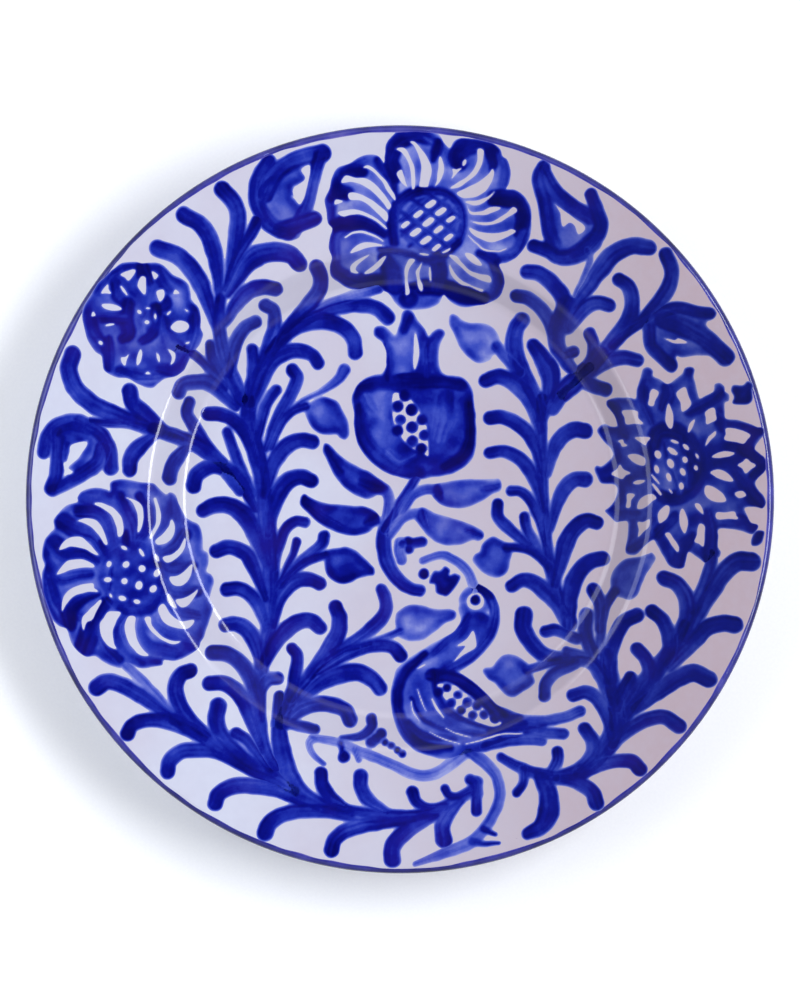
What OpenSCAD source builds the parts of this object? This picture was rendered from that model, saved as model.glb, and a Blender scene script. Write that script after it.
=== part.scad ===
// Hand painted glazed earthenware plate: a thrown clay dish on a turned foot ring,
// coated with white tin glaze and painted in cobalt blue.
// The plate stands on its foot. The origin is the centre of the foot's resting face, +Z is up
// and +Y points to the top of the painting.

/* [Dish] */
// Diameter over the lip
plate_d = 300; // [299:0.5:304]
// Diameter of the flat floor, up to the crease where the wall starts
well_d = 174; // [168:1:178]
// Diameter where the wall meets the flange
flange_d = 201; // [197:1:206]
// Rise of the wall from the floor to the flange
wall_rise = 11.5; // [9:0.5:13]
// Rise of the flange from the wall to the lip
flange_rise = 8.5; // [6:0.5:10]
// Thickness of the clay under the floor
floor_t = 6; // [5:0.5:8]
// Thickness of the clay at the lip
lip_t = 4.8; // [4.6:0.1:5.4]

/* [Foot] */
// Outer diameter of the foot ring
foot_d = 164; // [156:2:166]
// Width of the foot ring
foot_w = 8; // [6:0.5:10]
// Height of the foot ring
foot_h = 7; // [6.5:0.5:10]

/* [Coats] */
// Thickness of the white glaze
glaze_t = 0.5; // [0.4:0.1:0.8]
// Thickness of a brush stroke of cobalt
paint_t = 0.25; // [0.2:0.05:0.4]
// Width of the blue line round the lip, on the face
rim_line_w = 2.2; // [2.1:0.1:2.6]

/* [Hidden] */

CLAY = "peru";
WHITE = "lavender";
COBALT = "mediumblue";

arc_steps = 5;                       // segments in each rounded corner of a profile
curve_steps = 2;                     // segments between two points of a brush stroke
stroke_gap = 0.04;                   // gap between two strokes that were painted one after the other
plate_r = plate_d / 2 - glaze_t - paint_t;     // outermost clay
painting_r = plate_r - rim_line_w - 0.2;       // the motifs stop just short of the rim line
floor_z = foot_h + floor_t;
flange_z = floor_z + wall_rise;
lip_z = flange_z + flange_rise;
lip_mid_z = lip_z - lip_t * 0.45;
lip_round = 1.8;                     // corner radius of the lip, on the face
foot_r = foot_d / 2;

// Each profile line is a list of [radius, height, corner radius].
face_line = [
    [0, floor_z, 0],
    [well_d / 2, floor_z, 7],
    [flange_d / 2, flange_z, 6],
    [plate_r, lip_z, lip_round],
    [plate_r, lip_mid_z, 0],
];
back_line = [
    [plate_r, lip_mid_z, 0],
    [plate_r, lip_z - lip_t, 2],
    [flange_d / 2 + 4.5, flange_z - 5, 8],
    [well_d / 2 + 6, foot_h, 7],
    [foot_r, foot_h, 0],
];

// ---------- profiles and coats ----------

function unit(v) = v / norm(v);
function left_of(v) = [-v[1], v[0]];
function xy(p) = [p[0], p[1]];
function last(list) = len(list) - 1;
function backwards(list) = [for (i = [last(list):-1:0]) list[i]];

// The line moved sideways by d, to its left, with its corners mitred and their arcs kept concentric.
function shifted(line, d) = [
    for (i = [0:last(line)])
        let (
            before = i > 0 ? unit(xy(line[i]) - xy(line[i - 1])) : undef,
            after = i < last(line) ? unit(xy(line[i + 1]) - xy(line[i])) : undef,
            n1 = left_of(is_undef(before) ? after : before),
            n2 = left_of(is_undef(after) ? before : after),
            mitre = (n1 + n2) / (1 + n1 * n2),
            turn = is_undef(before) || is_undef(after) ? 0 : sign(cross(before, after)),
            p = xy(line[i]) + d * mitre
        )
        [p[0], p[1], line[i][2] == 0 ? 0 : line[i][2] - turn * d]
];

// The points of one corner, rounded to its radius.
function corner(a, b, c, r) =
    let (
        u = unit(a - b),
        v = unit(c - b),
        half = acos(u * v) / 2,
        centre = b + unit(u + v) * r / sin(half),
        from = b + u * r / tan(half) - centre,
        swing = (90 - half) * 2 * sign(cross(b - a, c - b))
    )
    [
        for (k = [0:arc_steps])
            let (t = swing * k / arc_steps)
            centre + [from[0] * cos(t) - from[1] * sin(t), from[0] * sin(t) + from[1] * cos(t)]
    ];

function rounded(line) = [
    for (i = [0:last(line)])
        each line[i][2] == 0
            ? [xy(line[i])]
            : corner(xy(line[i - 1]), xy(line[i]), xy(line[i + 1]), line[i][2])
];

// A coat that lies on a profile line, between two distances from the clay.
module coat(line, inner, outer) {
    rotate_extrude($fn = 180)
        polygon(concat(rounded(shifted(line, outer)), backwards(rounded(shifted(line, inner)))));
}

// ---------- brush work ----------

// A smooth curve through a list of points, and what lies beyond its two ends.
function beyond(points, i) =
    i < 0 ? 2 * points[0] - points[1]
    : i > last(points) ? 2 * points[last(points)] - points[last(points) - 1]
    : points[i];

function between(a, b, c, d, t) =
    (2 * b + (c - a) * t + (2 * a - 5 * b + 4 * c - d) * pow(t, 2)
        + (3 * b - a - 3 * c + d) * pow(t, 3)) / 2;

function curve(points) = [
    for (i = [0:last(points) - 1])
        for (k = [0:curve_steps - 1])
            between(beyond(points, i - 1), points[i], points[i + 1], beyond(points, i + 2),
                k / curve_steps),
    points[last(points)]
];

function loop(points) =
    let (n = len(points))
    [
        for (i = [0:n - 1])
            for (k = [0:curve_steps - 1])
                between(points[(i + n - 1) % n], points[i], points[(i + 1) % n],
                    points[(i + 2) % n], k / curve_steps)
    ];

// One stroke of a loaded brush, from its tip to its root. The widths are spread along it.
module brush(widths, path) {
    line = curve(path);
    n = last(line);
    table = [for (k = [0:last(widths)]) [k * n / last(widths), widths[k] / 2]];
    sides = [
        for (i = [0:n])
            let (side = left_of(unit(line[min(i + 1, n)] - line[max(i - 1, 0)])) * lookup(i, table))
            [line[i] + side, line[i] - side]
    ];
    for (i = [0:n - 1])
        polygon([sides[i][0], sides[i + 1][0], sides[i + 1][1], sides[i][1]]);
    dot(line[0], widths[0] / 2);
    dot(line[n], widths[last(widths)] / 2);
}

// A filled area with a smooth outline.
module pool(outline) {
    polygon(loop(outline));
}

module dot(centre, r) {
    translate(centre) circle(r = r, $fn = 14);
}

module oval(centre, w, h, turn) {
    translate(centre) rotate(turn) scale([w / 2, h / 2]) circle(r = 1, $fn = 14);
}

// Puts a flat drawing on the glaze of the face as a coat of cobalt.
module painted() {
    color(COBALT)
        intersection() {
            linear_extrude(lip_z + glaze_t + paint_t)
                intersection() {
                    offset(delta = -stroke_gap / 2) children();
                    circle(r = painting_r, $fn = 180);
                }
            coat(face_line, glaze_t, glaze_t + paint_t);
        }
}

// ---------- the plate ----------

module clay_body() {
    color(CLAY)
        rotate_extrude($fn = 180)
            polygon(concat(rounded(face_line), rounded(back_line), [[0, foot_h]]));
}

module foot_ring() {
    edge = 1.2;
    color(CLAY)
        rotate_extrude($fn = 180)
            polygon(rounded([
                [foot_r, foot_h, 0],
                [foot_r - foot_w, foot_h, 0],
                [foot_r - foot_w, 0, edge],
                [foot_r, 0, edge],
                [foot_r, foot_h, 0],
            ]));
}

module face_glaze() {
    color(WHITE) coat(face_line, 0, glaze_t);
}

module back_glaze() {
    color(WHITE) coat(back_line, 0, glaze_t);
}

module base_glaze() {
    color(WHITE)
        translate([0, 0, foot_h - glaze_t])
            cylinder(r = foot_r - foot_w, h = glaze_t, $fn = 180);
}

// The line round the lip, from the face over its edge, as far as the middle of the lip.
module rim_line() {
    slope = (lip_z - flange_z) / (plate_r - flange_d / 2);
    line = shifted(
        [
            [plate_r - rim_line_w, lip_z - rim_line_w * slope, 0],
            [plate_r, lip_z, lip_round],
            [plate_r, lip_mid_z, 0],
        ],
        glaze_t
    );
    color(COBALT) coat(line, 0, paint_t);
}

// ---------- the motifs, in millimetres from the centre of the plate ----------

// White diamonds left in the disc of the carnation by its crossed strokes.
module carnation_weave() {
    reach = 11.2;
    centre = [12, 110.4];
    along = [5, 4.1];
    down = [4.1, -3.1];
    for (i = [-3:3], j = [-3:3]) {
        place = [11.3, 111.1] + i * along + j * down;
        if (norm(place - centre) < reach)
            translate(place) scale(0.85 + 0.2 * cos((i + 2 * j) * 180 / PI))
                polygon([[2, 0.6], [0.6, 1.5], [-2, -0.6], [-0.6, -1.5]]);
    }
}

module upper_left_spray_shape() {
    brush([7, 7.5, 3], [[-97, 100.5], [-87.5, 96.5], [-79.5, 85.5], [-73, 66]]);
    brush([6.8, 7, 3], [[-86.5, 113.8], [-78.5, 108.5], [-74, 97], [-72, 78]]);
    brush([7, 6.8, 3], [[-71, 124], [-65.3, 116], [-65.8, 104], [-69.5, 86]]);
    brush([5.5, 4, 3], [[-57, 111.5], [-61, 104], [-66, 95], [-70, 84]]);
    brush([6.6, 8.8, 3.5], [[-40.3, 94.3], [-44, 98], [-52, 99], [-60, 95.5], [-69, 82]]);
    brush([6, 7, 4], [[-50, 84.3], [-56, 85], [-63, 81.5], [-70, 71]]);
    brush([5.4, 6, 5], [[-58, 71.3], [-62.5, 68.5], [-66.5, 61.5], [-69, 50]]);
    brush([4.2, 5, 3], [[-76, 62], [-75.5, 57], [-72, 50]]);
    brush([5, 3.5, 5], [[-89, 61], [-82, 57.5], [-76, 51.5], [-71, 45]]);
    brush([5, 6, 7], [[-72, 80], [-72.5, 70], [-71, 60], [-68, 50], [-63, 40]]);
    brush([5.5, 6.8, 4], [[-88.7, 42.7], [-87, 46], [-82, 47], [-76, 46], [-66, 37]]);
}

module upper_left_tulip_shape() {
    difference() {
        union() {
            pool([[-55, 128], [-43, 134], [-38.5, 131.5], [-38, 127], [-42.5, 125], [-42, 122],
                [-43, 121], [-40, 118], [-39, 116], [-40, 106], [-44, 104], [-49, 105], [-54, 110],
                [-58, 114]]);
            brush([6.5, 7], [[-52.5, 135], [-57, 127], [-57, 118], [-52, 110], [-45, 107]]);
            brush([7.5, 7], [[-31, 138.5], [-42, 135.5], [-50, 130], [-54, 122]]);
            brush([5.5, 5.5], [[-32, 137], [-35, 127], [-37, 118], [-40, 112]]);
            brush([6.4, 7], [[-34.5, 112.5], [-41, 110], [-48, 108]]);
        }
        pool([[-39.5, 132], [-36, 133.3], [-37.5, 124], [-40, 118], [-42.5, 121.5], [-42.5, 124.5],
            [-38, 128]]);
    }
}

module left_spray_shape() {
    brush([7, 7.5, 5], [[-131, 58], [-132.5, 52], [-130.5, 45.5], [-125.5, 40], [-118, 35.5],
        [-100, 28.5], [-88, 24]]);
    brush([6.5, 7, 5], [[-108.3, 43.5], [-107, 38.5], [-102, 34], [-95, 28]]);
    brush([4, 3.5, 4], [[-124, 31], [-115, 30.3], [-105, 29.5], [-97, 27]]);
    brush([6, 7, 4], [[-108.4, 11.8], [-108, 16], [-105, 20.5], [-98, 26]]);
    brush([6, 6, 3], [[-92.5, 8.5], [-91.5, 13], [-88, 18.5], [-83, 23]]);
    brush([5, 5.5, 4], [[-84.5, 39], [-85.5, 35], [-83.5, 30.5], [-76, 20]]);
    brush([5, 7, 6], [[-99, 28.5], [-90, 25.5], [-80, 21], [-72, 14], [-64, 4]]);
}

module left_tulip_shape() {
    difference() {
        union() {
            pool([[-139, 26], [-133, 32], [-124, 31], [-119, 24], [-120, 14], [-128, 9.5],
                [-132, 11.5], [-132.5, 13], [-128.5, 16.5], [-125.5, 23], [-128, 19], [-133, 20.5]]);
            brush([5.8, 7], [[-142.5, 19], [-141, 25], [-137, 29.5], [-131, 31], [-125, 29]]);
            brush([6, 6], [[-115.8, 12.3], [-116.5, 20], [-120, 26.5], [-128, 31]]);
            brush([6, 5.5], [[-139.5, 4.5], [-137.5, 10], [-137, 18], [-137, 27]]);
            brush([5, 6.5], [[-139, 3.5], [-133, 6.5], [-127, 10], [-121, 14.5], [-119, 20]]);
        }
        pool([[-134, 20], [-134, 10.5], [-131, 10.8], [-132.8, 13], [-128, 17.5], [-125.5, 23]]);
    }
    brush([2.4, 3, 2], [[-133.4, 22], [-134.2, 16]]);
}

module rosette_shape() {
    difference() {
        pool([[-111, 94.5], [-106, 95], [-103, 94.3], [-98, 94.7], [-94, 93], [-91, 90],
            [-88, 88.5], [-85, 86], [-84, 83], [-83.7, 80], [-81, 77], [-80, 74], [-80, 69],
            [-79, 66], [-80, 63], [-82, 60], [-84, 57], [-85.5, 54], [-87, 51.5], [-90, 49.5],
            [-94, 48.5], [-97, 46.5], [-99, 44.8], [-102, 45], [-105, 46.5], [-109, 48.5],
            [-113, 48.7], [-116, 50], [-118.5, 52], [-119, 55], [-119.5, 57.5], [-122, 59.5],
            [-124.5, 63], [-126, 68], [-127, 73], [-126.5, 77], [-124, 81], [-121, 86], [-117, 90],
            [-114, 92.5]]);
        pool([[-111.7, 90], [-108, 91.8], [-106, 91.6], [-106.4, 90], [-108.6, 87.6], [-110, 88.8]]);
        pool([[-99.4, 91.2], [-97, 89.6], [-98.4, 88.2]]);
        pool([[-103.6, 89], [-102, 88.6], [-101.7, 86], [-102.1, 82], [-104.6, 84.4],
            [-104.8, 86.4]]);
        pool([[-119.6, 82.6], [-117.1, 86], [-116.6, 84], [-115.7, 82.3], [-117.6, 82.5]]);
        brush([0.66, 1.1, 0.66], [[-111.5, 85], [-110.5, 83.6], [-109.3, 82]]);
        pool([[-97.4, 83.4], [-94.8, 84], [-94.5, 81.4], [-96.2, 79.2], [-97.3, 81.6]]);
        pool([[-90.6, 82.2], [-90, 83.8], [-88.3, 82.5]]);
        pool([[-119.3, 77.8], [-116.5, 78.1], [-113.5, 77.4], [-111.5, 76], [-114.5, 75.4],
            [-118, 76.2]]);
        pool([[-123.3, 73.2], [-122.7, 75], [-121.8, 73.5]]);
        brush([0.6, 1, 0.6], [[-117.6, 69.7], [-114.6, 70.1]]);
        oval([-119.8, 62.6], 1.8, 1.3, -45);
        oval([-104.4, 75], 1.8, 1.4, -40);
        oval([-101.4, 70.8], 1.8, 1.5, 0);
        oval([-98.1, 73.2], 1, 2, 5);
        brush([0.42, 0.7, 0.42], [[-101.6, 76.6], [-100.3, 76.5]]);
        brush([0.54, 0.9, 0.54], [[-93, 74.1], [-92, 75.2]]);
        pool([[-91.8, 68.8], [-90, 71], [-87.5, 71.6], [-85.2, 70.6], [-84.8, 68.8], [-86.5, 67.2],
            [-89.5, 67]]);
        brush([0.42, 0.7, 0.42], [[-86, 75.9], [-85, 75.2]]);
        brush([0.48, 0.8, 0.48], [[-85.8, 62.5], [-84.6, 62.9]]);
        pool([[-111.8, 56.8], [-110, 57.1], [-108.6, 58.2], [-109.6, 56], [-110.3, 53.5],
            [-111.6, 55]]);
        pool([[-105.3, 53.6], [-105.4, 56.5], [-104, 60], [-103.3, 58], [-103.9, 55]]);
        pool([[-97.4, 58.8], [-96.2, 57], [-96.3, 54.8], [-97.3, 56.4]]);
        pool([[-93, 60.3], [-90.2, 58.4], [-90.4, 55.4], [-92, 54], [-91.4, 57]]);
        pool([[-102, 50.1], [-101, 51], [-100, 50.1]]);
    }
}

module lower_left_spray_shape() {
    brush([4, 4, 4], [[-110, -66], [-100, -76], [-90, -87], [-80, -94]]);
    brush([7, 6.5, 4], [[-121.3, -75.3], [-117, -73], [-111, -74.5], [-104, -78.5], [-97, -83.5],
        [-88, -90]]);
    brush([6, 6, 5], [[-109, -94], [-107, -90.3], [-101, -88.4], [-94, -89], [-87, -91.5],
        [-78, -96]]);
    brush([6.3, 6.5, 5], [[-93, -109], [-92, -104.5], [-87, -100.8], [-80, -100.4], [-73, -101],
        [-65, -105], [-55, -110]]);
    brush([6, 7, 5], [[-84, -68.5], [-88, -70.5], [-90, -76], [-88, -83], [-84, -88.5], [-77, -95]]);
    brush([7, 7, 5], [[-72.8, -82.8], [-73.7, -88], [-72, -94], [-67, -100], [-60, -105.5],
        [-50, -110]]);
    brush([5.5, 4.5, 3], [[-65.5, -94], [-61.5, -96.5], [-57.5, -102], [-52, -109]]);
    brush([5, 7, 7], [[-90, -88], [-80, -94], [-70, -101], [-60, -107], [-50, -112], [-42, -117]]);
}

module left_frond_shape() {
    brush([7, 8, 6.5, 5], [[-61, 40], [-60.5, 30], [-58, 20], [-55.5, 10], [-54, 0], [-53.5, -10],
        [-52.5, -20], [-52, -30], [-52, -40], [-52.5, -50], [-54.5, -60], [-56, -70], [-56.5, -80],
        [-56, -90], [-54, -100], [-50, -108]]);
    brush([6.5, 6, 8], [[-5, 73], [-9, 76.5], [-15, 78], [-23, 77.5], [-32, 74.5], [-42, 69],
        [-50, 62], [-57, 50], [-61, 40]]);
    brush([5, 4, 3], [[-9, 85], [-20, 81.5], [-30, 78], [-40, 73]]);
    brush([6, 7, 5], [[-18, 58.8], [-18.5, 63.5], [-22, 68.5], [-29, 71.3], [-37, 71], [-45, 67],
        [-52, 59]]);
    brush([6.3, 6.5, 4], [[-33.3, 93], [-31.8, 89], [-32.5, 84], [-36, 79], [-41, 74], [-47, 68]]);
    brush([5.5, 5.5, 4], [[-54, 77.8], [-50.8, 75.5], [-50.5, 70], [-52.5, 64], [-56, 55]]);
    brush([5, 5, 3], [[-59.3, 60.2], [-59, 54], [-60.5, 43]]);
    brush([5.5, 7, 5], [[-33, 54.7], [-35.5, 58], [-41, 59.7], [-47, 58.5], [-52.5, 54],
        [-59.5, 38]]);
    brush([4.6, 5, 4], [[-49.8, 44], [-52.5, 40.5], [-55, 35], [-57, 26]]);
    brush([5.5, 5.5, 3], [[-43.3, 52], [-41.5, 48.5], [-43.5, 43], [-47, 36.5], [-50.5, 30],
        [-54, 20]]);
    brush([5, 2.5, 1.5], [[-22.3, 52], [-24.5, 48.5], [-30, 44.2], [-38, 40.3], [-44, 36]]);
    pool([[-38, 37], [-33, 40.7], [-29, 41], [-25, 39], [-23, 35.5], [-21, 31], [-20.5, 26.5],
        [-22, 24.2], [-24, 24.7], [-25.5, 26], [-29, 26], [-33, 26.8], [-36, 29.5], [-38, 34]]);
    brush([4, 3.5, 3.5], [[-38, 37.5], [-43, 35.5], [-48, 30], [-52, 21]]);
    brush([6, 7, 4], [[-35.3, 23], [-40, 23.8], [-45, 21.8], [-49, 17.5], [-52, 11], [-54, 2]]);
    brush([6, 8, 4], [[-35.6, 7.4], [-40, 9], [-45, 7.3], [-49, 2.5], [-51.5, -5], [-53, -14]]);
    brush([4.5, 4.5, 3], [[-38.2, -9.3], [-42, -9], [-45.5, -11.5], [-48, -17], [-50.5, -28]]);
    brush([3.7, 3, 2], [[-41.4, -17], [-43, -22], [-46, -28], [-49, -34]]);
    brush([5, 4.5, 3], [[-30.5, -14.8], [-31.5, -18], [-36, -22], [-42, -27], [-48, -34]]);
    pool([[-30.5, -21], [-27, -19.8], [-22, -19.3], [-18, -20.5], [-14.5, -23.5], [-12, -26],
        [-10.2, -28], [-10.5, -30.5], [-13, -31], [-17, -32], [-20, -33.5], [-24, -34], [-28, -32],
        [-30, -29], [-30.3, -24]]);
    brush([3.5, 3.5, 3.5], [[-30, -22.5], [-36, -24.5], [-42, -28.5], [-48, -36]]);
    brush([5.5, 7, 4], [[-32.3, -34], [-36, -32.3], [-41, -32.5], [-45.5, -35.5], [-49, -41],
        [-51, -50]]);
    brush([6, 7, 5], [[-32.3, -51.5], [-35.5, -49], [-40, -49], [-45, -51.8], [-49.5, -57],
        [-54, -65]]);
    brush([5.5, 5.5, 5], [[-49.2, -71.8], [-53, -72.5], [-56, -76]]);
    brush([6, 6, 4], [[-77, 34.3], [-72, 34], [-67, 32], [-62, 26], [-58, 14]]);
    brush([4.5, 5, 4], [[-69.5, 27], [-67, 20], [-64, 12], [-59, 2]]);
    brush([6.5, 6.8, 4], [[-83, 5.5], [-81.5, 10], [-76, 13.2], [-70, 12.3], [-65, 9], [-58, -4]]);
    brush([6, 8, 4], [[-79, -4.5], [-75, -2.7], [-70, -2.2], [-65, -4.5], [-60.5, -9.5], [-54, -26]]);
    brush([6, 6.5, 3], [[-73.8, -20.8], [-69, -19.3], [-64, -20.7], [-60, -24.7], [-54, -40]]);
    brush([6, 6, 3], [[-69.5, -36.2], [-65, -36], [-60.5, -38.2], [-57, -43], [-54, -52]]);
    brush([6, 7, 4], [[-70, -50.5], [-65.5, -50.2], [-61, -53], [-58, -58.5], [-56, -67]]);
    brush([6.5, 6.5, 4], [[-75, -61.7], [-70, -62], [-65, -65], [-61, -70], [-58.5, -77],
        [-56, -88]]);
    brush([6, 7, 3], [[-76.3, -73.8], [-71, -73.8], [-66, -76.5], [-62, -82], [-59, -90],
        [-55, -101]]);
}

module bottom_frond_shape() {
    brush([4.6, 8, 7, 7, 6, 4.5], [[-48.5, -79], [-48.5, -90], [-47.5, -100], [-44, -111],
        [-38, -119], [-28, -124], [-15, -126.5], [-2, -127.5], [10, -126.5], [20, -122],
        [28, -117], [31, -113]]);
    brush([6.5, 7, 5], [[-74, -121.7], [-72, -117.5], [-66, -114.7], [-58, -114.7], [-50, -116],
        [-42, -119.5], [-34, -123]]);
    brush([7, 6, 4], [[-54, -133.5], [-52, -129.5], [-47, -126.3], [-40, -125], [-30, -125.3],
        [-20, -126.5]]);
    brush([6.5, 6, 4], [[-27.5, -140.3], [-26, -136], [-21, -132.5], [-14, -130.5], [-5, -129.5],
        [5, -128]]);
    brush([7, 7, 4], [[-3, -144], [-3, -139.5], [0.5, -134.5], [6, -130.5], [14, -127]]);
    brush([7, 6, 4], [[17.5, -136.3], [17, -131], [19.5, -126], [24, -121]]);
    brush([4.5, 4.5, 4.5], [[30.7, -125], [30.6, -119], [30.5, -114]]);
    brush([4.5, 4.5, 4.5], [[28, -112.2], [30.3, -113.5], [31, -118]]);
    brush([5.7, 6, 3], [[-31.6, -109.8], [-31.3, -114], [-28.5, -118.5], [-22, -123]]);
    brush([6.3, 6, 3], [[-15.7, -111], [-15.5, -115.5], [-12.5, -120.5], [-5, -125]]);
    brush([5.3, 4, 4], [[5, -117.3], [6.5, -121], [11, -123.5], [18, -123.5]]);
    brush([4, 3, 3], [[18, -116], [19.5, -118.3], [23, -118.8], [28, -117]]);
}

module center_lower_spray_shape() {
    brush([4, 5, 8], [[-12, -58], [-22, -60.5], [-30, -65], [-38, -72.5], [-44, -80], [-48, -90]]);
    brush([5, 5.5, 5], [[-43.3, -60], [-41.3, -63], [-42, -70], [-44, -80]]);
    brush([6, 7.5, 5], [[-25.8, -43.5], [-24.3, -48], [-25, -54], [-29, -61], [-36, -70]]);
    brush([5, 6, 3], [[-7.4, -36.3], [-5.6, -41], [-6.5, -46.5], [-11, -51.5], [-17, -56],
        [-27, -62]]);
    pool([[-1.7, -47], [0, -44.5], [4, -42.6], [9, -42.8], [15, -44.3], [20, -44.2], [22.5, -45.5],
        [22, -48], [18, -50], [14, -53], [10, -56], [6, -57], [2, -56.3], [-1, -54]]);
    brush([3, 3, 3], [[0, -53], [-7, -56], [-15, -58.5]]);
    brush([6, 5, 4], [[0.3, -62.8], [-3, -59.5], [-8, -58.8], [-15, -60], [-23, -63.5], [-32, -69]]);
    brush([6.3, 8, 4], [[-8.2, -76], [-11, -72.5], [-17, -69.5], [-24, -70.5], [-32, -74],
        [-40, -81]]);
    brush([6.3, 6.5, 5], [[-20, -88.6], [-22.5, -84.5], [-29, -82.3], [-36, -82.8], [-42, -86],
        [-47, -91]]);
    brush([4.6, 4.6, 4.6], [[-34.2, -92.2], [-38.5, -91.2], [-45, -90]]);
}

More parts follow.
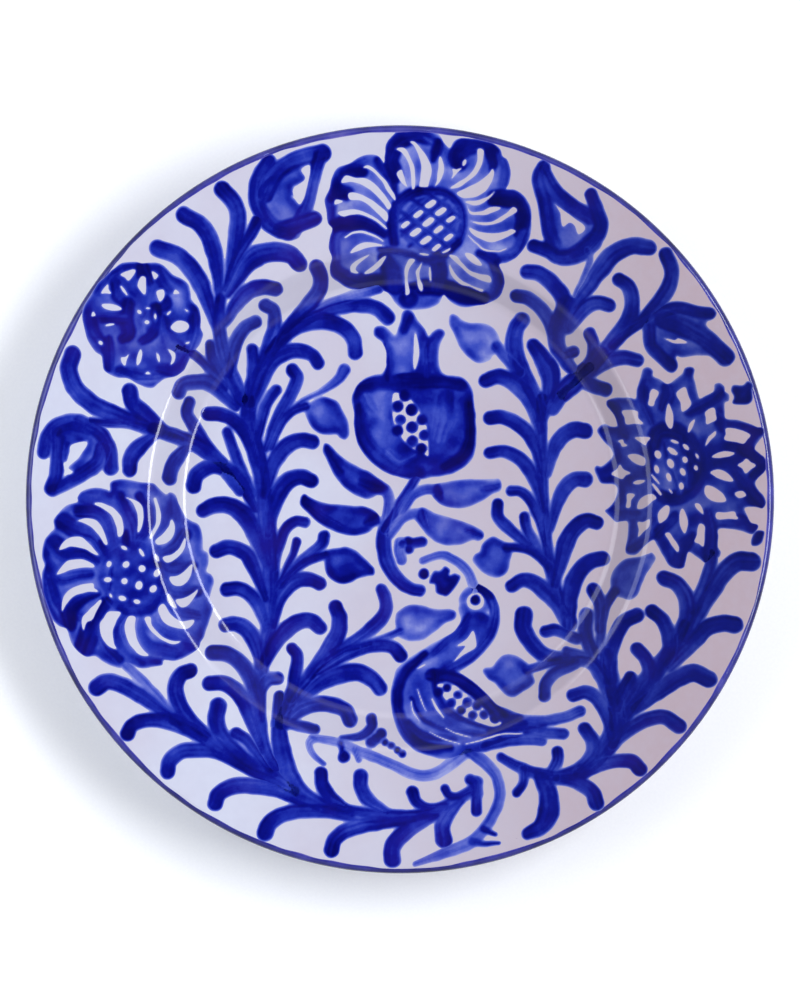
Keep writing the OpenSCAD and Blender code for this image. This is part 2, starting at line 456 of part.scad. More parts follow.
module carnation_shape() {
    difference() {
        pool([[-6, 138], [-5.5, 142], [-2.5, 146], [0, 147.4], [6, 147.6], [12, 147.2],
            [15.5, 146], [17.5, 142.5], [20, 140.5], [22, 143.5], [26, 144.4], [32, 143.6],
            [37, 142.3], [40, 140], [41, 137.3], [43, 135.5], [44.2, 131], [43.5, 126.5],
            [42.5, 124.2], [46, 123.7], [50, 121], [52.3, 116], [52.5, 111], [51.8, 105],
            [50, 101], [47, 97.5], [43, 95], [39.8, 94], [41.5, 90], [41.7, 86], [40, 81.5],
            [35, 78.8], [30, 77.8], [25, 77.3], [21, 79], [17.5, 82.2], [15.5, 79], [12, 77],
            [8, 76.3], [4, 76], [0.5, 76.7], [-2, 79], [-5.5, 83.5], [-12, 84.5], [-17, 84],
            [-22, 85.5], [-27, 89], [-28, 93], [-27.3, 97], [-28.5, 101], [-28, 105], [-27, 108.5],
            [-29, 111], [-29.5, 116], [-30, 120], [-28, 124.5], [-27, 129], [-25, 132.5],
            [-20, 134.5], [-16, 137], [-12, 138], [-8.5, 137], [-6.3, 134.5]]);
        carnation_weave();
        pool([[-23.4, 126.8], [-21.6, 129.5], [-17.5, 128.6], [-13, 128.2], [-8.3, 124.6],
            [-4.9, 120], [-3.5, 117.8], [-4.7, 116.2], [-6.8, 118.9], [-10.5, 122.8], [-15, 125.7],
            [-19.5, 127.1]]);
        pool([[-14.7, 132.8], [-12.5, 133.6], [-9.5, 131.5], [-5.5, 127], [-2.5, 122.5],
            [-2, 119.8], [-3.6, 121.4], [-6.5, 126], [-9.5, 130], [-12.5, 132.3]]);
        pool([[-20.4, 122.5], [-16.5, 122.3], [-12, 120.3], [-8.3, 117.6], [-5.1, 114.6],
            [-5.4, 111.3], [-8.3, 113.9], [-11.5, 116.9], [-15.5, 119.6], [-19.8, 119.9]]);
        pool([[-26, 118.1], [-25.6, 120], [-22.8, 119.3]]);
        pool([[-24.8, 114.8], [-21, 115.9], [-17.5, 116], [-13, 114.6], [-9, 112], [-6, 109.6],
            [-5.4, 108.2], [-8.5, 110.5], [-12, 112.7], [-16, 114.2], [-19.5, 114.1],
            [-22.8, 113.3]]);
        brush([0.54, 0.9, 0.54], [[-22, 105], [-18.5, 106.8], [-13.5, 106.8], [-9, 105],
            [-6.8, 103.4]]);
        pool([[-20, 98.6], [-18, 101.3], [-14.5, 102.9], [-10.5, 102.8], [-6.3, 101.5],
            [-10, 101.3], [-14, 100.6], [-17.5, 99.3]]);
        pool([[-19.7, 91.5], [-19.5, 93.8], [-16, 96.6], [-12.2, 98], [-15.5, 95.5], [-17.8, 92.5],
            [-16.5, 90.7], [-18.6, 90.9]]);
        pool([[-14.2, 90.7], [-10.5, 93.8], [-7.5, 96.5], [-5.5, 97.3], [-7.5, 94], [-10.2, 91.6],
            [-12.2, 90.6]]);
        pool([[3.8, 96.3], [5.8, 95.8], [3.8, 93], [3, 89.5], [3.4, 86], [3.7, 83], [2.4, 82.4],
            [2.2, 85], [2, 88.5], [1.8, 92], [2.6, 94.5]]);
        pool([[8.8, 94.8], [7.8, 91.5], [8, 88.5], [9, 85.8], [8.8, 83.8], [7.6, 84.8], [7, 88],
            [6.3, 91.4], [7.4, 93.2]]);
        brush([0.54, 0.9, 0.54], [[11.7, 93], [12, 90.5], [12.2, 88]]);
        pool([[-1.4, 140.2], [1.5, 140.5], [3.5, 138], [5.3, 134], [6, 130], [5.9, 125.5],
            [5, 124], [4.5, 127], [4.2, 131], [3, 135.5], [0.8, 138.6]]);
        pool([[-1.2, 130.6], [0.5, 131.9], [1.4, 129.8], [2.2, 127], [3, 124.9], [1, 126.5],
            [-0.4, 128.5]]);
        pool([[4.2, 143], [5.8, 142.8], [8.5, 140], [11, 136.5], [12.5, 133], [12.3, 129.5],
            [11.5, 126], [10.8, 125.2], [8, 125.2], [7.7, 126], [8.3, 129], [8.5, 133],
            [7.5, 137.5], [5.8, 141]]);
        pool([[15.4, 135], [16, 137], [17, 135.5], [17.5, 131.5], [16.6, 128.5], [14.2, 125.5],
            [14.8, 128], [15.2, 131]]);
        brush([0.78, 1.3, 0.78], [[26.2, 135.5], [25.4, 133.9]]);
        pool([[21, 132.3], [22.5, 132], [24.5, 132.5], [23, 130.8], [20.6, 128.3], [21.2, 130.3]]);
        pool([[20, 124.6], [23, 126.8], [26.5, 128.8], [29.5, 132], [31, 135.5], [31.2, 139.8],
            [33.3, 139.6], [33.2, 136], [32.3, 133], [30.5, 130], [27, 127.2], [23.5, 125]]);
        pool([[22.8, 122.8], [27, 124.8], [32, 127.3], [35.5, 130.3], [37, 132.2], [37.6, 130.5],
            [36.5, 127], [34.5, 123.8], [31, 121.5], [27.5, 120.6], [24.8, 121]]);
        pool([[26, 119.2], [30, 119.6], [34.5, 120.8], [37.8, 123.2], [36.3, 121.3], [33, 118.5],
            [29, 117.8]]);
        pool([[26.7, 117.5], [28.6, 115.2], [32, 115.1], [36.5, 116.9], [40.3, 116.7],
            [37.5, 114.9], [33, 113.9], [28.5, 114.2]]);
        pool([[28.2, 111.6], [32, 110.9], [37, 111.3], [42, 114.2], [45.2, 116.9], [46.8, 115.4],
            [43.5, 113.2], [40, 111], [35.5, 109.9], [31, 110.2]]);
        pool([[27.9, 108.9], [31.5, 107.2], [37, 106.4], [42, 107.2], [44.6, 108.2], [46.3, 107.1],
            [42, 104.8], [37, 103.1], [33, 104], [29, 106.3]]);
        brush([0.42, 0.7, 0.42], [[27.5, 105.5], [30.5, 102.5], [34, 100], [39, 99.3],
            [42.5, 100.4]]);
        pool([[26, 98.5], [28.5, 98.4], [31, 96.5], [32.8, 93.8], [30.5, 94], [27.5, 96]]);
        pool([[19.6, 97.8], [22.6, 97.4], [25, 94.5], [28, 91.8], [32, 90.2], [35.8, 89.6],
            [36.6, 87.2], [34, 87.4], [30, 89], [26, 91.7], [22.8, 94.6]]);
        pool([[19.9, 94.2], [21.5, 91.5], [24, 88.5], [27.5, 86.3], [31.5, 84.8], [33.3, 84.2],
            [32.5, 83.5], [28.5, 85.2], [24.5, 86.4], [21, 89.5], [19.8, 92.5]]);
        brush([0.48, 0.8, 0.48], [[17.2, 99], [20, 100.4]]);
        brush([0.54, 0.9, 0.54], [[8, 98.5], [11.2, 98]]);
    }
}

module upper_right_tulip_shape() {
    difference() {
        union() {
            pool([[57, 130], [62, 122], [70, 116], [78, 115], [80, 107], [75, 100], [66, 96.5],
                [56, 100], [60, 108], [58, 118]]);
            brush([5.5, 6], [[57.5, 133], [55.5, 128], [58, 118], [59.5, 108], [62, 102]]);
            brush([5, 6.5], [[57.5, 132], [62, 124], [69, 117.5], [76, 113]]);
            brush([5.5, 7], [[76.5, 122], [79, 115], [80.5, 109], [77, 103], [70, 98]]);
            brush([5.4, 8], [[53.5, 101.5], [59, 99.5], [64, 97], [71, 98], [77, 103]]);
            brush([2.5, 2.5, 2.5], [[75, 100], [76, 96], [74, 90], [70, 81]]);
        }
        pool([[62, 118.2], [63.5, 117], [69, 113], [74, 109], [71.5, 106], [70, 109.5],
            [68, 110.7], [65.2, 109.3], [64.5, 112], [64, 115]]);
    }
}

module upper_right_spray_shape() {
    brush([6.5, 8, 5], [[99.5, 100.7], [93, 101.3], [86, 98.5], [80.5, 92.5], [76, 86], [70, 78]]);
    brush([6, 6.5, 4], [[106.4, 98], [108.6, 92], [107.8, 85.5], [103.5, 79], [98, 73], [91, 67]]);
    brush([5.7, 7, 7], [[87.6, 88], [91.5, 85], [93, 79], [91.5, 71.5], [86, 64], [78, 54]]);
    brush([5.8, 6.5, 5], [[83.7, 77.6], [79, 78.7], [74, 76.5], [68, 69]]);
    brush([6, 7, 6], [[51, 91.2], [56, 90.3], [61.5, 86], [65.5, 80], [66.5, 69]]);
    brush([5.5, 5.5, 6], [[46.7, 81.7], [51.5, 80.5], [56.5, 76.5], [60.5, 70.5], [63.5, 61]]);
    brush([5, 5, 5], [[69.6, 59.2], [66, 58], [63, 60]]);
    brush([5, 5, 5], [[76, 66.5], [77.5, 62], [77, 56], [74, 49]]);
    brush([5.5, 6.5, 5], [[95, 55.7], [90, 56.7], [84, 55.7], [77, 51]]);
    brush([6, 6, 6], [[82.3, 44], [78, 45.5], [73, 48]]);
    brush([4, 4, 4], [[99, 71.5], [92, 67.5], [85, 62]]);
    brush([8, 7, 5], [[67, 78], [63.5, 70], [63, 62], [67, 55], [70, 51]]);
    brush([7, 7, 7], [[80, 58], [75, 52], [70, 46], [65, 42]]);
}

module right_tulip_shape() {
    difference() {
        union() {
            pool([[100, 74.5], [105, 78], [110, 79.3], [115, 78.6], [120, 76.5], [126.3, 74.5],
                [122.5, 70.3], [126, 66], [130, 61.5], [134, 57], [131, 53.3], [128, 53.8],
                [124.5, 57], [120, 57.7], [113, 56.8], [110.5, 57], [111, 53], [109.5, 50.8],
                [107, 51.5], [105, 54], [101, 57], [98.5, 61], [98, 66]]);
            brush([5, 6], [[124, 74.3], [118, 75], [111, 76.3], [104, 74], [99.5, 70]]);
            brush([7.2, 8], [[130.5, 57], [122, 64.5], [114, 69], [106, 72]]);
            brush([5.2, 5.5], [[108.5, 53.5], [104, 57.5], [100.5, 62], [100, 68]]);
        }
        pool([[106, 64.5], [110, 63.5], [111.5, 64.3], [115, 62.8], [110, 62.4]]);
    }
}

module right_frond_shape() {
    brush([7, 5, 5, 4.5, 5, 6, 7], [[57, 40], [56.5, 28], [57, 14], [57.5, 2], [58.5, -10],
        [59.5, -22], [61.5, -32], [64, -42], [68, -50]]);
    brush([6.5, 8, 6], [[49, 72], [46.5, 68], [45.8, 61], [48, 53], [52, 45], [57, 34]]);
    brush([5.6, 9, 6], [[53.5, 62], [57, 57], [60.5, 50], [60, 40]]);
    brush([7, 7, 7], [[76, 53], [71, 49], [66, 44], [61, 37]]);
    pool([[20, 73.5], [21, 74.5], [23, 73.7], [25, 72], [28, 71], [33, 70.7], [36, 69.7],
        [38.5, 67.5], [40, 64], [40, 60], [37.2, 58], [36, 56.2], [33, 54.8], [30, 55.2],
        [27, 57.5], [24, 61.5], [22, 66], [20, 70]]);
    brush([4.5, 4.5, 4.5], [[39, 61.5], [42, 57.5], [48, 51]]);
    brush([6, 7.5, 4], [[34.5, 47.7], [39.5, 49.3], [45, 47.5], [50, 43], [53.5, 37], [56, 28]]);
    brush([5.8, 6.3, 4], [[36.2, 32.6], [41, 33], [46.5, 30.8], [51, 27], [54.5, 21], [57, 12]]);
    brush([5, 6, 3], [[36, 18.6], [41.5, 19.3], [47, 17], [51.5, 12.5], [55, 5], [57.5, -5]]);
    brush([4.5, 4.5, 2.5], [[44.7, 3.4], [48.5, 3], [52.5, -0.5], [55.5, -7], [58.5, -18]]);
    brush([5, 5, 3.5], [[39.3, -2], [39.5, -7], [44, -12], [52, -19]]);
    brush([4.5, 4.5, 3], [[50, -7], [51, -12], [54.5, -18], [58, -25]]);
    pool([[37, -15], [41, -16.5], [44, -18.5], [45, -20], [44.5, -24], [43, -29], [40, -31.3],
        [36.5, -31], [33, -29], [30, -26], [29.2, -24.3], [30, -22.3], [32, -21], [33, -18]]);
    brush([3.8, 3.8, 3.8], [[43, -19.3], [48, -19.5], [54, -21.5], [60, -27]]);
    brush([5.5, 7, 4], [[45, -34.8], [49.5, -32.5], [54.5, -34], [59.5, -38.5], [66, -46.5]]);
    brush([6.8, 6.5, 3], [[74.3, 27.5], [70, 27.8], [65.5, 25.5], [62, 20.5], [59.5, 10]]);
    brush([6.5, 6, 3], [[74.5, 8], [70.5, 8], [66.5, 5], [63.5, -1], [60.5, -12]]);
    brush([5.8, 7.5, 4], [[79, -9.3], [75, -8.5], [71, -11], [67, -17], [64.5, -26], [62.5, -34]]);
    brush([6, 7.5, 6], [[81.5, -23.8], [77, -24.8], [73, -28], [69.5, -34], [68, -42], [68, -50]]);
}

module lower_right_spray_shape() {
    brush([6, 7, 8, 9, 9, 8, 7, 5], [[114, -50], [109, -60], [101, -70], [94, -79], [88, -88],
        [84, -97], [77, -106], [66, -111], [55, -110]]);
    brush([7, 7.5, 8], [[83, -62], [84, -70], [86, -80], [87, -90]]);
    brush([4, 6, 7], [[60, -64.5], [68, -64.5], [76, -65], [81, -71], [85, -80]]);
    brush([8, 7.5, 5], [[140.5, -25], [135, -25], [130, -29], [125.5, -35.5], [121, -43],
        [114, -56]]);
    brush([5, 5, 5], [[125, -21], [124, -28], [121, -36], [117, -45]]);
    brush([7, 7, 5], [[134, -50.2], [129, -49.7], [123, -51.5], [117.5, -57], [108, -67]]);
    brush([7, 7.5, 5], [[123.5, -72], [117.5, -69.5], [111, -71.8], [104, -76.5], [94, -84]]);
    brush([6.3, 6, 5], [[111.5, -90.8], [106, -87.3], [100.5, -87.7], [93.5, -91], [85, -98]]);
    brush([6, 5.5, 5], [[96, -108], [93, -105], [87, -104.8], [80.5, -106.3], [71, -110]]);
    brush([6.5, 6, 3], [[78.5, -121.5], [76.8, -117], [71, -113.5], [62, -112]]);
    brush([6.3, 7, 6], [[105.8, -31.6], [111, -34], [114.7, -39.5], [115, -47], [112, -56]]);
    brush([5.7, 6.5, 5], [[101, -44.9], [105, -48.3], [107.8, -54.5], [107.5, -62], [103, -71]]);
    brush([5.5, 6, 5], [[95, -60], [98.5, -64], [99.7, -70], [97.5, -77], [91, -86]]);
    brush([5.5, 5, 4], [[92.3, -71.5], [89.7, -76], [87, -84]]);
    brush([6, 6.5, 6], [[95, -46.5], [90, -49], [86.5, -55], [84, -63], [84, -72]]);
    pool([[88, -26], [91, -23.8], [96, -23], [99.5, -22], [101, -21.5], [102.5, -23.5],
        [101, -26.5], [99, -29.5], [97, -34], [95, -38.5], [92, -40.3], [89, -39.5], [87.5, -38.8],
        [85, -36], [84.5, -33], [85.5, -29]]);
    brush([4, 4, 4], [[86, -37], [82.5, -43], [81, -50], [80, -60]]);
    brush([6, 5, 4], [[77.8, -36.5], [80.3, -42], [80, -52]]);
    brush([6, 6, 6], [[75, -46.5], [74.5, -53], [77, -62]]);
    brush([7.5, 7, 5], [[49.8, -46.5], [49.5, -52], [53, -58], [58, -62.5], [66, -64]]);
    brush([5, 5, 5], [[58.5, -53.1], [63, -52.6], [71, -56]]);
    brush([4, 4, 4], [[67, -61], [74, -63]]);
    pool([[44, -62.5], [47, -63], [50, -65], [51.5, -66.5], [54, -72], [53.5, -74.5], [50, -77],
        [46, -79.3], [43, -79], [40, -76], [38, -74], [35, -72], [33.3, -69.5], [34, -68],
        [37, -67.3], [39, -65], [41, -63]]);
    brush([3.8, 3.8, 3.8], [[51, -68.5], [57, -66.8], [64, -64.5]]);
    brush([5, 5, 5], [[58, -79], [58.5, -74], [62.5, -69.5], [70, -66]]);
    brush([5.3, 6, 4], [[69.3, -78.6], [74.5, -77.3], [79.5, -80.5], [83, -87], [85, -95]]);
    brush([5.5, 6.5, 4], [[74, -92], [77, -96.5], [77.3, -101.5], [72, -107.5]]);
    brush([4.8, 5, 4], [[63, -101], [63, -105], [60, -109.5]]);
    brush([4, 5, 5], [[40.5, -103.4], [46, -106.5], [53, -109.5], [62, -111.5]]);
    brush([4, 4, 4], [[46.7, -117.6], [49.3, -113.5], [49.5, -108]]);
    brush([5, 9, 7], [[51, -133.8], [56.5, -131], [59.5, -125], [59.3, -118], [57, -112]]);
}

module bird_shape() {
    difference() {
        union() {
            dot([30.3, -41], 6.5);
            brush([4, 4.5, 5], [[31, -36], [36, -39.5], [38, -46], [37, -53], [32, -60], [26, -65],
                [19, -69]]);
            brush([4, 5, 6], [[25.5, -44], [26.5, -49], [23, -55], [15, -60], [7, -65], [1, -70]]);
            pool([[27, -46], [33, -45], [37, -48], [37, -54], [31, -62], [25, -66], [18, -70],
                [20, -77], [30, -80], [40, -83], [50, -87], [58, -89], [58, -93], [45, -97],
                [33, -101.3], [25, -104], [17, -104], [8, -101.5], [4, -99], [0, -94.5], [-3, -86],
                [-3.7, -78], [-2.5, -72], [0, -68.5], [8, -63], [17, -58], [24, -52]]);
            brush([4.8, 4.5, 8], [[72, -85], [66, -87.3], [57, -89], [45, -90]]);
            brush([4.8, 4.8, 4.8], [[65.5, -94], [58, -93.5], [50, -92]]);
            brush([4, 4.2, 4.5], [[57, -97], [52, -96.5], [44, -97], [34, -99]]);
        }
        oval([30.3, -41], 6.8, 6.8, 0);
        pool([[29.5, -53], [27, -56], [23, -59], [26.3, -59], [23, -63.5], [22, -65], [27, -61.5],
            [30.5, -59]]);
        pool([[15, -74.5], [22, -75], [26, -78], [30, -81], [34, -84.5], [36, -87], [40.5, -89.5],
            [38, -91], [35, -90.7], [30, -89], [25, -87], [21.5, -84], [18, -80]]);
        brush([0.36, 0.6, 0.36], [[4.5, -81.5], [5.5, -86], [8, -89.3]]);
        brush([0.3, 0.5, 0.3], [[7, -76.5], [8.5, -81], [10.5, -85]]);
        brush([0.6, 1, 0.6], [[13, -80.5], [15, -84.5], [17.5, -87.5]]);
        brush([0.3, 0.5, 0.3], [[12, -93.5], [17, -96], [24, -98]]);
        brush([0.3, 0.5, 0.3], [[18.5, -92], [23, -94], [28, -95.4]]);
        brush([0.36, 0.6, 0.36], [[26.5, -98], [33, -96.5], [40, -94.3], [49, -93.8]]);
        brush([0.36, 0.6, 0.36], [[10, -66.5], [7, -68]]);
    }
    dot([30.3, -40.6], 2.1);
    dot([19, -75.8], 1.8);
    dot([15.5, -77.5], 2);
    dot([23.3, -78.6], 1.8);
    dot([20.5, -82], 2);
    dot([27, -81.7], 2);
    dot([31, -83], 1.9);
    dot([24.6, -84.8], 1.9);
    dot([29.1, -86.8], 1.8);
    dot([33.6, -86.6], 1.8);
    dot([38, -88], 2);
}

module bird_plume_shape() {
    brush([3, 3.8, 4], [[9, -24.8], [16.5, -22.5], [22.5, -24.8], [27.5, -29.5], [30, -36]]);
    dot([9.5, -30], 2.2);
    pool([[12, -32], [13.5, -29], [16, -28.7], [18, -27], [20, -28.5], [20, -30.5], [22, -29.8],
        [24.3, -31], [23.5, -33.5], [21, -37], [19, -39], [17, -38.7], [14.5, -37.5], [14, -34.5],
        [12, -34]]);
    brush([4.4, 4.2, 5], [[8.8, -17], [5.2, -17.6], [1, -18]]);
    dot([3.6, -20.3], 1.9);
    dot([3.3, -16.6], 1.8);
    brush([4.6, 4.4, 4.6], [[0.6, -24.2], [-0.3, -20.5], [0, -17.5]]);
}

module bird_stems_shape() {
    brush([3, 4, 4.5, 5], [[-35, -95.5], [-25, -97.5], [-15, -101.5], [-5, -105.5], [5, -110],
        [12, -110.5], [19, -107], [27, -101]]);
    brush([2, 2.5, 3], [[-30.5, -106], [-35, -102], [-36.5, -98], [-34, -95.5]]);
    dot([-22.5, -103.3], 2.6);
    brush([3, 2.5, 2.5], [[-22.7, -103], [-23.4, -100.5], [-24, -98]]);
    brush([2.5, 2.5, 2.5], [[-16.5, -104.5], [-17.5, -102], [-18, -100]]);
    brush([5, 4.5, 4.5, 5, 2], [[28, -101], [34, -105.5], [38.5, -111], [40, -118], [38, -125],
        [34, -131.5], [28, -137.5], [18, -141.5], [6, -146]]);
    brush([2, 2.5, 3], [[38, -134], [35.5, -133], [33.5, -132]]);
    brush([1.5, 2.5, 3.5], [[39.5, -137.5], [34, -137.8], [29, -137.2]]);
    brush([4.6, 4, 1.8], [[-11.5, -88], [-11.5, -91.5], [-16, -95], [-23.5, -95.5]]);
    dot([-7.5, -94], 2.3);
    dot([-11.5, -97.5], 2.4);
    dot([-9.5, -96], 2.3);
    dot([-6, -97.5], 1.5);
    dot([-3.5, -98.8], 1.6);
    dot([-1, -100.5], 1.5);
    dot([1, -102], 1.7);
}

module pomegranate_shape() {
    difference() {
        union() {
            pool([[-6, 50.5], [-12, 49.5], [-16, 47], [-18.5, 43.5], [-19.3, 40], [-18.3, 35],
                [-18.4, 29], [-17.5, 24], [-15, 19], [-11, 14.5], [-6, 11], [-1, 9.3], [4, 7.8],
                [8, 8], [14, 9], [20, 10], [25, 12.5], [28.5, 15.5], [30, 19], [30.8, 24],
                [30.5, 32], [29.7, 39], [29, 44], [26, 48.3], [22, 49.7], [18, 50], [6, 52]]);
            pool([[-5.5, 48], [-5.5, 54], [-5.5, 59], [-7, 63], [-9.5, 65], [-10.5, 66.5],
                [-10, 69], [-8, 69.7], [-5.5, 69], [-2, 66], [0, 71], [1, 75], [3, 76.3],
                [5, 75.3], [7, 72], [10, 68], [11.5, 65.5], [13, 67], [15, 68.5], [17, 68.3],
                [18, 66.5], [16.5, 63.5], [15.5, 60], [15.5, 55], [16.5, 51.5], [17.5, 48]]);
        }
        pool([[6, 67], [7.4, 62], [7.5, 57], [5.9, 52.2], [5.3, 57]]);
        pool([[-2.5, 42.5], [0.2, 42.4], [4.3, 40], [7, 36.8], [8.2, 34.5], [10.5, 29.5],
            [10.8, 27], [11.3, 22], [11.4, 17.8], [10.2, 17.9], [9, 19], [6, 20], [3, 22],
            [0.3, 25.2], [-1, 28], [-2.5, 31], [-2.8, 34], [-3.2, 38], [-3, 40.5]]);
    }
    dot([-1, 37.3], 2.3);
    dot([4.7, 35.9], 2.5);
    dot([0.2, 32], 2.1);
    dot([8.9, 32], 2.2);
    dot([4.9, 29], 2.4);
    dot([-0.9, 27.6], 2.3);
    dot([9.8, 25.8], 2.2);
    dot([4.9, 23.3], 2.4);
    dot([8.6, 20.3], 2.2);
    dot([2, 41.5], 2.3);
}

module pomegranate_sprig_shape() {
    brush([5, 5.5, 6.3, 6.2, 4.5, 4, 4], [[8, -36.7], [4, -35.8], [-0.5, -32.6], [-4.5, -27],
        [-6.4, -20], [-6.2, -13], [-3.6, -7.5], [-0.5, -2.5], [3, 2.8], [6.5, 8.5]]);
    brush([5, 4.4, 4.5], [[-9.5, 4.5], [-5.5, 3], [-4.2, -2], [-5.2, -7], [-6, -12]]);
    pool([[-30.5, 22.3], [-28.3, 22], [-25.5, 19], [-21.5, 15.7], [-16.5, 13], [-12, 10.8],
        [-8.5, 8.4], [-4.6, 5.4], [-5.5, 3], [-8.3, 2.7], [-10.5, 1], [-14, 0.2], [-18, 1.8],
        [-23, 5.5], [-27, 10.5], [-29.5, 16], [-31, 19.5]]);
    pool([[-40, 0.5], [-38.4, 2], [-36, 0.8], [-31.5, -1.2], [-25, -2.2], [-18, -2.7], [-13, -3.2],
        [-10, -4.8], [-8.2, -7.2], [-7.5, -10], [-10.3, -11.2], [-13, -13.5], [-17, -14.6],
        [-22, -14.2], [-28, -12.2], [-33, -9.3], [-37, -5.6], [-40, -2.4]]);
    brush([4, 4, 3.5], [[15.5, 3.7], [10, 3.9], [5, 1.2], [1, -5]]);
    pool([[14, 5.6], [18, 6.8], [25, 7.8], [32, 8], [37, 8.1], [39.8, 8], [40.9, 6], [40.3, 3.4],
        [37, 2], [32, -1], [27, -3], [22, -3.6], [17, -2.3], [14, 0], [13, 1.8], [14.2, 3.2]]);
    brush([4.2, 3.8, 4], [[9, -5.8], [5, -6], [0.5, -8.3], [-4, -14]]);
    pool([[8, -4], [9.8, -3.7], [12.2, -4.8], [14.5, -6], [20, -7.5], [26, -9.3], [31, -11.3],
        [33.5, -13.2], [33.6, -15.3], [31.6, -16.6], [29, -16.3], [25, -18], [20, -18.6],
        [15, -17.5], [10.5, -14], [7.5, -10], [6, -7.5]]);
}

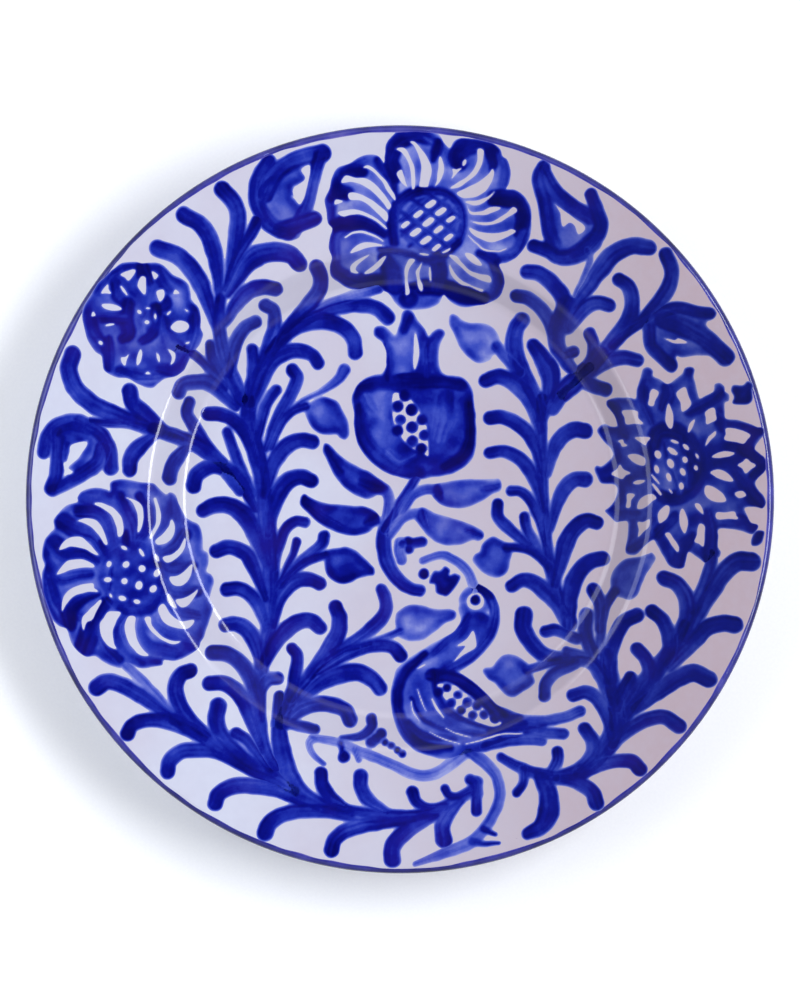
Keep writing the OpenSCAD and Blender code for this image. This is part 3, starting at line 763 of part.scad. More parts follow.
module basket_flower_shape() {
    difference() {
        pool([[-116, 6.5], [-113.5, 7.7], [-109, 7.8], [-105, 6.8], [-102.5, 6.5], [-99, 6.3],
            [-97, 4.5], [-94, 2], [-92.3, 2.8], [-90.3, 1.5], [-89, -2], [-86.5, -7], [-84, -8.7],
            [-81, -10.5], [-79.5, -15], [-79.3, -20], [-77.3, -22], [-77.2, -26], [-77.8, -29],
            [-75.8, -30.5], [-75, -33], [-76, -37], [-76.5, -40], [-75.2, -43.5], [-76.8, -49],
            [-78.5, -55], [-80, -57.3], [-81, -59.7], [-85, -62.5], [-90, -64.5], [-94.6, -64.3],
            [-95.3, -66.4], [-99, -67], [-103, -67.6], [-107, -66.5], [-109, -66], [-111.5, -67.3],
            [-115, -66.8], [-119, -64.8], [-122, -62.6], [-125.5, -62.8], [-129, -60.5],
            [-131.5, -57], [-133.3, -52], [-136.5, -50.5], [-139.5, -47], [-141.8, -41],
            [-143.3, -36], [-143.2, -30], [-142, -26.5], [-143.2, -22.5], [-142.3, -17],
            [-140, -13.5], [-138.3, -11.7], [-138.6, -8.5], [-136.5, -5.5], [-133.5, -2.5],
            [-129, -1.2], [-128.8, 1], [-127, 3.2], [-122, 4.5], [-118, 4], [-116.3, 3.5]]);
        pool([[-110, 0.7], [-107, -1.5], [-105.5, -5], [-105, -9], [-104.9, -13.3],
            [-103.6, -11.5], [-102.8, -7.5], [-103.4, -3], [-105.5, -0.8]]);
        brush([1.08, 1.8, 1.08], [[-98.3, 0], [-97, -4.5], [-97.2, -10], [-100, -15.3]]);
        pool([[-91.8, -8], [-90.5, -11], [-91, -14.5], [-93.5, -17.5], [-97, -18.3], [-98, -16.5],
            [-95, -14], [-92.8, -11]]);
        pool([[-86.5, -15.5], [-86.3, -19], [-88.5, -22.5], [-91.5, -24.8], [-94, -25.2],
            [-95, -23.2], [-91.5, -22.3], [-88.5, -19.5]]);
        pool([[-83.5, -26], [-83.8, -29.5], [-85.5, -33], [-88, -34.7], [-91, -34.3],
            [-92.5, -31.2], [-89.5, -30.8], [-86.5, -28.8]]);
        pool([[-81.3, -36.3], [-83, -40], [-85.5, -42.8], [-88, -43.2], [-89.8, -40.5],
            [-87, -39.8], [-84, -38.5]]);
        pool([[-82.7, -48.5], [-84.5, -51.5], [-87.5, -51.8], [-92, -50.8], [-95.5, -48],
            [-97, -44], [-94.8, -42], [-92, -46], [-88, -48.8]]);
        pool([[-93, -37.8], [-90.8, -40.5], [-89.5, -43.8], [-92, -42.5], [-93.3, -40]]);
        pool([[-88, -57], [-91, -58], [-95, -56.5], [-99.5, -53], [-102, -49], [-102.2, -47.5],
            [-100, -47.3], [-99.3, -50.5], [-96.5, -54], [-92.5, -56.5]]);
        pool([[-100.7, -62.5], [-104.5, -62], [-108.5, -57.5], [-110.2, -52], [-109.3, -48],
            [-107.8, -46.8], [-106, -47.5], [-106.3, -52], [-104.8, -57.5], [-102.5, -60.5]]);
        pool([[-113.5, -60], [-117, -58.3], [-119.5, -54.5], [-120, -50], [-118.5, -47.5],
            [-116.3, -44.9], [-112, -45.5], [-113.5, -48.5], [-115, -53], [-114.5, -57.5]]);
        pool([[-127, -47], [-124.5, -44.5], [-120.3, -40.5], [-119.5, -41], [-121, -43.5],
            [-123.2, -48], [-125.5, -49.3], [-126.5, -52.5], [-127.2, -50]]);
        pool([[-135.2, -44.7], [-134.5, -39], [-131, -35.5], [-126, -34], [-123, -33.7],
            [-122.5, -35.5], [-121, -37], [-126, -37.2], [-130.5, -38.8], [-133.5, -42]]);
        pool([[-137.3, -30], [-135, -26.5], [-131.5, -24.3], [-127, -24.2], [-123, -26],
            [-122.7, -27.4], [-127, -27.3], [-132, -28.2], [-135, -29.5]]);
        pool([[-136.3, -20], [-134, -16.5], [-130.5, -15], [-127, -15.6], [-123.5, -19],
            [-120.8, -21.8], [-121.5, -22.2], [-126, -19.9], [-131, -18.8], [-134, -19.7]]);
        pool([[-129, -8.7], [-126, -7.6], [-122, -8.3], [-119, -12], [-117.3, -17.5],
            [-118.3, -18.1], [-120.5, -14.5], [-124, -10.8], [-127.5, -9.2]]);
        pool([[-122.5, -1.7], [-119.5, -1.4], [-115, -3.5], [-111.5, -7.5], [-110.8, -11.5],
            [-111.5, -14.5], [-113, -14.8], [-113.5, -11], [-115.5, -6.5], [-119, -3.5]]);
        oval([-110.5, -19.5], 2.6, 1.3, -35);
        brush([0.9, 1.5, 0.9], [[-104.3, -20.3], [-103, -22.4]]);
        brush([0.96, 1.6, 0.96], [[-98, -22.4], [-97, -24.6]]);
        oval([-116.5, -26], 2, 2.2, -10);
        oval([-109.8, -26.2], 2.4, 2.6, -14);
        oval([-103.4, -27.8], 2.8, 2.6, -14);
        oval([-97.4, -29.6], 2.4, 3, -14);
        oval([-117, -32.3], 3, 1.8, 0);
        oval([-110.5, -32.8], 2.4, 2.4, -10);
        oval([-104.5, -34.5], 2.8, 3.4, -10);
        oval([-98.9, -35.9], 2.6, 3.2, -25);
        oval([-115.8, -38.6], 0.9, 1.8, 30);
        oval([-111.3, -39.6], 3, 1.9, -14);
        oval([-105.4, -40.9], 2.6, 1.7, -12);
    }
}

module sunflower_shape() {
    difference() {
        pool([[96.8, 50.5], [97.5, 52.3], [99.5, 52.7], [101.2, 51.3], [101.5, 49.3], [104, 48],
            [107, 46.2], [110, 47.8], [113, 50], [114, 52.5], [116, 53], [117.8, 51.8],
            [117.6, 48.5], [118.8, 44], [120, 40.3], [123, 41.8], [125.5, 43.3], [126, 45.8],
            [128, 46.3], [129.8, 45], [130, 43.2], [131.6, 41.8], [131.5, 39.5], [130, 38.5],
            [130, 35], [130.5, 32.2], [135, 31.8], [140, 30.2], [143, 28.9], [145, 28.8],
            [145.6, 26.5], [145.1, 25.2], [143.3, 23], [142, 20.3], [144, 18.2], [145.8, 16.8],
            [146.6, 15], [146.6, 12.8], [145.5, 10.5], [142, 6.8], [143.5, 3.5], [145.5, 1],
            [146.2, -1.5], [145, -3.6], [143, -3.2], [141, -3], [137.8, -3.5], [139, -6.5],
            [140.5, -9.2], [143, -10.2], [143.4, -11.3], [142.3, -13.2], [140.8, -14],
            [137, -12.8], [133, -12], [127.8, -11.8], [127.3, -15], [127.2, -19], [128.3, -21],
            [127.8, -23], [126, -24.2], [124.3, -26], [122.2, -25.5], [119, -23], [115.7, -21.2],
            [114.5, -25], [113.5, -27.3], [111, -27.7], [108, -26.5], [105.5, -22.5], [103, -18.5],
            [101.5, -16.3], [98, -18.7], [95, -21.7], [93, -22.3], [91, -21.7], [90.5, -20],
            [91.5, -15], [91.5, -9.2], [89, -8.8], [87, -9.3], [85, -7.5], [83, -5.5],
            [82.5, -4.5], [84.5, -3], [86.5, 0], [87.5, 4], [86, 6], [83, 6.2], [80.5, 6.8],
            [79.3, 9], [78.3, 12], [79, 13.5], [81, 13.2], [83.5, 15], [85.8, 17.5], [85, 20],
            [82.5, 22.5], [80.5, 25], [79.3, 27.5], [80.5, 29.3], [82.5, 30], [84.5, 29.2],
            [87, 29.3], [87, 31], [86, 34], [84.3, 36], [83, 37.5], [83.3, 39.7], [86, 40.5],
            [91, 40.7], [94.5, 40.2], [95, 44], [96.3, 48.5]]);
        pool([[101.5, 44.2], [103.7, 42.8], [102.2, 39.8], [101.4, 37.5], [99.6, 38], [99.8, 40.5],
            [100.3, 42.8]]);
        pool([[114.2, 44.8], [110.7, 42.4], [112.4, 38.7], [113.2, 35.1], [116.5, 37.8],
            [115.5, 41]]);
        pool([[107.6, 38.3], [106.6, 35.5], [106.4, 31.8], [107.5, 29], [108.9, 28.6],
            [109.4, 31.5], [109, 35]]);
        pool([[89.4, 35.6], [95, 35.2], [95.5, 32.5], [97.4, 30.2], [94, 30.4], [90.8, 30.3],
            [90.2, 33]]);
        pool([[94.2, 24.8], [100, 24.8], [99, 22.8], [98.4, 21.6], [96, 23.2]]);
        pool([[87.5, 23.3], [89.4, 24], [90, 22.5], [91.2, 21.5], [89.3, 21.1], [88.5, 22.6]]);
        pool([[91.5, 17.5], [93, 18.2], [95.5, 18], [98, 16.4], [98, 13.8], [96, 13.8], [93.5, 15],
            [92.3, 16.2]]);
        pool([[85, 10.3], [87.2, 12.3], [88.3, 13.9], [89.8, 12], [92.3, 10.7], [90.8, 9.7],
            [89.4, 8.2], [87.5, 8.9]]);
        pool([[93.5, 6.6], [95.5, 7.6], [98.4, 7.5], [96.6, 6.2], [94.6, 6]]);
        pool([[91.4, 2.2], [94.2, 1.9], [92.8, -0.5], [92.3, -3.2], [90.7, -3.2], [91.3, -0.5]]);
        pool([[95.3, -3.6], [96, -0.6], [98, 1.2], [101, 2], [102.7, 0.5], [101, -0.8], [99, -2.8],
            [97, -3.9]]);
        pool([[95.4, -9.3], [97.5, -9.2], [100, -8], [99.7, -11], [97.5, -13], [95.7, -15],
            [95.8, -12]]);
        pool([[103.5, -6], [104.3, -4.2], [106.5, -2.5], [108, -3], [107.7, -5.5], [106.3, -8.3],
            [104.3, -9.6], [103.6, -8]]);
        pool([[112.5, -4.3], [113.6, -4.2], [115, -7], [115.2, -10.5], [114.2, -13.6],
            [112.6, -11.5], [111.9, -8.5]]);
        pool([[118.2, -1.7], [119.8, -2], [121, -4], [121.3, -6], [119.8, -4.8], [118.3, -3]]);
        pool([[126.7, -5.4], [130, -5.2], [133.8, -4.9], [134.6, -6.5], [135.2, -7.9],
            [131.5, -7.7], [127, -7.9]]);
        pool([[122, 3], [122.5, 5.2], [124.5, 5.3], [127.5, 3.5], [129.5, 2], [130.6, -0.5],
            [128, -1.1], [125, -0.6], [122.8, 1]]);
        pool([[124.3, 10.6], [126.3, 11.6], [129, 11.5], [131.5, 10], [133.5, 7.5], [131, 7.3],
            [128, 8.2], [126, 9.3]]);
        pool([[125, 17], [127, 18.5], [130, 19.1], [133.8, 18.5], [132, 17.3], [129.5, 16.8],
            [127.5, 16.7]]);
        pool([[135.2, 13.6], [137, 14.8], [138.7, 16.2], [140.4, 14.8], [142.2, 13.6],
            [140.4, 12.2], [138.5, 10.4], [137, 12.2]]);
        pool([[134, 2.4], [136.8, 3.4], [138.4, 1.6], [137, 0.9], [135.3, 0.8]]);
        pool([[130.5, 28.2], [133, 28.3], [137, 27.4], [140, 25.8], [138.8, 24], [137.4, 22.3],
            [134.5, 23], [130.2, 23.8], [130.6, 26]]);
        pool([[122.4, 21.5], [124.4, 23.8], [126.2, 25.6], [126.5, 27.2], [125, 26.2],
            [123.4, 24.6]]);
        pool([[122.2, 34.8], [125.7, 36.6], [126.2, 34], [126.6, 32], [124.6, 30.8], [122.8, 30.2],
            [122.5, 32.5]]);
        pool([[115.3, 28], [116, 30.3], [118, 31.9], [117.5, 29.8], [116.4, 27.8], [115.5, 26.9]]);
        pool([[119.5, -11], [120.3, -9.8], [122, -11], [121.9, -14.5], [121.6, -18.8],
            [120, -17.8], [118, -16.8], [119, -14]]);
        pool([[106.3, -13.8], [108, -13.4], [109.3, -15.5], [111.6, -18.8], [111.3, -21.2],
            [109.3, -18.8], [107.5, -16]]);
        oval([103.4, 17.8], 2.4, 3.2, 18);
        brush([1.2, 2, 1.2], [[107.8, 20.2], [110.6, 18.2]]);
        brush([0.96, 1.6, 0.96], [[113.8, 21.6], [115.3, 20.2]]);
        oval([108.4, 14.4], 2.4, 3.8, 24);
        oval([102.9, 12], 1.8, 3.2, 20);
        oval([107.8, 8.7], 1.8, 3.4, 18);
        oval([113.3, 11], 2, 3, 20);
        oval([112.7, 5.3], 1.9, 2.6, 10);
        oval([114.2, 15.8], 2, 2.4, 30);
        oval([118.6, 12.6], 1.3, 1.9, 20);
        brush([0.72, 1.2, 0.72], [[108.9, 23.4], [111.2, 22.6]]);
        oval([119, 17.2], 0.9, 1.8, 25);
        brush([0.48, 0.8, 0.48], [[101, 9.8], [103.7, 6.3]]);
        brush([0.66, 1.1, 0.66], [[101.3, 6], [104.4, 1.9]]);
        brush([0.42, 0.7, 0.42], [[107.7, 4], [108.8, 2.6]]);
    }
}

module clover_shape() {
    pool([[132.5, 43.5], [133.5, 45.5], [137, 45.6], [139, 47.3], [141, 46], [141, 43.5],
        [141, 40], [139.5, 38.2], [136, 37.7], [133, 38.5], [133.5, 41]]);
    pool([[141.5, -14], [143.3, -12.6], [145.4, -12.6], [145.8, -14], [145, -17], [143.2, -18.6],
        [141, -18.6], [140.5, -17]]);
}

// ---------- the painted nodes, each kept clear of what was painted before it ----------

module left_frond() {
    painted() left_frond_shape();
}

module right_frond() {
    painted()
        difference() {
            right_frond_shape();
            carnation_shape();
        }
}

module bottom_frond() {
    painted()
        difference() {
            bottom_frond_shape();
            left_frond_shape();
        }
}

module pomegranate() {
    painted() pomegranate_shape();
}

module bird() {
    painted()
        difference() {
            bird_shape();
            right_frond_shape();
        }
}

module carnation() {
    painted()
        difference() {
            carnation_shape();
            left_frond_shape();
        }
}

module sunflower() {
    painted() sunflower_shape();
}

module basket_flower() {
    painted() basket_flower_shape();
}

module rosette() {
    painted() rosette_shape();
}

module upper_left_tulip() {
    painted() upper_left_tulip_shape();
}

module left_tulip() {
    painted() left_tulip_shape();
}

module upper_right_tulip() {
    painted() upper_right_tulip_shape();
}

module right_tulip() {
    painted() right_tulip_shape();
}

module upper_left_spray() {
    painted()
        difference() {
            upper_left_spray_shape();
            left_frond_shape();
            upper_left_tulip_shape();
            rosette_shape();
        }
}

module left_spray() {
    painted()
        difference() {
            left_spray_shape();
            left_frond_shape();
            left_tulip_shape();
            upper_left_spray_shape();
        }
}

module lower_left_spray() {
    painted()
        difference() {
            lower_left_spray_shape();
            bottom_frond_shape();
            left_frond_shape();
            basket_flower_shape();
        }
}

module center_lower_spray() {
    painted()
        difference() {
            center_lower_spray_shape();
            left_frond_shape();
            bottom_frond_shape();
            bird_shape();
        }
}

module upper_right_spray() {
    painted()
        difference() {
            upper_right_spray_shape();
            right_frond_shape();
            upper_right_tulip_shape();
            right_tulip_shape();
        }
}

module lower_right_spray() {
    painted()
        difference() {
            lower_right_spray_shape();
            right_frond_shape();
            sunflower_shape();
            upper_right_spray_shape();
        }
}

module pomegranate_sprig() {
    painted()
        difference() {
            pomegranate_sprig_shape();
            pomegranate_shape();
        }
}

module bird_plume() {
    painted()
        difference() {
            bird_plume_shape();
            bird_shape();
        }
}

module bird_stems() {
    painted()
        difference() {
            bird_stems_shape();
            bird_shape();
            bottom_frond_shape();
            left_frond_shape();
            center_lower_spray_shape();
        }
}

module clover() {
    painted() clover_shape();
}

clay_body();
foot_ring();
face_glaze();
back_glaze();
base_glaze();
rim_line();
left_frond();
right_frond();
bottom_frond();
pomegranate();
bird();
carnation();
sunflower();
basket_flower();
rosette();
upper_left_tulip();
left_tulip();
upper_right_tulip();
right_tulip();
upper_left_spray();
left_spray();
lower_left_spray();
center_lower_spray();
upper_right_spray();
lower_right_spray();
pomegranate_sprig();
bird_plume();
bird_stems();
clover();
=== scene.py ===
"""Looks of the hand painted plate: a glazed earthenware dish with its painting as separate coats of cobalt.

All places in the painting are in millimetres from the centre of the plate, with +X to the right and +Y to
the top of the painting. Meshes are built in millimetres and stored in metres.
"""

import bpy
import numpy as np
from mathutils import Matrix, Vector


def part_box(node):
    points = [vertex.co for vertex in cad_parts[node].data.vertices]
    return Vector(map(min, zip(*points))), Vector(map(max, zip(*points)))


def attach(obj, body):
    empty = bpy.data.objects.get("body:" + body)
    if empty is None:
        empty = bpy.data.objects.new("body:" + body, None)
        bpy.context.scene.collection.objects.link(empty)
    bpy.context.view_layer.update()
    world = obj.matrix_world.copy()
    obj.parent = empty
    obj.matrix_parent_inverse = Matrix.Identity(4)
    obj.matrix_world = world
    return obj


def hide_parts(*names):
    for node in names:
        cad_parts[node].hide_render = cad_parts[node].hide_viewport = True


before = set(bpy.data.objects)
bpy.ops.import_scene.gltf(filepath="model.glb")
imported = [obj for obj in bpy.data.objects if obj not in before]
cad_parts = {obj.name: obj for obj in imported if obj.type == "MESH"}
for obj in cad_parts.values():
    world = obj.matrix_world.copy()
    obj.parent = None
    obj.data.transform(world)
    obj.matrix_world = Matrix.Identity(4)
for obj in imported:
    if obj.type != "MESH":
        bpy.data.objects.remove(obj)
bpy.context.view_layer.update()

MM = 0.001

# ---------- sizes, from the frame ----------


def box_mm(node):
    """Lowest and highest corner of a CAD node, in millimetres."""
    low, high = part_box(node)
    return [v / MM for v in low], [v / MM for v in high]


FACE_LOW, FACE_HIGH = box_mm("face_glaze")
CLAY_HIGH = box_mm("clay_body")[1]
FOOT_HIGH = box_mm("foot_ring")[1]
BASE_LOW, BASE_HIGH = box_mm("base_glaze")

CLAY_R = CLAY_HIGH[0]
GLAZE_T = FACE_HIGH[0] - CLAY_R
FLOOR_Z = FACE_LOW[2]
LIP_Z = CLAY_HIGH[2]
FOOT_H = FOOT_HIGH[2]
FOOT_R = FOOT_HIGH[0]
FOOT_INNER_R = BASE_HIGH[0]
WELL_R = 87.0            # where the wall starts
FLANGE_R = 100.5         # where the flange starts
FLANGE_Z = FLOOR_Z + 11.5
LIP_T = 4.8              # thickness of the lip
LIP_MID_Z = LIP_Z - LIP_T * 0.45
LINE_R = 147.2           # inner edge of the blue line round the lip
SKIN_GAP = 0.02          # air between the clay and the skin of glaze on it
WARP = 0.18              # how much the kiln warped the flange
FINGER_RINGS = (7.5, 0.03)       # spacing and half depth of the rings left by the potter's fingers
TURNING_RINGS = (4.6, 0.05)      # the same for the marks on the back
PAINT_LIFT = 0.05        # how much higher the middle of a stroke is than its edge
PAINT_EDGE = 0.02        # how far the edge of a stroke stands above the glaze
PAINT_ROOT = 0.04        # how deep a stroke is sunk into the glaze
PAINT_RISE = 1.6         # how far from its edge a stroke reaches its full height
TURNS = 600              # segments round the plate

# ---------- profiles ----------


def rounded(points, steps=14):
    """Points (r, z, corner radius) turned into a polyline with round corners."""
    line = []
    for i, (r, z, fillet) in enumerate(points):
        b = np.array([r, z])
        if fillet == 0:
            line.append(b)
            continue
        a = np.array(points[i - 1][:2])
        c = np.array(points[i + 1][:2])
        u = (a - b) / np.linalg.norm(a - b)
        v = (c - b) / np.linalg.norm(c - b)
        half = np.arccos(np.clip(u @ v, -1, 1)) / 2
        centre = b + (u + v) / np.linalg.norm(u + v) * fillet / np.sin(half)
        start = b + u * fillet / np.tan(half) - centre
        turn = np.sign((b - a)[0] * (c - b)[1] - (b - a)[1] * (c - b)[0])
        for t in np.linspace(0, np.pi - 2 * half, steps + 1) * turn:
            spin = np.array([[np.cos(t), -np.sin(t)], [np.sin(t), np.cos(t)]])
            line.append(centre + spin @ start)
    return np.array(line)


def filled(line, gap):
    """The polyline with points added so that no stretch is longer than gap."""
    out = [line[0]]
    for a, b in zip(line[:-1], line[1:]):
        n = max(1, int(np.ceil(np.linalg.norm(b - a) / gap)))
        out += [a + (b - a) * k / n for k in range(1, n + 1)]
    return np.array(out)


PRIME_X, PRIME_Y, PRIME_SEED, PRIME_MIX = 374761393, 668265263, 974711, 1274126177
KEEP_BITS = 0x7FFFFFFF


def hash_noise(x, y, seed):
    """Repeatable smooth noise between 0 and 1 over a plane."""
    def corner(i, j):
        h = (i.astype(np.int64) * PRIME_X + j.astype(np.int64) * PRIME_Y + seed * PRIME_SEED) & KEEP_BITS
        h = ((h ^ (h >> 13)) * PRIME_MIX) & KEEP_BITS
        return ((h ^ (h >> 16)) & 0xFFFF) / 0xFFFF

    i, j = np.floor(x), np.floor(y)
    u, v = x - i, y - j
    u, v = u * u * (3 - 2 * u), v * v * (3 - 2 * v)
    low = corner(i, j) * (1 - u) + corner(i + 1, j) * u
    high = corner(i, j + 1) * (1 - u) + corner(i + 1, j + 1) * u
    return low * (1 - v) + high * v


def smooth(low, high, value):
    """0 at low, 1 at high, with an even rise between them. Low may be the larger of the two."""
    t = np.clip((value - low) / (high - low), 0, 1)
    return t * t * (3 - 2 * t)


def warp(x, y):
    """A slight warp from the kiln: the flange sinks by up to half a millimetre in places."""
    around = np.arctan2(y, x)
    reach = smooth(WELL_R + 3, CLAY_R, np.hypot(x, y))
    return WARP * reach * (np.cos(2 * around + 0.6) + 0.5 * np.cos(3 * around - 1.1) - 1.5)


def thrown_rings(x, y):
    """The faint spiral of rings left by the potter's fingers."""
    r = np.hypot(x, y)
    spacing, depth = FINGER_RINGS
    spiral = r / spacing + np.arctan2(y, x) / (2 * np.pi)
    return depth * (np.sin(2 * np.pi * spiral) - 1) * smooth(4, 25, r) * smooth(147, 138, r)


def face_form(x, y):
    """How far the face stands above the even profile."""
    return warp(x, y) + thrown_rings(x, y)


def unit(v):
    return v / np.linalg.norm(v)


def shifted(points, d):
    """The profile points moved by d to the left of their direction, as a coat of that thickness."""
    places = np.array([p[:2] for p in points], float)
    out = []
    for i, (r, z, fillet) in enumerate(points):
        after = unit(places[min(i + 1, len(points) - 1)] - places[min(i, len(points) - 2)])
        before = unit(places[max(i, 1)] - places[max(i - 1, 0)])
        n1 = np.array([-before[1], before[0]])
        n2 = np.array([-after[1], after[0]])
        place = places[i] + d * (n1 + n2) / (1 + n1 @ n2)
        turn = np.sign(before[0] * after[1] - before[1] * after[0])
        out.append((place[0], place[1], fillet - turn * d if fillet else 0))
    return out


FACE_POINTS = [
    (0, FLOOR_Z, 0),
    (WELL_R, FLOOR_Z, 7),
    (FLANGE_R, FLANGE_Z, 6),
    (CLAY_R, LIP_Z, 2),
    (CLAY_R, LIP_MID_Z, 0),
]
BACK_POINTS = [
    (CLAY_R, LIP_MID_Z, 0),
    (CLAY_R, LIP_Z - LIP_T, 2),
    (FLANGE_R + 4.5, FLANGE_Z - 5, 8),
    (WELL_R + 6, FOOT_H, 7),
    (FOOT_R, FOOT_H, 0),
]

# the outside of each skin of glaze, and its inside, which the clay core repeats
FACE_LINE = filled(rounded(shifted(FACE_POINTS, GLAZE_T)), 1.2)
FACE_UNDER = filled(rounded(shifted(FACE_POINTS, SKIN_GAP)), 6)
BACK_LINE = filled(rounded(shifted(BACK_POINTS, GLAZE_T)), 1.5)
BACK_UNDER = filled(rounded(shifted(BACK_POINTS, SKIN_GAP)), 2)
FACE_TO_TOP = FACE_LINE[: int(np.argmax(FACE_LINE[:, 1])) + 1]


def face_z(x, y):
    """Height of the glaze on the face."""
    return np.interp(np.hypot(x, y), FACE_TO_TOP[:, 0], FACE_TO_TOP[:, 1]) + face_form(x, y)


# ---------- meshes ----------

SHARP = 38           # angle between two faces, in degrees, above which their edge is sharp


def new_mesh(name, verts, faces, values=None):
    """An object from points in millimetres, faces given as arrays of indices, and values for its points."""
    mesh = bpy.data.meshes.new(name)
    mesh.vertices.add(len(verts))
    mesh.vertices.foreach_set("co", (np.asarray(verts, float) * MM).ravel())
    counts = np.concatenate([np.full(len(f), f.shape[1]) for f in faces])
    loops = np.concatenate([f.ravel() for f in faces])
    mesh.loops.add(len(loops))
    mesh.loops.foreach_set("vertex_index", loops.astype(np.int32))
    mesh.polygons.add(len(counts))
    mesh.polygons.foreach_set("loop_start", (np.cumsum(counts) - counts).astype(np.int32))
    mesh.update(calc_edges=True)
    mesh.validate()
    for key, value in (values or {}).items():
        attribute = mesh.attributes.new(key, "FLOAT", "POINT")
        attribute.data.foreach_set("value", np.asarray(value, np.float32))
    mesh.shade_smooth()
    mesh.set_sharp_from_angle(angle=np.radians(SHARP))
    obj = bpy.data.objects.new(name, mesh)
    bpy.context.scene.collection.objects.link(obj)
    return obj


def ring_quads(index):
    """The four-sided faces between neighbouring rows and columns of points, closed both ways round."""
    a, b = index, np.roll(index, -1, axis=0)
    return np.stack([a, b, np.roll(b, -1, axis=1), np.roll(a, -1, axis=1)], -1).reshape(-1, 4)


def lathe(name, line, shape, turns=TURNS):
    """A closed solid of revolution from a closed profile. Points on the axis are joined into one."""
    n = len(line)
    around = np.arange(turns) * 2 * np.pi / turns
    r, z = line[:, 0][:, None], line[:, 1][:, None]
    x, y = r * np.cos(around), r * np.sin(around)
    z = z + shape(x, y)
    verts = np.stack([x, y, z], -1).reshape(-1, 3)
    index = np.arange(n * turns).reshape(n, turns)
    for k in np.flatnonzero(line[:, 0] < 1e-6):
        index[k] = index[k, 0]
        verts[index[k, 0]] = (0, 0, z[k].mean())
    quads = ring_quads(index)
    same = quads == np.roll(quads, -1, axis=1)
    pinched = same.sum(1) == 1
    triangles = quads[pinched][~same[pinched]].reshape(-1, 3)
    quads = quads[same.sum(1) == 0]
    used = np.unique(np.concatenate([quads.ravel(), triangles.ravel()]))
    place = np.zeros(len(verts), int)
    place[used] = np.arange(len(used))
    faces = [place[quads]] + ([place[triangles]] if len(triangles) else [])
    return new_mesh(name, verts[used], faces)


# ---------- brush work ----------

PITCH = 0.5          # spacing of the grid on which the strokes are laid out
EDGE_SOFT = 0.9      # how far neighbouring strokes flow together
BLEED = 0.15         # how far cobalt spreads past the brush mark in the firing
SHAKE = 0.35         # how unsteady the edge of a stroke is
SHAKE_STEP = 3.1     # how far along an edge before it wavers the other way
FAR = 50.0           # distance from the paint at a place that no stroke has reached


def brush(widths, *path, tone=0.62):
    """A stroke, from its widths and its path. The tone is how dark it is, from 0 to 1."""
    return {"kind": "brush", "widths": widths, "path": path, "tone": tone}


def shade(widths, *path, tone):
    """A stroke inside painted ground: it changes how dark the ground is, not where it ends."""
    return {**brush(widths, *path, tone=tone), "shade": True}


def pool(*outline, tone=0.5):
    """An area filled with colour."""
    return {"kind": "pool", "path": outline, "tone": tone}


def dot(x, y, r, tone=0.7):
    """A touch of the tip of the brush."""
    return {"kind": "oval", "path": ((x, y),), "size": (2 * r, 2 * r), "turn": 0, "tone": tone}


def dots(*places):
    return [dot(*place) for place in places]


def gap(width, *path):
    """A sliver of white left between two strokes."""
    return {"kind": "brush", "widths": (width * 0.6, width, width * 0.6), "path": path, "bare": True}


def hole(x, y, w, h, turn=0):
    """A small oval of white left between strokes."""
    return {"kind": "oval", "path": ((x, y),), "size": (w, h), "turn": turn, "bare": True}


def holes(*places):
    return [hole(*place) for place in places]


def window(*outline):
    """White left inside a painted area."""
    return {"kind": "pool", "path": outline, "bare": True}


def windows(*outlines):
    return [window(*outline) for outline in outlines]


WEAVE_GAP = ((2.0, 0.6), (0.6, 1.5), (-2.0, -0.6), (-0.6, -1.5))     # outline of one white gap of the weave
WEAVE_COUNT = 4      # strokes on each side of the middle
WEAVE_SHORTEST = 4   # shorter strokes are left out


def weave(start, along, down, centre, reach):
    """Strokes that cross each other within a disc, and the white left between them.

    One gap lies at start, and its neighbours are one step along and one step down from it.
    """
    crossed, left = [], []
    for step, other in ((along, down), (down, along)):
        way = np.array(step) / np.hypot(*step)
        for k in np.arange(0.5 - WEAVE_COUNT, WEAVE_COUNT):
            foot = np.array(start) + k * np.array(other) - np.array(centre)
            foot = foot - way * (way @ foot)
            half = np.sqrt(max(reach ** 2 - foot @ foot, 0))
            if half > WEAVE_SHORTEST / 2:
                ends = [tuple(foot + centre + way * t) for t in (-half, 0, half)]
                crossed.append(shade((2, 2.6, 2), *ends, tone=0.56))
    for i in range(1 - WEAVE_COUNT, WEAVE_COUNT):
        for j in range(1 - WEAVE_COUNT, WEAVE_COUNT):
            x, y = np.array(start) + i * np.array(along) + j * np.array(down)
            if np.hypot(x - centre[0], y - centre[1]) < reach - 0.8:
                # no two gaps are quite the same size
                size = 1.04 + 0.14 * np.cos(i + 2 * j)
                left.append(window(*((x + u * size, y + v * size) for u, v in WEAVE_GAP)))
    return crossed + left


def spline(points, steps, closed=False):
    """A smooth curve through the points."""
    p = np.array(points, float)
    if closed:
        p = np.concatenate([p[-1:], p, p[:2]])
    else:
        p = np.concatenate([[2 * p[0] - p[1]], p, [2 * p[-1] - p[-2]]])
    t = (np.arange(steps) / steps)[:, None]
    out = []
    for a, b, c, d in zip(p[:-3], p[1:-2], p[2:-1], p[3:]):
        out.append((2 * b + (c - a) * t + (2 * a - 5 * b + 4 * c - d) * t ** 2
                    + (3 * b - a - 3 * c + d) * t ** 3) / 2)
    out = np.concatenate(out)
    return out if closed else np.concatenate([out, p[-2:-1]])


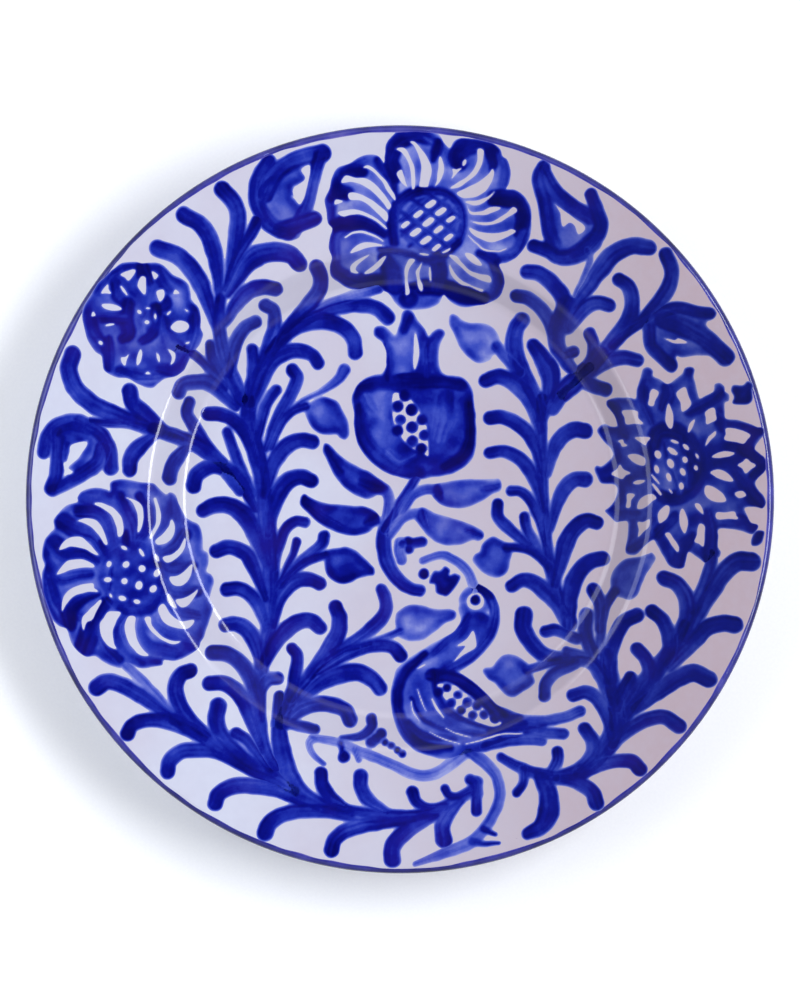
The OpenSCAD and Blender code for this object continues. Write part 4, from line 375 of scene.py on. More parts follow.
def to_brush(x, y, item):
    """Distance from a stroke's edge, way along it from the tip, and place across it from -1 to 1."""
    line = spline(item["path"], 7)
    steps = np.linalg.norm(np.diff(line, axis=0), axis=1)
    along = np.concatenate([[0], np.cumsum(steps)])
    widths = np.array(item["widths"], float)
    half = np.interp(along / along[-1], np.linspace(0, 1, len(widths)), widths) / 2
    best = np.full(x.shape, np.inf)
    way = np.zeros(x.shape)
    side = np.zeros(x.shape)
    for i in range(len(line) - 1):
        a, e = line[i], line[i + 1] - line[i]
        px, py = x - a[0], y - a[1]
        t = np.clip((px * e[0] + py * e[1]) / (e @ e), 0, 1)
        radius = half[i] + (half[i + 1] - half[i]) * t
        d = np.hypot(px - e[0] * t, py - e[1] * t) - radius
        nearer = d < best
        best = np.where(nearer, d, best)
        way = np.where(nearer, along[i] + steps[i] * t, way)
        across = (e[0] * py - e[1] * px) / steps[i] / radius
        side = np.where(nearer, across, side)
    return best, way, np.clip(side, -1, 1)


def to_outline(x, y, item):
    """Distance from the edge of a closed outline, less than 0 inside."""
    line = spline(item["path"], 5, closed=True)
    best = np.full(x.shape, np.inf)
    inside = np.zeros(x.shape, bool)
    for a, b in zip(line, np.roll(line, -1, axis=0)):
        e = b - a
        px, py = x - a[0], y - a[1]
        t = np.clip((px * e[0] + py * e[1]) / (e @ e), 0, 1)
        best = np.minimum(best, (px - e[0] * t) ** 2 + (py - e[1] * t) ** 2)
        crosses = (a[1] > y) != (b[1] > y)
        if e[1] != 0:
            inside ^= crosses & (px < e[0] * py / e[1])
    return np.where(inside, -1, 1) * np.sqrt(best)


def to_oval(x, y, item):
    """Distance from the edge of an oval, less than 0 inside."""
    (cx, cy), (w, h), turn = item["path"][0], item["size"], np.radians(item["turn"])
    px = (x - cx) * np.cos(turn) + (y - cy) * np.sin(turn)
    py = (y - cy) * np.cos(turn) - (x - cx) * np.sin(turn)
    return (np.hypot(px / w, py / h) * 2 - 1) * min(w, h) / 2


def laid(x, y, item, seed):
    """Distance from the edge of one piece of brush work, and how much pigment it leaves."""
    if item["kind"] == "brush":
        d, way, side = to_brush(x, y, item)
    elif item["kind"] == "pool":
        d = to_outline(x, y, item)
    else:
        d = to_oval(x, y, item)
    if item.get("bare"):
        return d, 0
    cloud = hash_noise(x / 9 + seed, y / 9, seed) - 0.5
    if item["kind"] == "brush":
        # a wet tip, one side darker than the other, and hair marks along the stroke
        lean = 1 if seed % 2 else -1
        streak = hash_noise(way / 16 + seed, side * 3.2 + 40, seed + 7) - 0.5
        fine = hash_noise(way / 11 + seed, side * 8 + 90, seed + 9) - 0.5
        wet_tip = np.exp(-(way / 4.5) ** 2)
        ink = item["tone"] + 0.14 * wet_tip + 0.10 * lean * side + 0.20 * streak
        ink = ink + 0.07 * fine + 0.26 * cloud
    else:
        # slanting streaks, and a dark ring where the pigment gathers near the edge
        streak = hash_noise(x / 5 + y / 14 + seed, y / 5 - x / 14, seed + 7) - 0.5
        ring = np.exp(-((d + 1.9) / 1.5) ** 2)
        ink = item["tone"] + 0.16 * ring + 0.3 * streak + 0.42 * cloud
    return d, ink


def outline_box(item):
    """Lowest and highest corner of the ground that one piece of brush work can change."""
    p = np.array(item["path"], float)
    reach = max(item.get("widths", item.get("size", (2,)))) / 2 + 3
    return p.min(0) - reach, p.max(0) + reach


def paint(items, first_seed):
    """Lays brush work on a grid: returns the grid, the distance from the painted edge and the pigment."""
    boxes = [outline_box(item) for item in items]
    low = np.min([b[0] for b in boxes], axis=0)
    high = np.max([b[1] for b in boxes], axis=0)
    xs = np.arange(np.floor(low[0] / PITCH), np.ceil(high[0] / PITCH) + 1) * PITCH
    ys = np.arange(np.floor(low[1] / PITCH), np.ceil(high[1] / PITCH) + 1) * PITCH
    x, y = np.meshgrid(xs, ys)
    # the edge of a hand painted stroke is never quite even
    shake_x = SHAKE * (hash_noise(x / SHAKE_STEP, y / SHAKE_STEP, 3) - 0.5)
    shake_y = SHAKE * (hash_noise(x / SHAKE_STEP, y / SHAKE_STEP, 4) - 0.5)
    edge = np.full(x.shape, FAR)
    ink = np.zeros(x.shape)
    for k, (item, (lo, hi)) in enumerate(zip(items, boxes)):
        cols = slice(np.searchsorted(xs, lo[0]), np.searchsorted(xs, hi[0]) + 1)
        rows = slice(np.searchsorted(ys, lo[1]), np.searchsorted(ys, hi[1]) + 1)
        part = (rows, cols)
        d, amount = laid(x[part] + shake_x[part], y[part] + shake_y[part], item, first_seed + k)
        if item.get("bare"):
            edge[part] = np.maximum(edge[part], BLEED - d)
            continue
        if item.get("shade"):
            over = smooth(0.8, -1.3, d)
            ink[part] = ink[part] * (1 - over) + amount * over
            continue
        meet = np.clip(0.5 + (edge[part] - d) / (2 * EDGE_SOFT), 0, 1)
        merged = edge[part] * (1 - meet) + d * meet - EDGE_SOFT * meet * (1 - meet)
        over = smooth(0.7, -0.9, d)
        crossing = over * smooth(0.3, -1.5, edge[part])
        darker = np.maximum(amount, ink[part] * crossing)
        ink[part] = ink[part] * (1 - over) + darker * over + 0.04 * crossing
        edge[part] = merged
    return xs, ys, edge - BLEED, ink


EDGE_MOVE = 0.02     # nearest that an edge comes to a grid point


def cut_grid(xs, ys, edge, ink):
    """The painted part of a grid as flat faces: whole squares inside, cut triangles along the edge."""
    # an edge that all but touches a grid point is moved past it, so that no sliver is cut
    edge = np.where(np.abs(edge) < EDGE_MOVE, -EDGE_MOVE, edge)
    inside = edge < 0
    numbers, triangles = {}, []
    node = np.full(edge.shape, -1)
    ii, jj = np.nonzero(inside)
    node[ii, jj] = np.arange(len(ii))
    points = list(zip(xs[jj], ys[ii], -edge[ii, jj], ink[ii, jj]))
    total = inside[:-1, :-1].astype(int) + inside[:-1, 1:] + inside[1:, 1:] + inside[1:, :-1]
    ii, jj = np.nonzero(total == 4)
    squares = np.stack([node[ii, jj], node[ii, jj + 1], node[ii + 1, jj + 1], node[ii + 1, jj]], -1)

    def crossing(p, q):
        """Number of the point where the edge crosses the line between two grid points."""
        key = (p, q) if p < q else (q, p)
        if key not in numbers:
            p, q = key
            ep, eq = edge[p], edge[q]
            t = ep / (ep - eq)
            numbers[key] = len(points)
            points.append((
                xs[p[1]] + (xs[q[1]] - xs[p[1]]) * t,
                ys[p[0]] + (ys[q[0]] - ys[p[0]]) * t,
                0.0,
                ink[p] + (ink[q] - ink[p]) * t,
            ))
        return numbers[key]

    for i, j in zip(*np.nonzero((total > 0) & (total < 4))):
        a, b, c, d = (i, j), (i, j + 1), (i + 1, j + 1), (i + 1, j)
        for corners in ((a, b, c), (a, c, d)):
            ring = []
            for p, q in zip(corners, corners[1:] + corners[:1]):
                if inside[p]:
                    ring.append(node[p])
                if inside[p] != inside[q]:
                    ring.append(crossing(p, q))
            for k in range(1, len(ring) - 1):
                triangles.append((ring[0], ring[k], ring[k + 1]))
    return np.array(points, float), squares, np.array(triangles, int).reshape(-1, 3)


def coat(name, items, first_seed):
    """A motif: a thin closed coat of cobalt that follows the face of the plate."""
    points, squares, triangles = cut_grid(*paint(items, first_seed))
    x, y, depth, ink = points.T
    ground = face_z(x, y)
    top = np.stack([x, y, ground + PAINT_EDGE + PAINT_LIFT * smooth(0, PAINT_RISE, depth)], -1)
    under = np.stack([x, y, ground - PAINT_ROOT], -1)
    n = len(points)
    pairs = np.concatenate([squares[:, [k, (k + 1) % 4]] for k in range(4)]
                           + [triangles[:, [k, (k + 1) % 3]] for k in range(3)])
    key = pairs[:, 0].astype(np.int64) * n + pairs[:, 1]
    back = pairs[:, 1].astype(np.int64) * n + pairs[:, 0]
    rim = pairs[~np.isin(back, key)]
    walls = np.stack([rim[:, 1], rim[:, 0], rim[:, 0] + n, rim[:, 1] + n], -1)
    return new_mesh(
        name,
        np.concatenate([top, under]),
        [squares, triangles, squares[:, ::-1] + n, triangles[:, ::-1] + n, walls],
        {"ink": np.tile(np.clip(ink, 0, 1.3), 2), "depth": np.tile(depth, 2)},
    )


# ---------- the painting ----------
# Each stroke is given by its widths and its path, both from the tip to the root. An outline is closed.
# What comes later in a list lies over what comes earlier. The place in the list also seeds the streaks.

PAINTING = {}
PAINTING["upper_left_spray"] = [
    brush((7, 7.5, 3), (-97, 100.5), (-87.5, 96.5), (-79.5, 85.5), (-73, 66)),
    brush((6.8, 7, 3), (-86.5, 113.8), (-78.5, 108.5), (-74, 97), (-72, 78)),
    brush((7, 6.8, 3), (-71, 124), (-65.3, 116), (-65.8, 104), (-69.5, 86)),
    brush((5.5, 4, 3), (-57, 111.5), (-61, 104), (-66, 95), (-70, 84)),
    brush((6.6, 8.8, 3.5), (-40.3, 94.3), (-44, 98), (-52, 99), (-60, 95.5), (-69, 82)),
    brush((6, 7, 4), (-50, 84.3), (-56, 85), (-63, 81.5), (-70, 71)),
    brush((5.4, 6, 5), (-58, 71.3), (-62.5, 68.5), (-66.5, 61.5), (-69, 50)),
    brush((4.2, 5, 3), (-76, 62), (-75.5, 57), (-72, 50)),
    brush((5, 3.5, 5), (-89, 61), (-82, 57.5), (-76, 51.5), (-71, 45)),
    brush((5, 6, 7), (-72, 80), (-72.5, 70), (-71, 60), (-68, 50), (-63, 40)),
    brush((5.5, 6.8, 4), (-88.7, 42.7), (-87, 46), (-82, 47), (-76, 46), (-66, 37)),
]
PAINTING["upper_left_tulip"] = [
    pool((-55, 128), (-43, 134), (-38.5, 131.5), (-38, 127), (-42.5, 125), (-42, 122), (-43, 121),
          (-40, 118), (-39, 116), (-40, 106), (-44, 104), (-49, 105), (-54, 110), (-58, 114), tone=0.35),
    brush((6.5, 7), (-52.5, 135), (-57, 127), (-57, 118), (-52, 110), (-45, 107)),
    brush((7.5, 7), (-31, 138.5), (-42, 135.5), (-50, 130), (-54, 122)),
    brush((5.5, 5.5), (-32, 137), (-35, 127), (-37, 118), (-40, 112)),
    brush((6.4, 7), (-34.5, 112.5), (-41, 110), (-48, 108)),
    window((-39.5, 132), (-36, 133.3), (-37.5, 124), (-40, 118), (-42.5, 121.5), (-42.5, 124.5),
          (-38, 128)),
]
PAINTING["left_spray"] = [
    brush((7, 7.5, 5), (-131, 58), (-132.5, 52), (-130.5, 45.5), (-125.5, 40), (-118, 35.5), (-100, 28.5),
          (-88, 24)),
    brush((6.5, 7, 5), (-108.3, 43.5), (-107, 38.5), (-102, 34), (-95, 28)),
    brush((4, 3.5, 4), (-124, 31), (-115, 30.3), (-105, 29.5), (-97, 27)),
    brush((6, 7, 4), (-108.4, 11.8), (-108, 16), (-105, 20.5), (-98, 26)),
    brush((6, 6, 3), (-92.5, 8.5), (-91.5, 13), (-88, 18.5), (-83, 23)),
    brush((5, 5.5, 4), (-84.5, 39), (-85.5, 35), (-83.5, 30.5), (-76, 20)),
    brush((5, 7, 6), (-99, 28.5), (-90, 25.5), (-80, 21), (-72, 14), (-64, 4)),
]
PAINTING["left_tulip"] = [
    pool((-139, 26), (-133, 32), (-124, 31), (-119, 24), (-120, 14), (-128, 9.5), (-132, 11.5),
          (-132.5, 13), (-128.5, 16.5), (-125.5, 23), (-128, 19), (-133, 20.5), tone=0.35),
    brush((5.8, 7), (-142.5, 19), (-141, 25), (-137, 29.5), (-131, 31), (-125, 29)),
    brush((6, 6), (-115.8, 12.3), (-116.5, 20), (-120, 26.5), (-128, 31)),
    brush((6, 5.5), (-139.5, 4.5), (-137.5, 10), (-137, 18), (-137, 27)),
    brush((5, 6.5), (-139, 3.5), (-133, 6.5), (-127, 10), (-121, 14.5), (-119, 20)),
    window((-134, 20), (-134, 10.5), (-131, 10.8), (-132.8, 13), (-128, 17.5), (-125.5, 23)),
    brush((2.4, 3, 2), (-133.4, 22), (-134.2, 16), tone=0.5),
]
PAINTING["rosette"] = [
    pool((-111, 94.5), (-106, 95), (-103, 94.3), (-98, 94.7), (-94, 93), (-91, 90), (-88, 88.5), (-85, 86),
          (-84, 83), (-83.7, 80), (-81, 77), (-80, 74), (-80, 69), (-79, 66), (-80, 63), (-82, 60),
          (-84, 57), (-85.5, 54), (-87, 51.5), (-90, 49.5), (-94, 48.5), (-97, 46.5), (-99, 44.8),
          (-102, 45), (-105, 46.5), (-109, 48.5), (-113, 48.7), (-116, 50), (-118.5, 52), (-119, 55),
          (-119.5, 57.5), (-122, 59.5), (-124.5, 63), (-126, 68), (-127, 73), (-126.5, 77), (-124, 81),
          (-121, 86), (-117, 90), (-114, 92.5), tone=0.44),
    shade((5, 6, 5), (-113, 92.5), (-117, 90), (-121, 84), tone=0.62),
    shade((6, 7, 5), (-103, 93), (-102.6, 91), (-101, 87.5), tone=0.71),
    shade((5, 6, 5), (-96, 90), (-94, 86.5), (-92, 84.5), tone=0.57),
    shade((4, 5, 4), (-94, 80.5), (-93.5, 78.5), (-96.5, 76.5), tone=0.62),
    shade((5, 8, 5), (-113.5, 86), (-112, 81.5), (-108, 79), tone=0.64),
    shade((6, 7, 7, 5), (-109, 78), (-110, 72), (-108.8, 66.5), (-111, 64.5), tone=0.72),
    shade((4, 5, 5), (-119, 72.5), (-115, 72.5), (-111, 72), tone=0.59),
    shade((6, 7, 6), (-124, 72.5), (-123, 66.5), (-119, 61.5), tone=0.62),
    shade((4, 6, 5), (-116.5, 64), (-116.5, 58), (-116.5, 53), tone=0.63),
    shade((5, 6, 6, 4), (-98, 76.5), (-97.6, 71), (-100, 66), (-103.4, 63.8), tone=0.75),
    shade((3, 3, 3), (-102.6, 74), (-104, 71), (-103, 67.5), tone=0.36),
    shade((4, 7, 8, 4), (-94.5, 72), (-93.5, 67), (-91, 62), (-85, 59), tone=0.55),
    shade((6, 7, 5), (-82, 72), (-81.8, 67), (-83.5, 62), tone=0.5),
    shade((5, 7, 6), (-112, 51.5), (-104, 49.2), (-98, 49.2), tone=0.53),
    shade((5, 7, 5), (-96, 52.5), (-90, 52), (-87, 56), tone=0.53),
    *windows(
        ((-111.7, 90), (-108, 91.8), (-106, 91.6), (-106.4, 90), (-108.6, 87.6), (-110, 88.8)),
        ((-99.4, 91.2), (-97, 89.6), (-98.4, 88.2)),
        ((-103.6, 89), (-102, 88.6), (-101.7, 86), (-102.1, 82), (-104.6, 84.4), (-104.8, 86.4)),
        ((-119.6, 82.6), (-117.1, 86), (-116.6, 84), (-115.7, 82.3), (-117.6, 82.5)),
    ),
    gap(1.1, (-111.5, 85), (-110.5, 83.6), (-109.3, 82)),
    *windows(
        ((-97.4, 83.4), (-94.8, 84), (-94.5, 81.4), (-96.2, 79.2), (-97.3, 81.6)),
        ((-90.6, 82.2), (-90, 83.8), (-88.3, 82.5)),
        ((-119.3, 77.8), (-116.5, 78.1), (-113.5, 77.4), (-111.5, 76), (-114.5, 75.4), (-118, 76.2)),
        ((-123.3, 73.2), (-122.7, 75), (-121.8, 73.5)),
    ),
    gap(1, (-117.6, 69.7), (-114.6, 70.1)),
    *holes((-119.8, 62.6, 1.8, 1.3, -45), (-104.4, 75, 1.8, 1.4, -40), (-101.4, 70.8, 1.8, 1.5),
           (-98.1, 73.2, 1, 2, 5)),
    gap(0.7, (-101.6, 76.6), (-100.3, 76.5)),
    gap(0.9, (-93, 74.1), (-92, 75.2)),
    window((-91.8, 68.8), (-90, 71), (-87.5, 71.6), (-85.2, 70.6), (-84.8, 68.8), (-86.5, 67.2),
          (-89.5, 67)),
    gap(0.7, (-86, 75.9), (-85, 75.2)),
    gap(0.8, (-85.8, 62.5), (-84.6, 62.9)),
    *windows(
        ((-111.8, 56.8), (-110, 57.1), (-108.6, 58.2), (-109.6, 56), (-110.3, 53.5), (-111.6, 55)),
        ((-105.3, 53.6), (-105.4, 56.5), (-104, 60), (-103.3, 58), (-103.9, 55)),
        ((-97.4, 58.8), (-96.2, 57), (-96.3, 54.8), (-97.3, 56.4)),
        ((-93, 60.3), (-90.2, 58.4), (-90.4, 55.4), (-92, 54), (-91.4, 57)),
        ((-102, 50.1), (-101, 51), (-100, 50.1)),
    ),
]
PAINTING["lower_left_spray"] = [
    brush((4, 4, 4), (-110, -66), (-100, -76), (-90, -87), (-80, -94), tone=0.3),
    brush((7, 6.5, 4), (-121.3, -75.3), (-117, -73), (-111, -74.5), (-104, -78.5), (-97, -83.5),
          (-88, -90)),
    brush((6, 6, 5), (-109, -94), (-107, -90.3), (-101, -88.4), (-94, -89), (-87, -91.5), (-78, -96)),
    brush((6.3, 6.5, 5), (-93, -109), (-92, -104.5), (-87, -100.8), (-80, -100.4), (-73, -101),
          (-65, -105), (-55, -110)),
    brush((6, 7, 5), (-84, -68.5), (-88, -70.5), (-90, -76), (-88, -83), (-84, -88.5), (-77, -95)),
    brush((7, 7, 5), (-72.8, -82.8), (-73.7, -88), (-72, -94), (-67, -100), (-60, -105.5), (-50, -110)),
    brush((5.5, 4.5, 3), (-65.5, -94), (-61.5, -96.5), (-57.5, -102), (-52, -109)),
    brush((5, 7, 7), (-90, -88), (-80, -94), (-70, -101), (-60, -107), (-50, -112), (-42, -117)),
]
PAINTING["left_frond"] = [
    brush((7, 8, 6.5, 5), (-61, 40), (-60.5, 30), (-58, 20), (-55.5, 10), (-54, 0), (-53.5, -10),
          (-52.5, -20), (-52, -30), (-52, -40), (-52.5, -50), (-54.5, -60), (-56, -70), (-56.5, -80),
          (-56, -90), (-54, -100), (-50, -108)),
    brush((6.5, 6, 8), (-5, 73), (-9, 76.5), (-15, 78), (-23, 77.5), (-32, 74.5), (-42, 69), (-50, 62),
          (-57, 50), (-61, 40)),
    brush((5, 4, 3), (-9, 85), (-20, 81.5), (-30, 78), (-40, 73), tone=0.3),
    brush((6, 7, 5), (-18, 58.8), (-18.5, 63.5), (-22, 68.5), (-29, 71.3), (-37, 71), (-45, 67), (-52, 59)),
    brush((6.3, 6.5, 4), (-33.3, 93), (-31.8, 89), (-32.5, 84), (-36, 79), (-41, 74), (-47, 68)),
    brush((5.5, 5.5, 4), (-54, 77.8), (-50.8, 75.5), (-50.5, 70), (-52.5, 64), (-56, 55)),
    brush((5, 5, 3), (-59.3, 60.2), (-59, 54), (-60.5, 43)),
    brush((5.5, 7, 5), (-33, 54.7), (-35.5, 58), (-41, 59.7), (-47, 58.5), (-52.5, 54), (-59.5, 38)),
    brush((4.6, 5, 4), (-49.8, 44), (-52.5, 40.5), (-55, 35), (-57, 26)),
    brush((5.5, 5.5, 3), (-43.3, 52), (-41.5, 48.5), (-43.5, 43), (-47, 36.5), (-50.5, 30), (-54, 20)),
    brush((5, 2.5, 1.5), (-22.3, 52), (-24.5, 48.5), (-30, 44.2), (-38, 40.3), (-44, 36), tone=0.4),
    pool((-38, 37), (-33, 40.7), (-29, 41), (-25, 39), (-23, 35.5), (-21, 31), (-20.5, 26.5), (-22, 24.2),
          (-24, 24.7), (-25.5, 26), (-29, 26), (-33, 26.8), (-36, 29.5), (-38, 34), tone=0.45),
    brush((4, 3.5, 3.5), (-38, 37.5), (-43, 35.5), (-48, 30), (-52, 21)),
    brush((6, 7, 4), (-35.3, 23), (-40, 23.8), (-45, 21.8), (-49, 17.5), (-52, 11), (-54, 2)),
    brush((6, 8, 4), (-35.6, 7.4), (-40, 9), (-45, 7.3), (-49, 2.5), (-51.5, -5), (-53, -14)),
    brush((4.5, 4.5, 3), (-38.2, -9.3), (-42, -9), (-45.5, -11.5), (-48, -17), (-50.5, -28)),
    brush((3.7, 3, 2), (-41.4, -17), (-43, -22), (-46, -28), (-49, -34)),
    brush((5, 4.5, 3), (-30.5, -14.8), (-31.5, -18), (-36, -22), (-42, -27), (-48, -34)),
    pool((-30.5, -21), (-27, -19.8), (-22, -19.3), (-18, -20.5), (-14.5, -23.5), (-12, -26), (-10.2, -28),
          (-10.5, -30.5), (-13, -31), (-17, -32), (-20, -33.5), (-24, -34), (-28, -32), (-30, -29),
          (-30.3, -24), tone=0.5),
    brush((3.5, 3.5, 3.5), (-30, -22.5), (-36, -24.5), (-42, -28.5), (-48, -36)),
    brush((5.5, 7, 4), (-32.3, -34), (-36, -32.3), (-41, -32.5), (-45.5, -35.5), (-49, -41), (-51, -50)),
    brush((6, 7, 5), (-32.3, -51.5), (-35.5, -49), (-40, -49), (-45, -51.8), (-49.5, -57), (-54, -65)),
    brush((5.5, 5.5, 5), (-49.2, -71.8), (-53, -72.5), (-56, -76)),
    brush((6, 6, 4), (-77, 34.3), (-72, 34), (-67, 32), (-62, 26), (-58, 14)),
    brush((4.5, 5, 4), (-69.5, 27), (-67, 20), (-64, 12), (-59, 2)),
    brush((6.5, 6.8, 4), (-83, 5.5), (-81.5, 10), (-76, 13.2), (-70, 12.3), (-65, 9), (-58, -4)),
    brush((6, 8, 4), (-79, -4.5), (-75, -2.7), (-70, -2.2), (-65, -4.5), (-60.5, -9.5), (-54, -26)),
    brush((6, 6.5, 3), (-73.8, -20.8), (-69, -19.3), (-64, -20.7), (-60, -24.7), (-54, -40)),
    brush((6, 6, 3), (-69.5, -36.2), (-65, -36), (-60.5, -38.2), (-57, -43), (-54, -52)),
    brush((6, 7, 4), (-70, -50.5), (-65.5, -50.2), (-61, -53), (-58, -58.5), (-56, -67)),
    brush((6.5, 6.5, 4), (-75, -61.7), (-70, -62), (-65, -65), (-61, -70), (-58.5, -77), (-56, -88)),
    brush((6, 7, 3), (-76.3, -73.8), (-71, -73.8), (-66, -76.5), (-62, -82), (-59, -90), (-55, -101)),
]
PAINTING["bottom_frond"] = [
    brush((4.6, 8, 7, 7, 6, 4.5), (-48.5, -79), (-48.5, -90), (-47.5, -100), (-44, -111), (-38, -119),
          (-28, -124), (-15, -126.5), (-2, -127.5), (10, -126.5), (20, -122), (28, -117), (31, -113)),
    brush((6.5, 7, 5), (-74, -121.7), (-72, -117.5), (-66, -114.7), (-58, -114.7), (-50, -116),
          (-42, -119.5), (-34, -123)),
    brush((7, 6, 4), (-54, -133.5), (-52, -129.5), (-47, -126.3), (-40, -125), (-30, -125.3),
          (-20, -126.5)),
    brush((6.5, 6, 4), (-27.5, -140.3), (-26, -136), (-21, -132.5), (-14, -130.5), (-5, -129.5), (5, -128)),
    brush((7, 7, 4), (-3, -144), (-3, -139.5), (0.5, -134.5), (6, -130.5), (14, -127)),
    brush((7, 6, 4), (17.5, -136.3), (17, -131), (19.5, -126), (24, -121)),
    brush((4.5, 4.5, 4.5), (30.7, -125), (30.6, -119), (30.5, -114)),
    brush((4.5, 4.5, 4.5), (28, -112.2), (30.3, -113.5), (31, -118)),
    brush((5.7, 6, 3), (-31.6, -109.8), (-31.3, -114), (-28.5, -118.5), (-22, -123)),
    brush((6.3, 6, 3), (-15.7, -111), (-15.5, -115.5), (-12.5, -120.5), (-5, -125)),
    brush((5.3, 4, 4), (5, -117.3), (6.5, -121), (11, -123.5), (18, -123.5)),
    brush((4, 3, 3), (18, -116), (19.5, -118.3), (23, -118.8), (28, -117)),
]
PAINTING["center_lower_spray"] = [
    brush((4, 5, 8), (-12, -58), (-22, -60.5), (-30, -65), (-38, -72.5), (-44, -80), (-48, -90)),
    brush((5, 5.5, 5), (-43.3, -60), (-41.3, -63), (-42, -70), (-44, -80)),
    brush((6, 7.5, 5), (-25.8, -43.5), (-24.3, -48), (-25, -54), (-29, -61), (-36, -70)),
    brush((5, 6, 3), (-7.4, -36.3), (-5.6, -41), (-6.5, -46.5), (-11, -51.5), (-17, -56), (-27, -62)),
    pool((-1.7, -47), (0, -44.5), (4, -42.6), (9, -42.8), (15, -44.3), (20, -44.2), (22.5, -45.5),
          (22, -48), (18, -50), (14, -53), (10, -56), (6, -57), (2, -56.3), (-1, -54), tone=0.25),
    brush((3, 3, 3), (0, -53), (-7, -56), (-15, -58.5), tone=0.35),
    brush((6, 5, 4), (0.3, -62.8), (-3, -59.5), (-8, -58.8), (-15, -60), (-23, -63.5), (-32, -69)),
    brush((6.3, 8, 4), (-8.2, -76), (-11, -72.5), (-17, -69.5), (-24, -70.5), (-32, -74), (-40, -81)),
    brush((6.3, 6.5, 5), (-20, -88.6), (-22.5, -84.5), (-29, -82.3), (-36, -82.8), (-42, -86), (-47, -91)),
    brush((4.6, 4.6, 4.6), (-34.2, -92.2), (-38.5, -91.2), (-45, -90)),
]
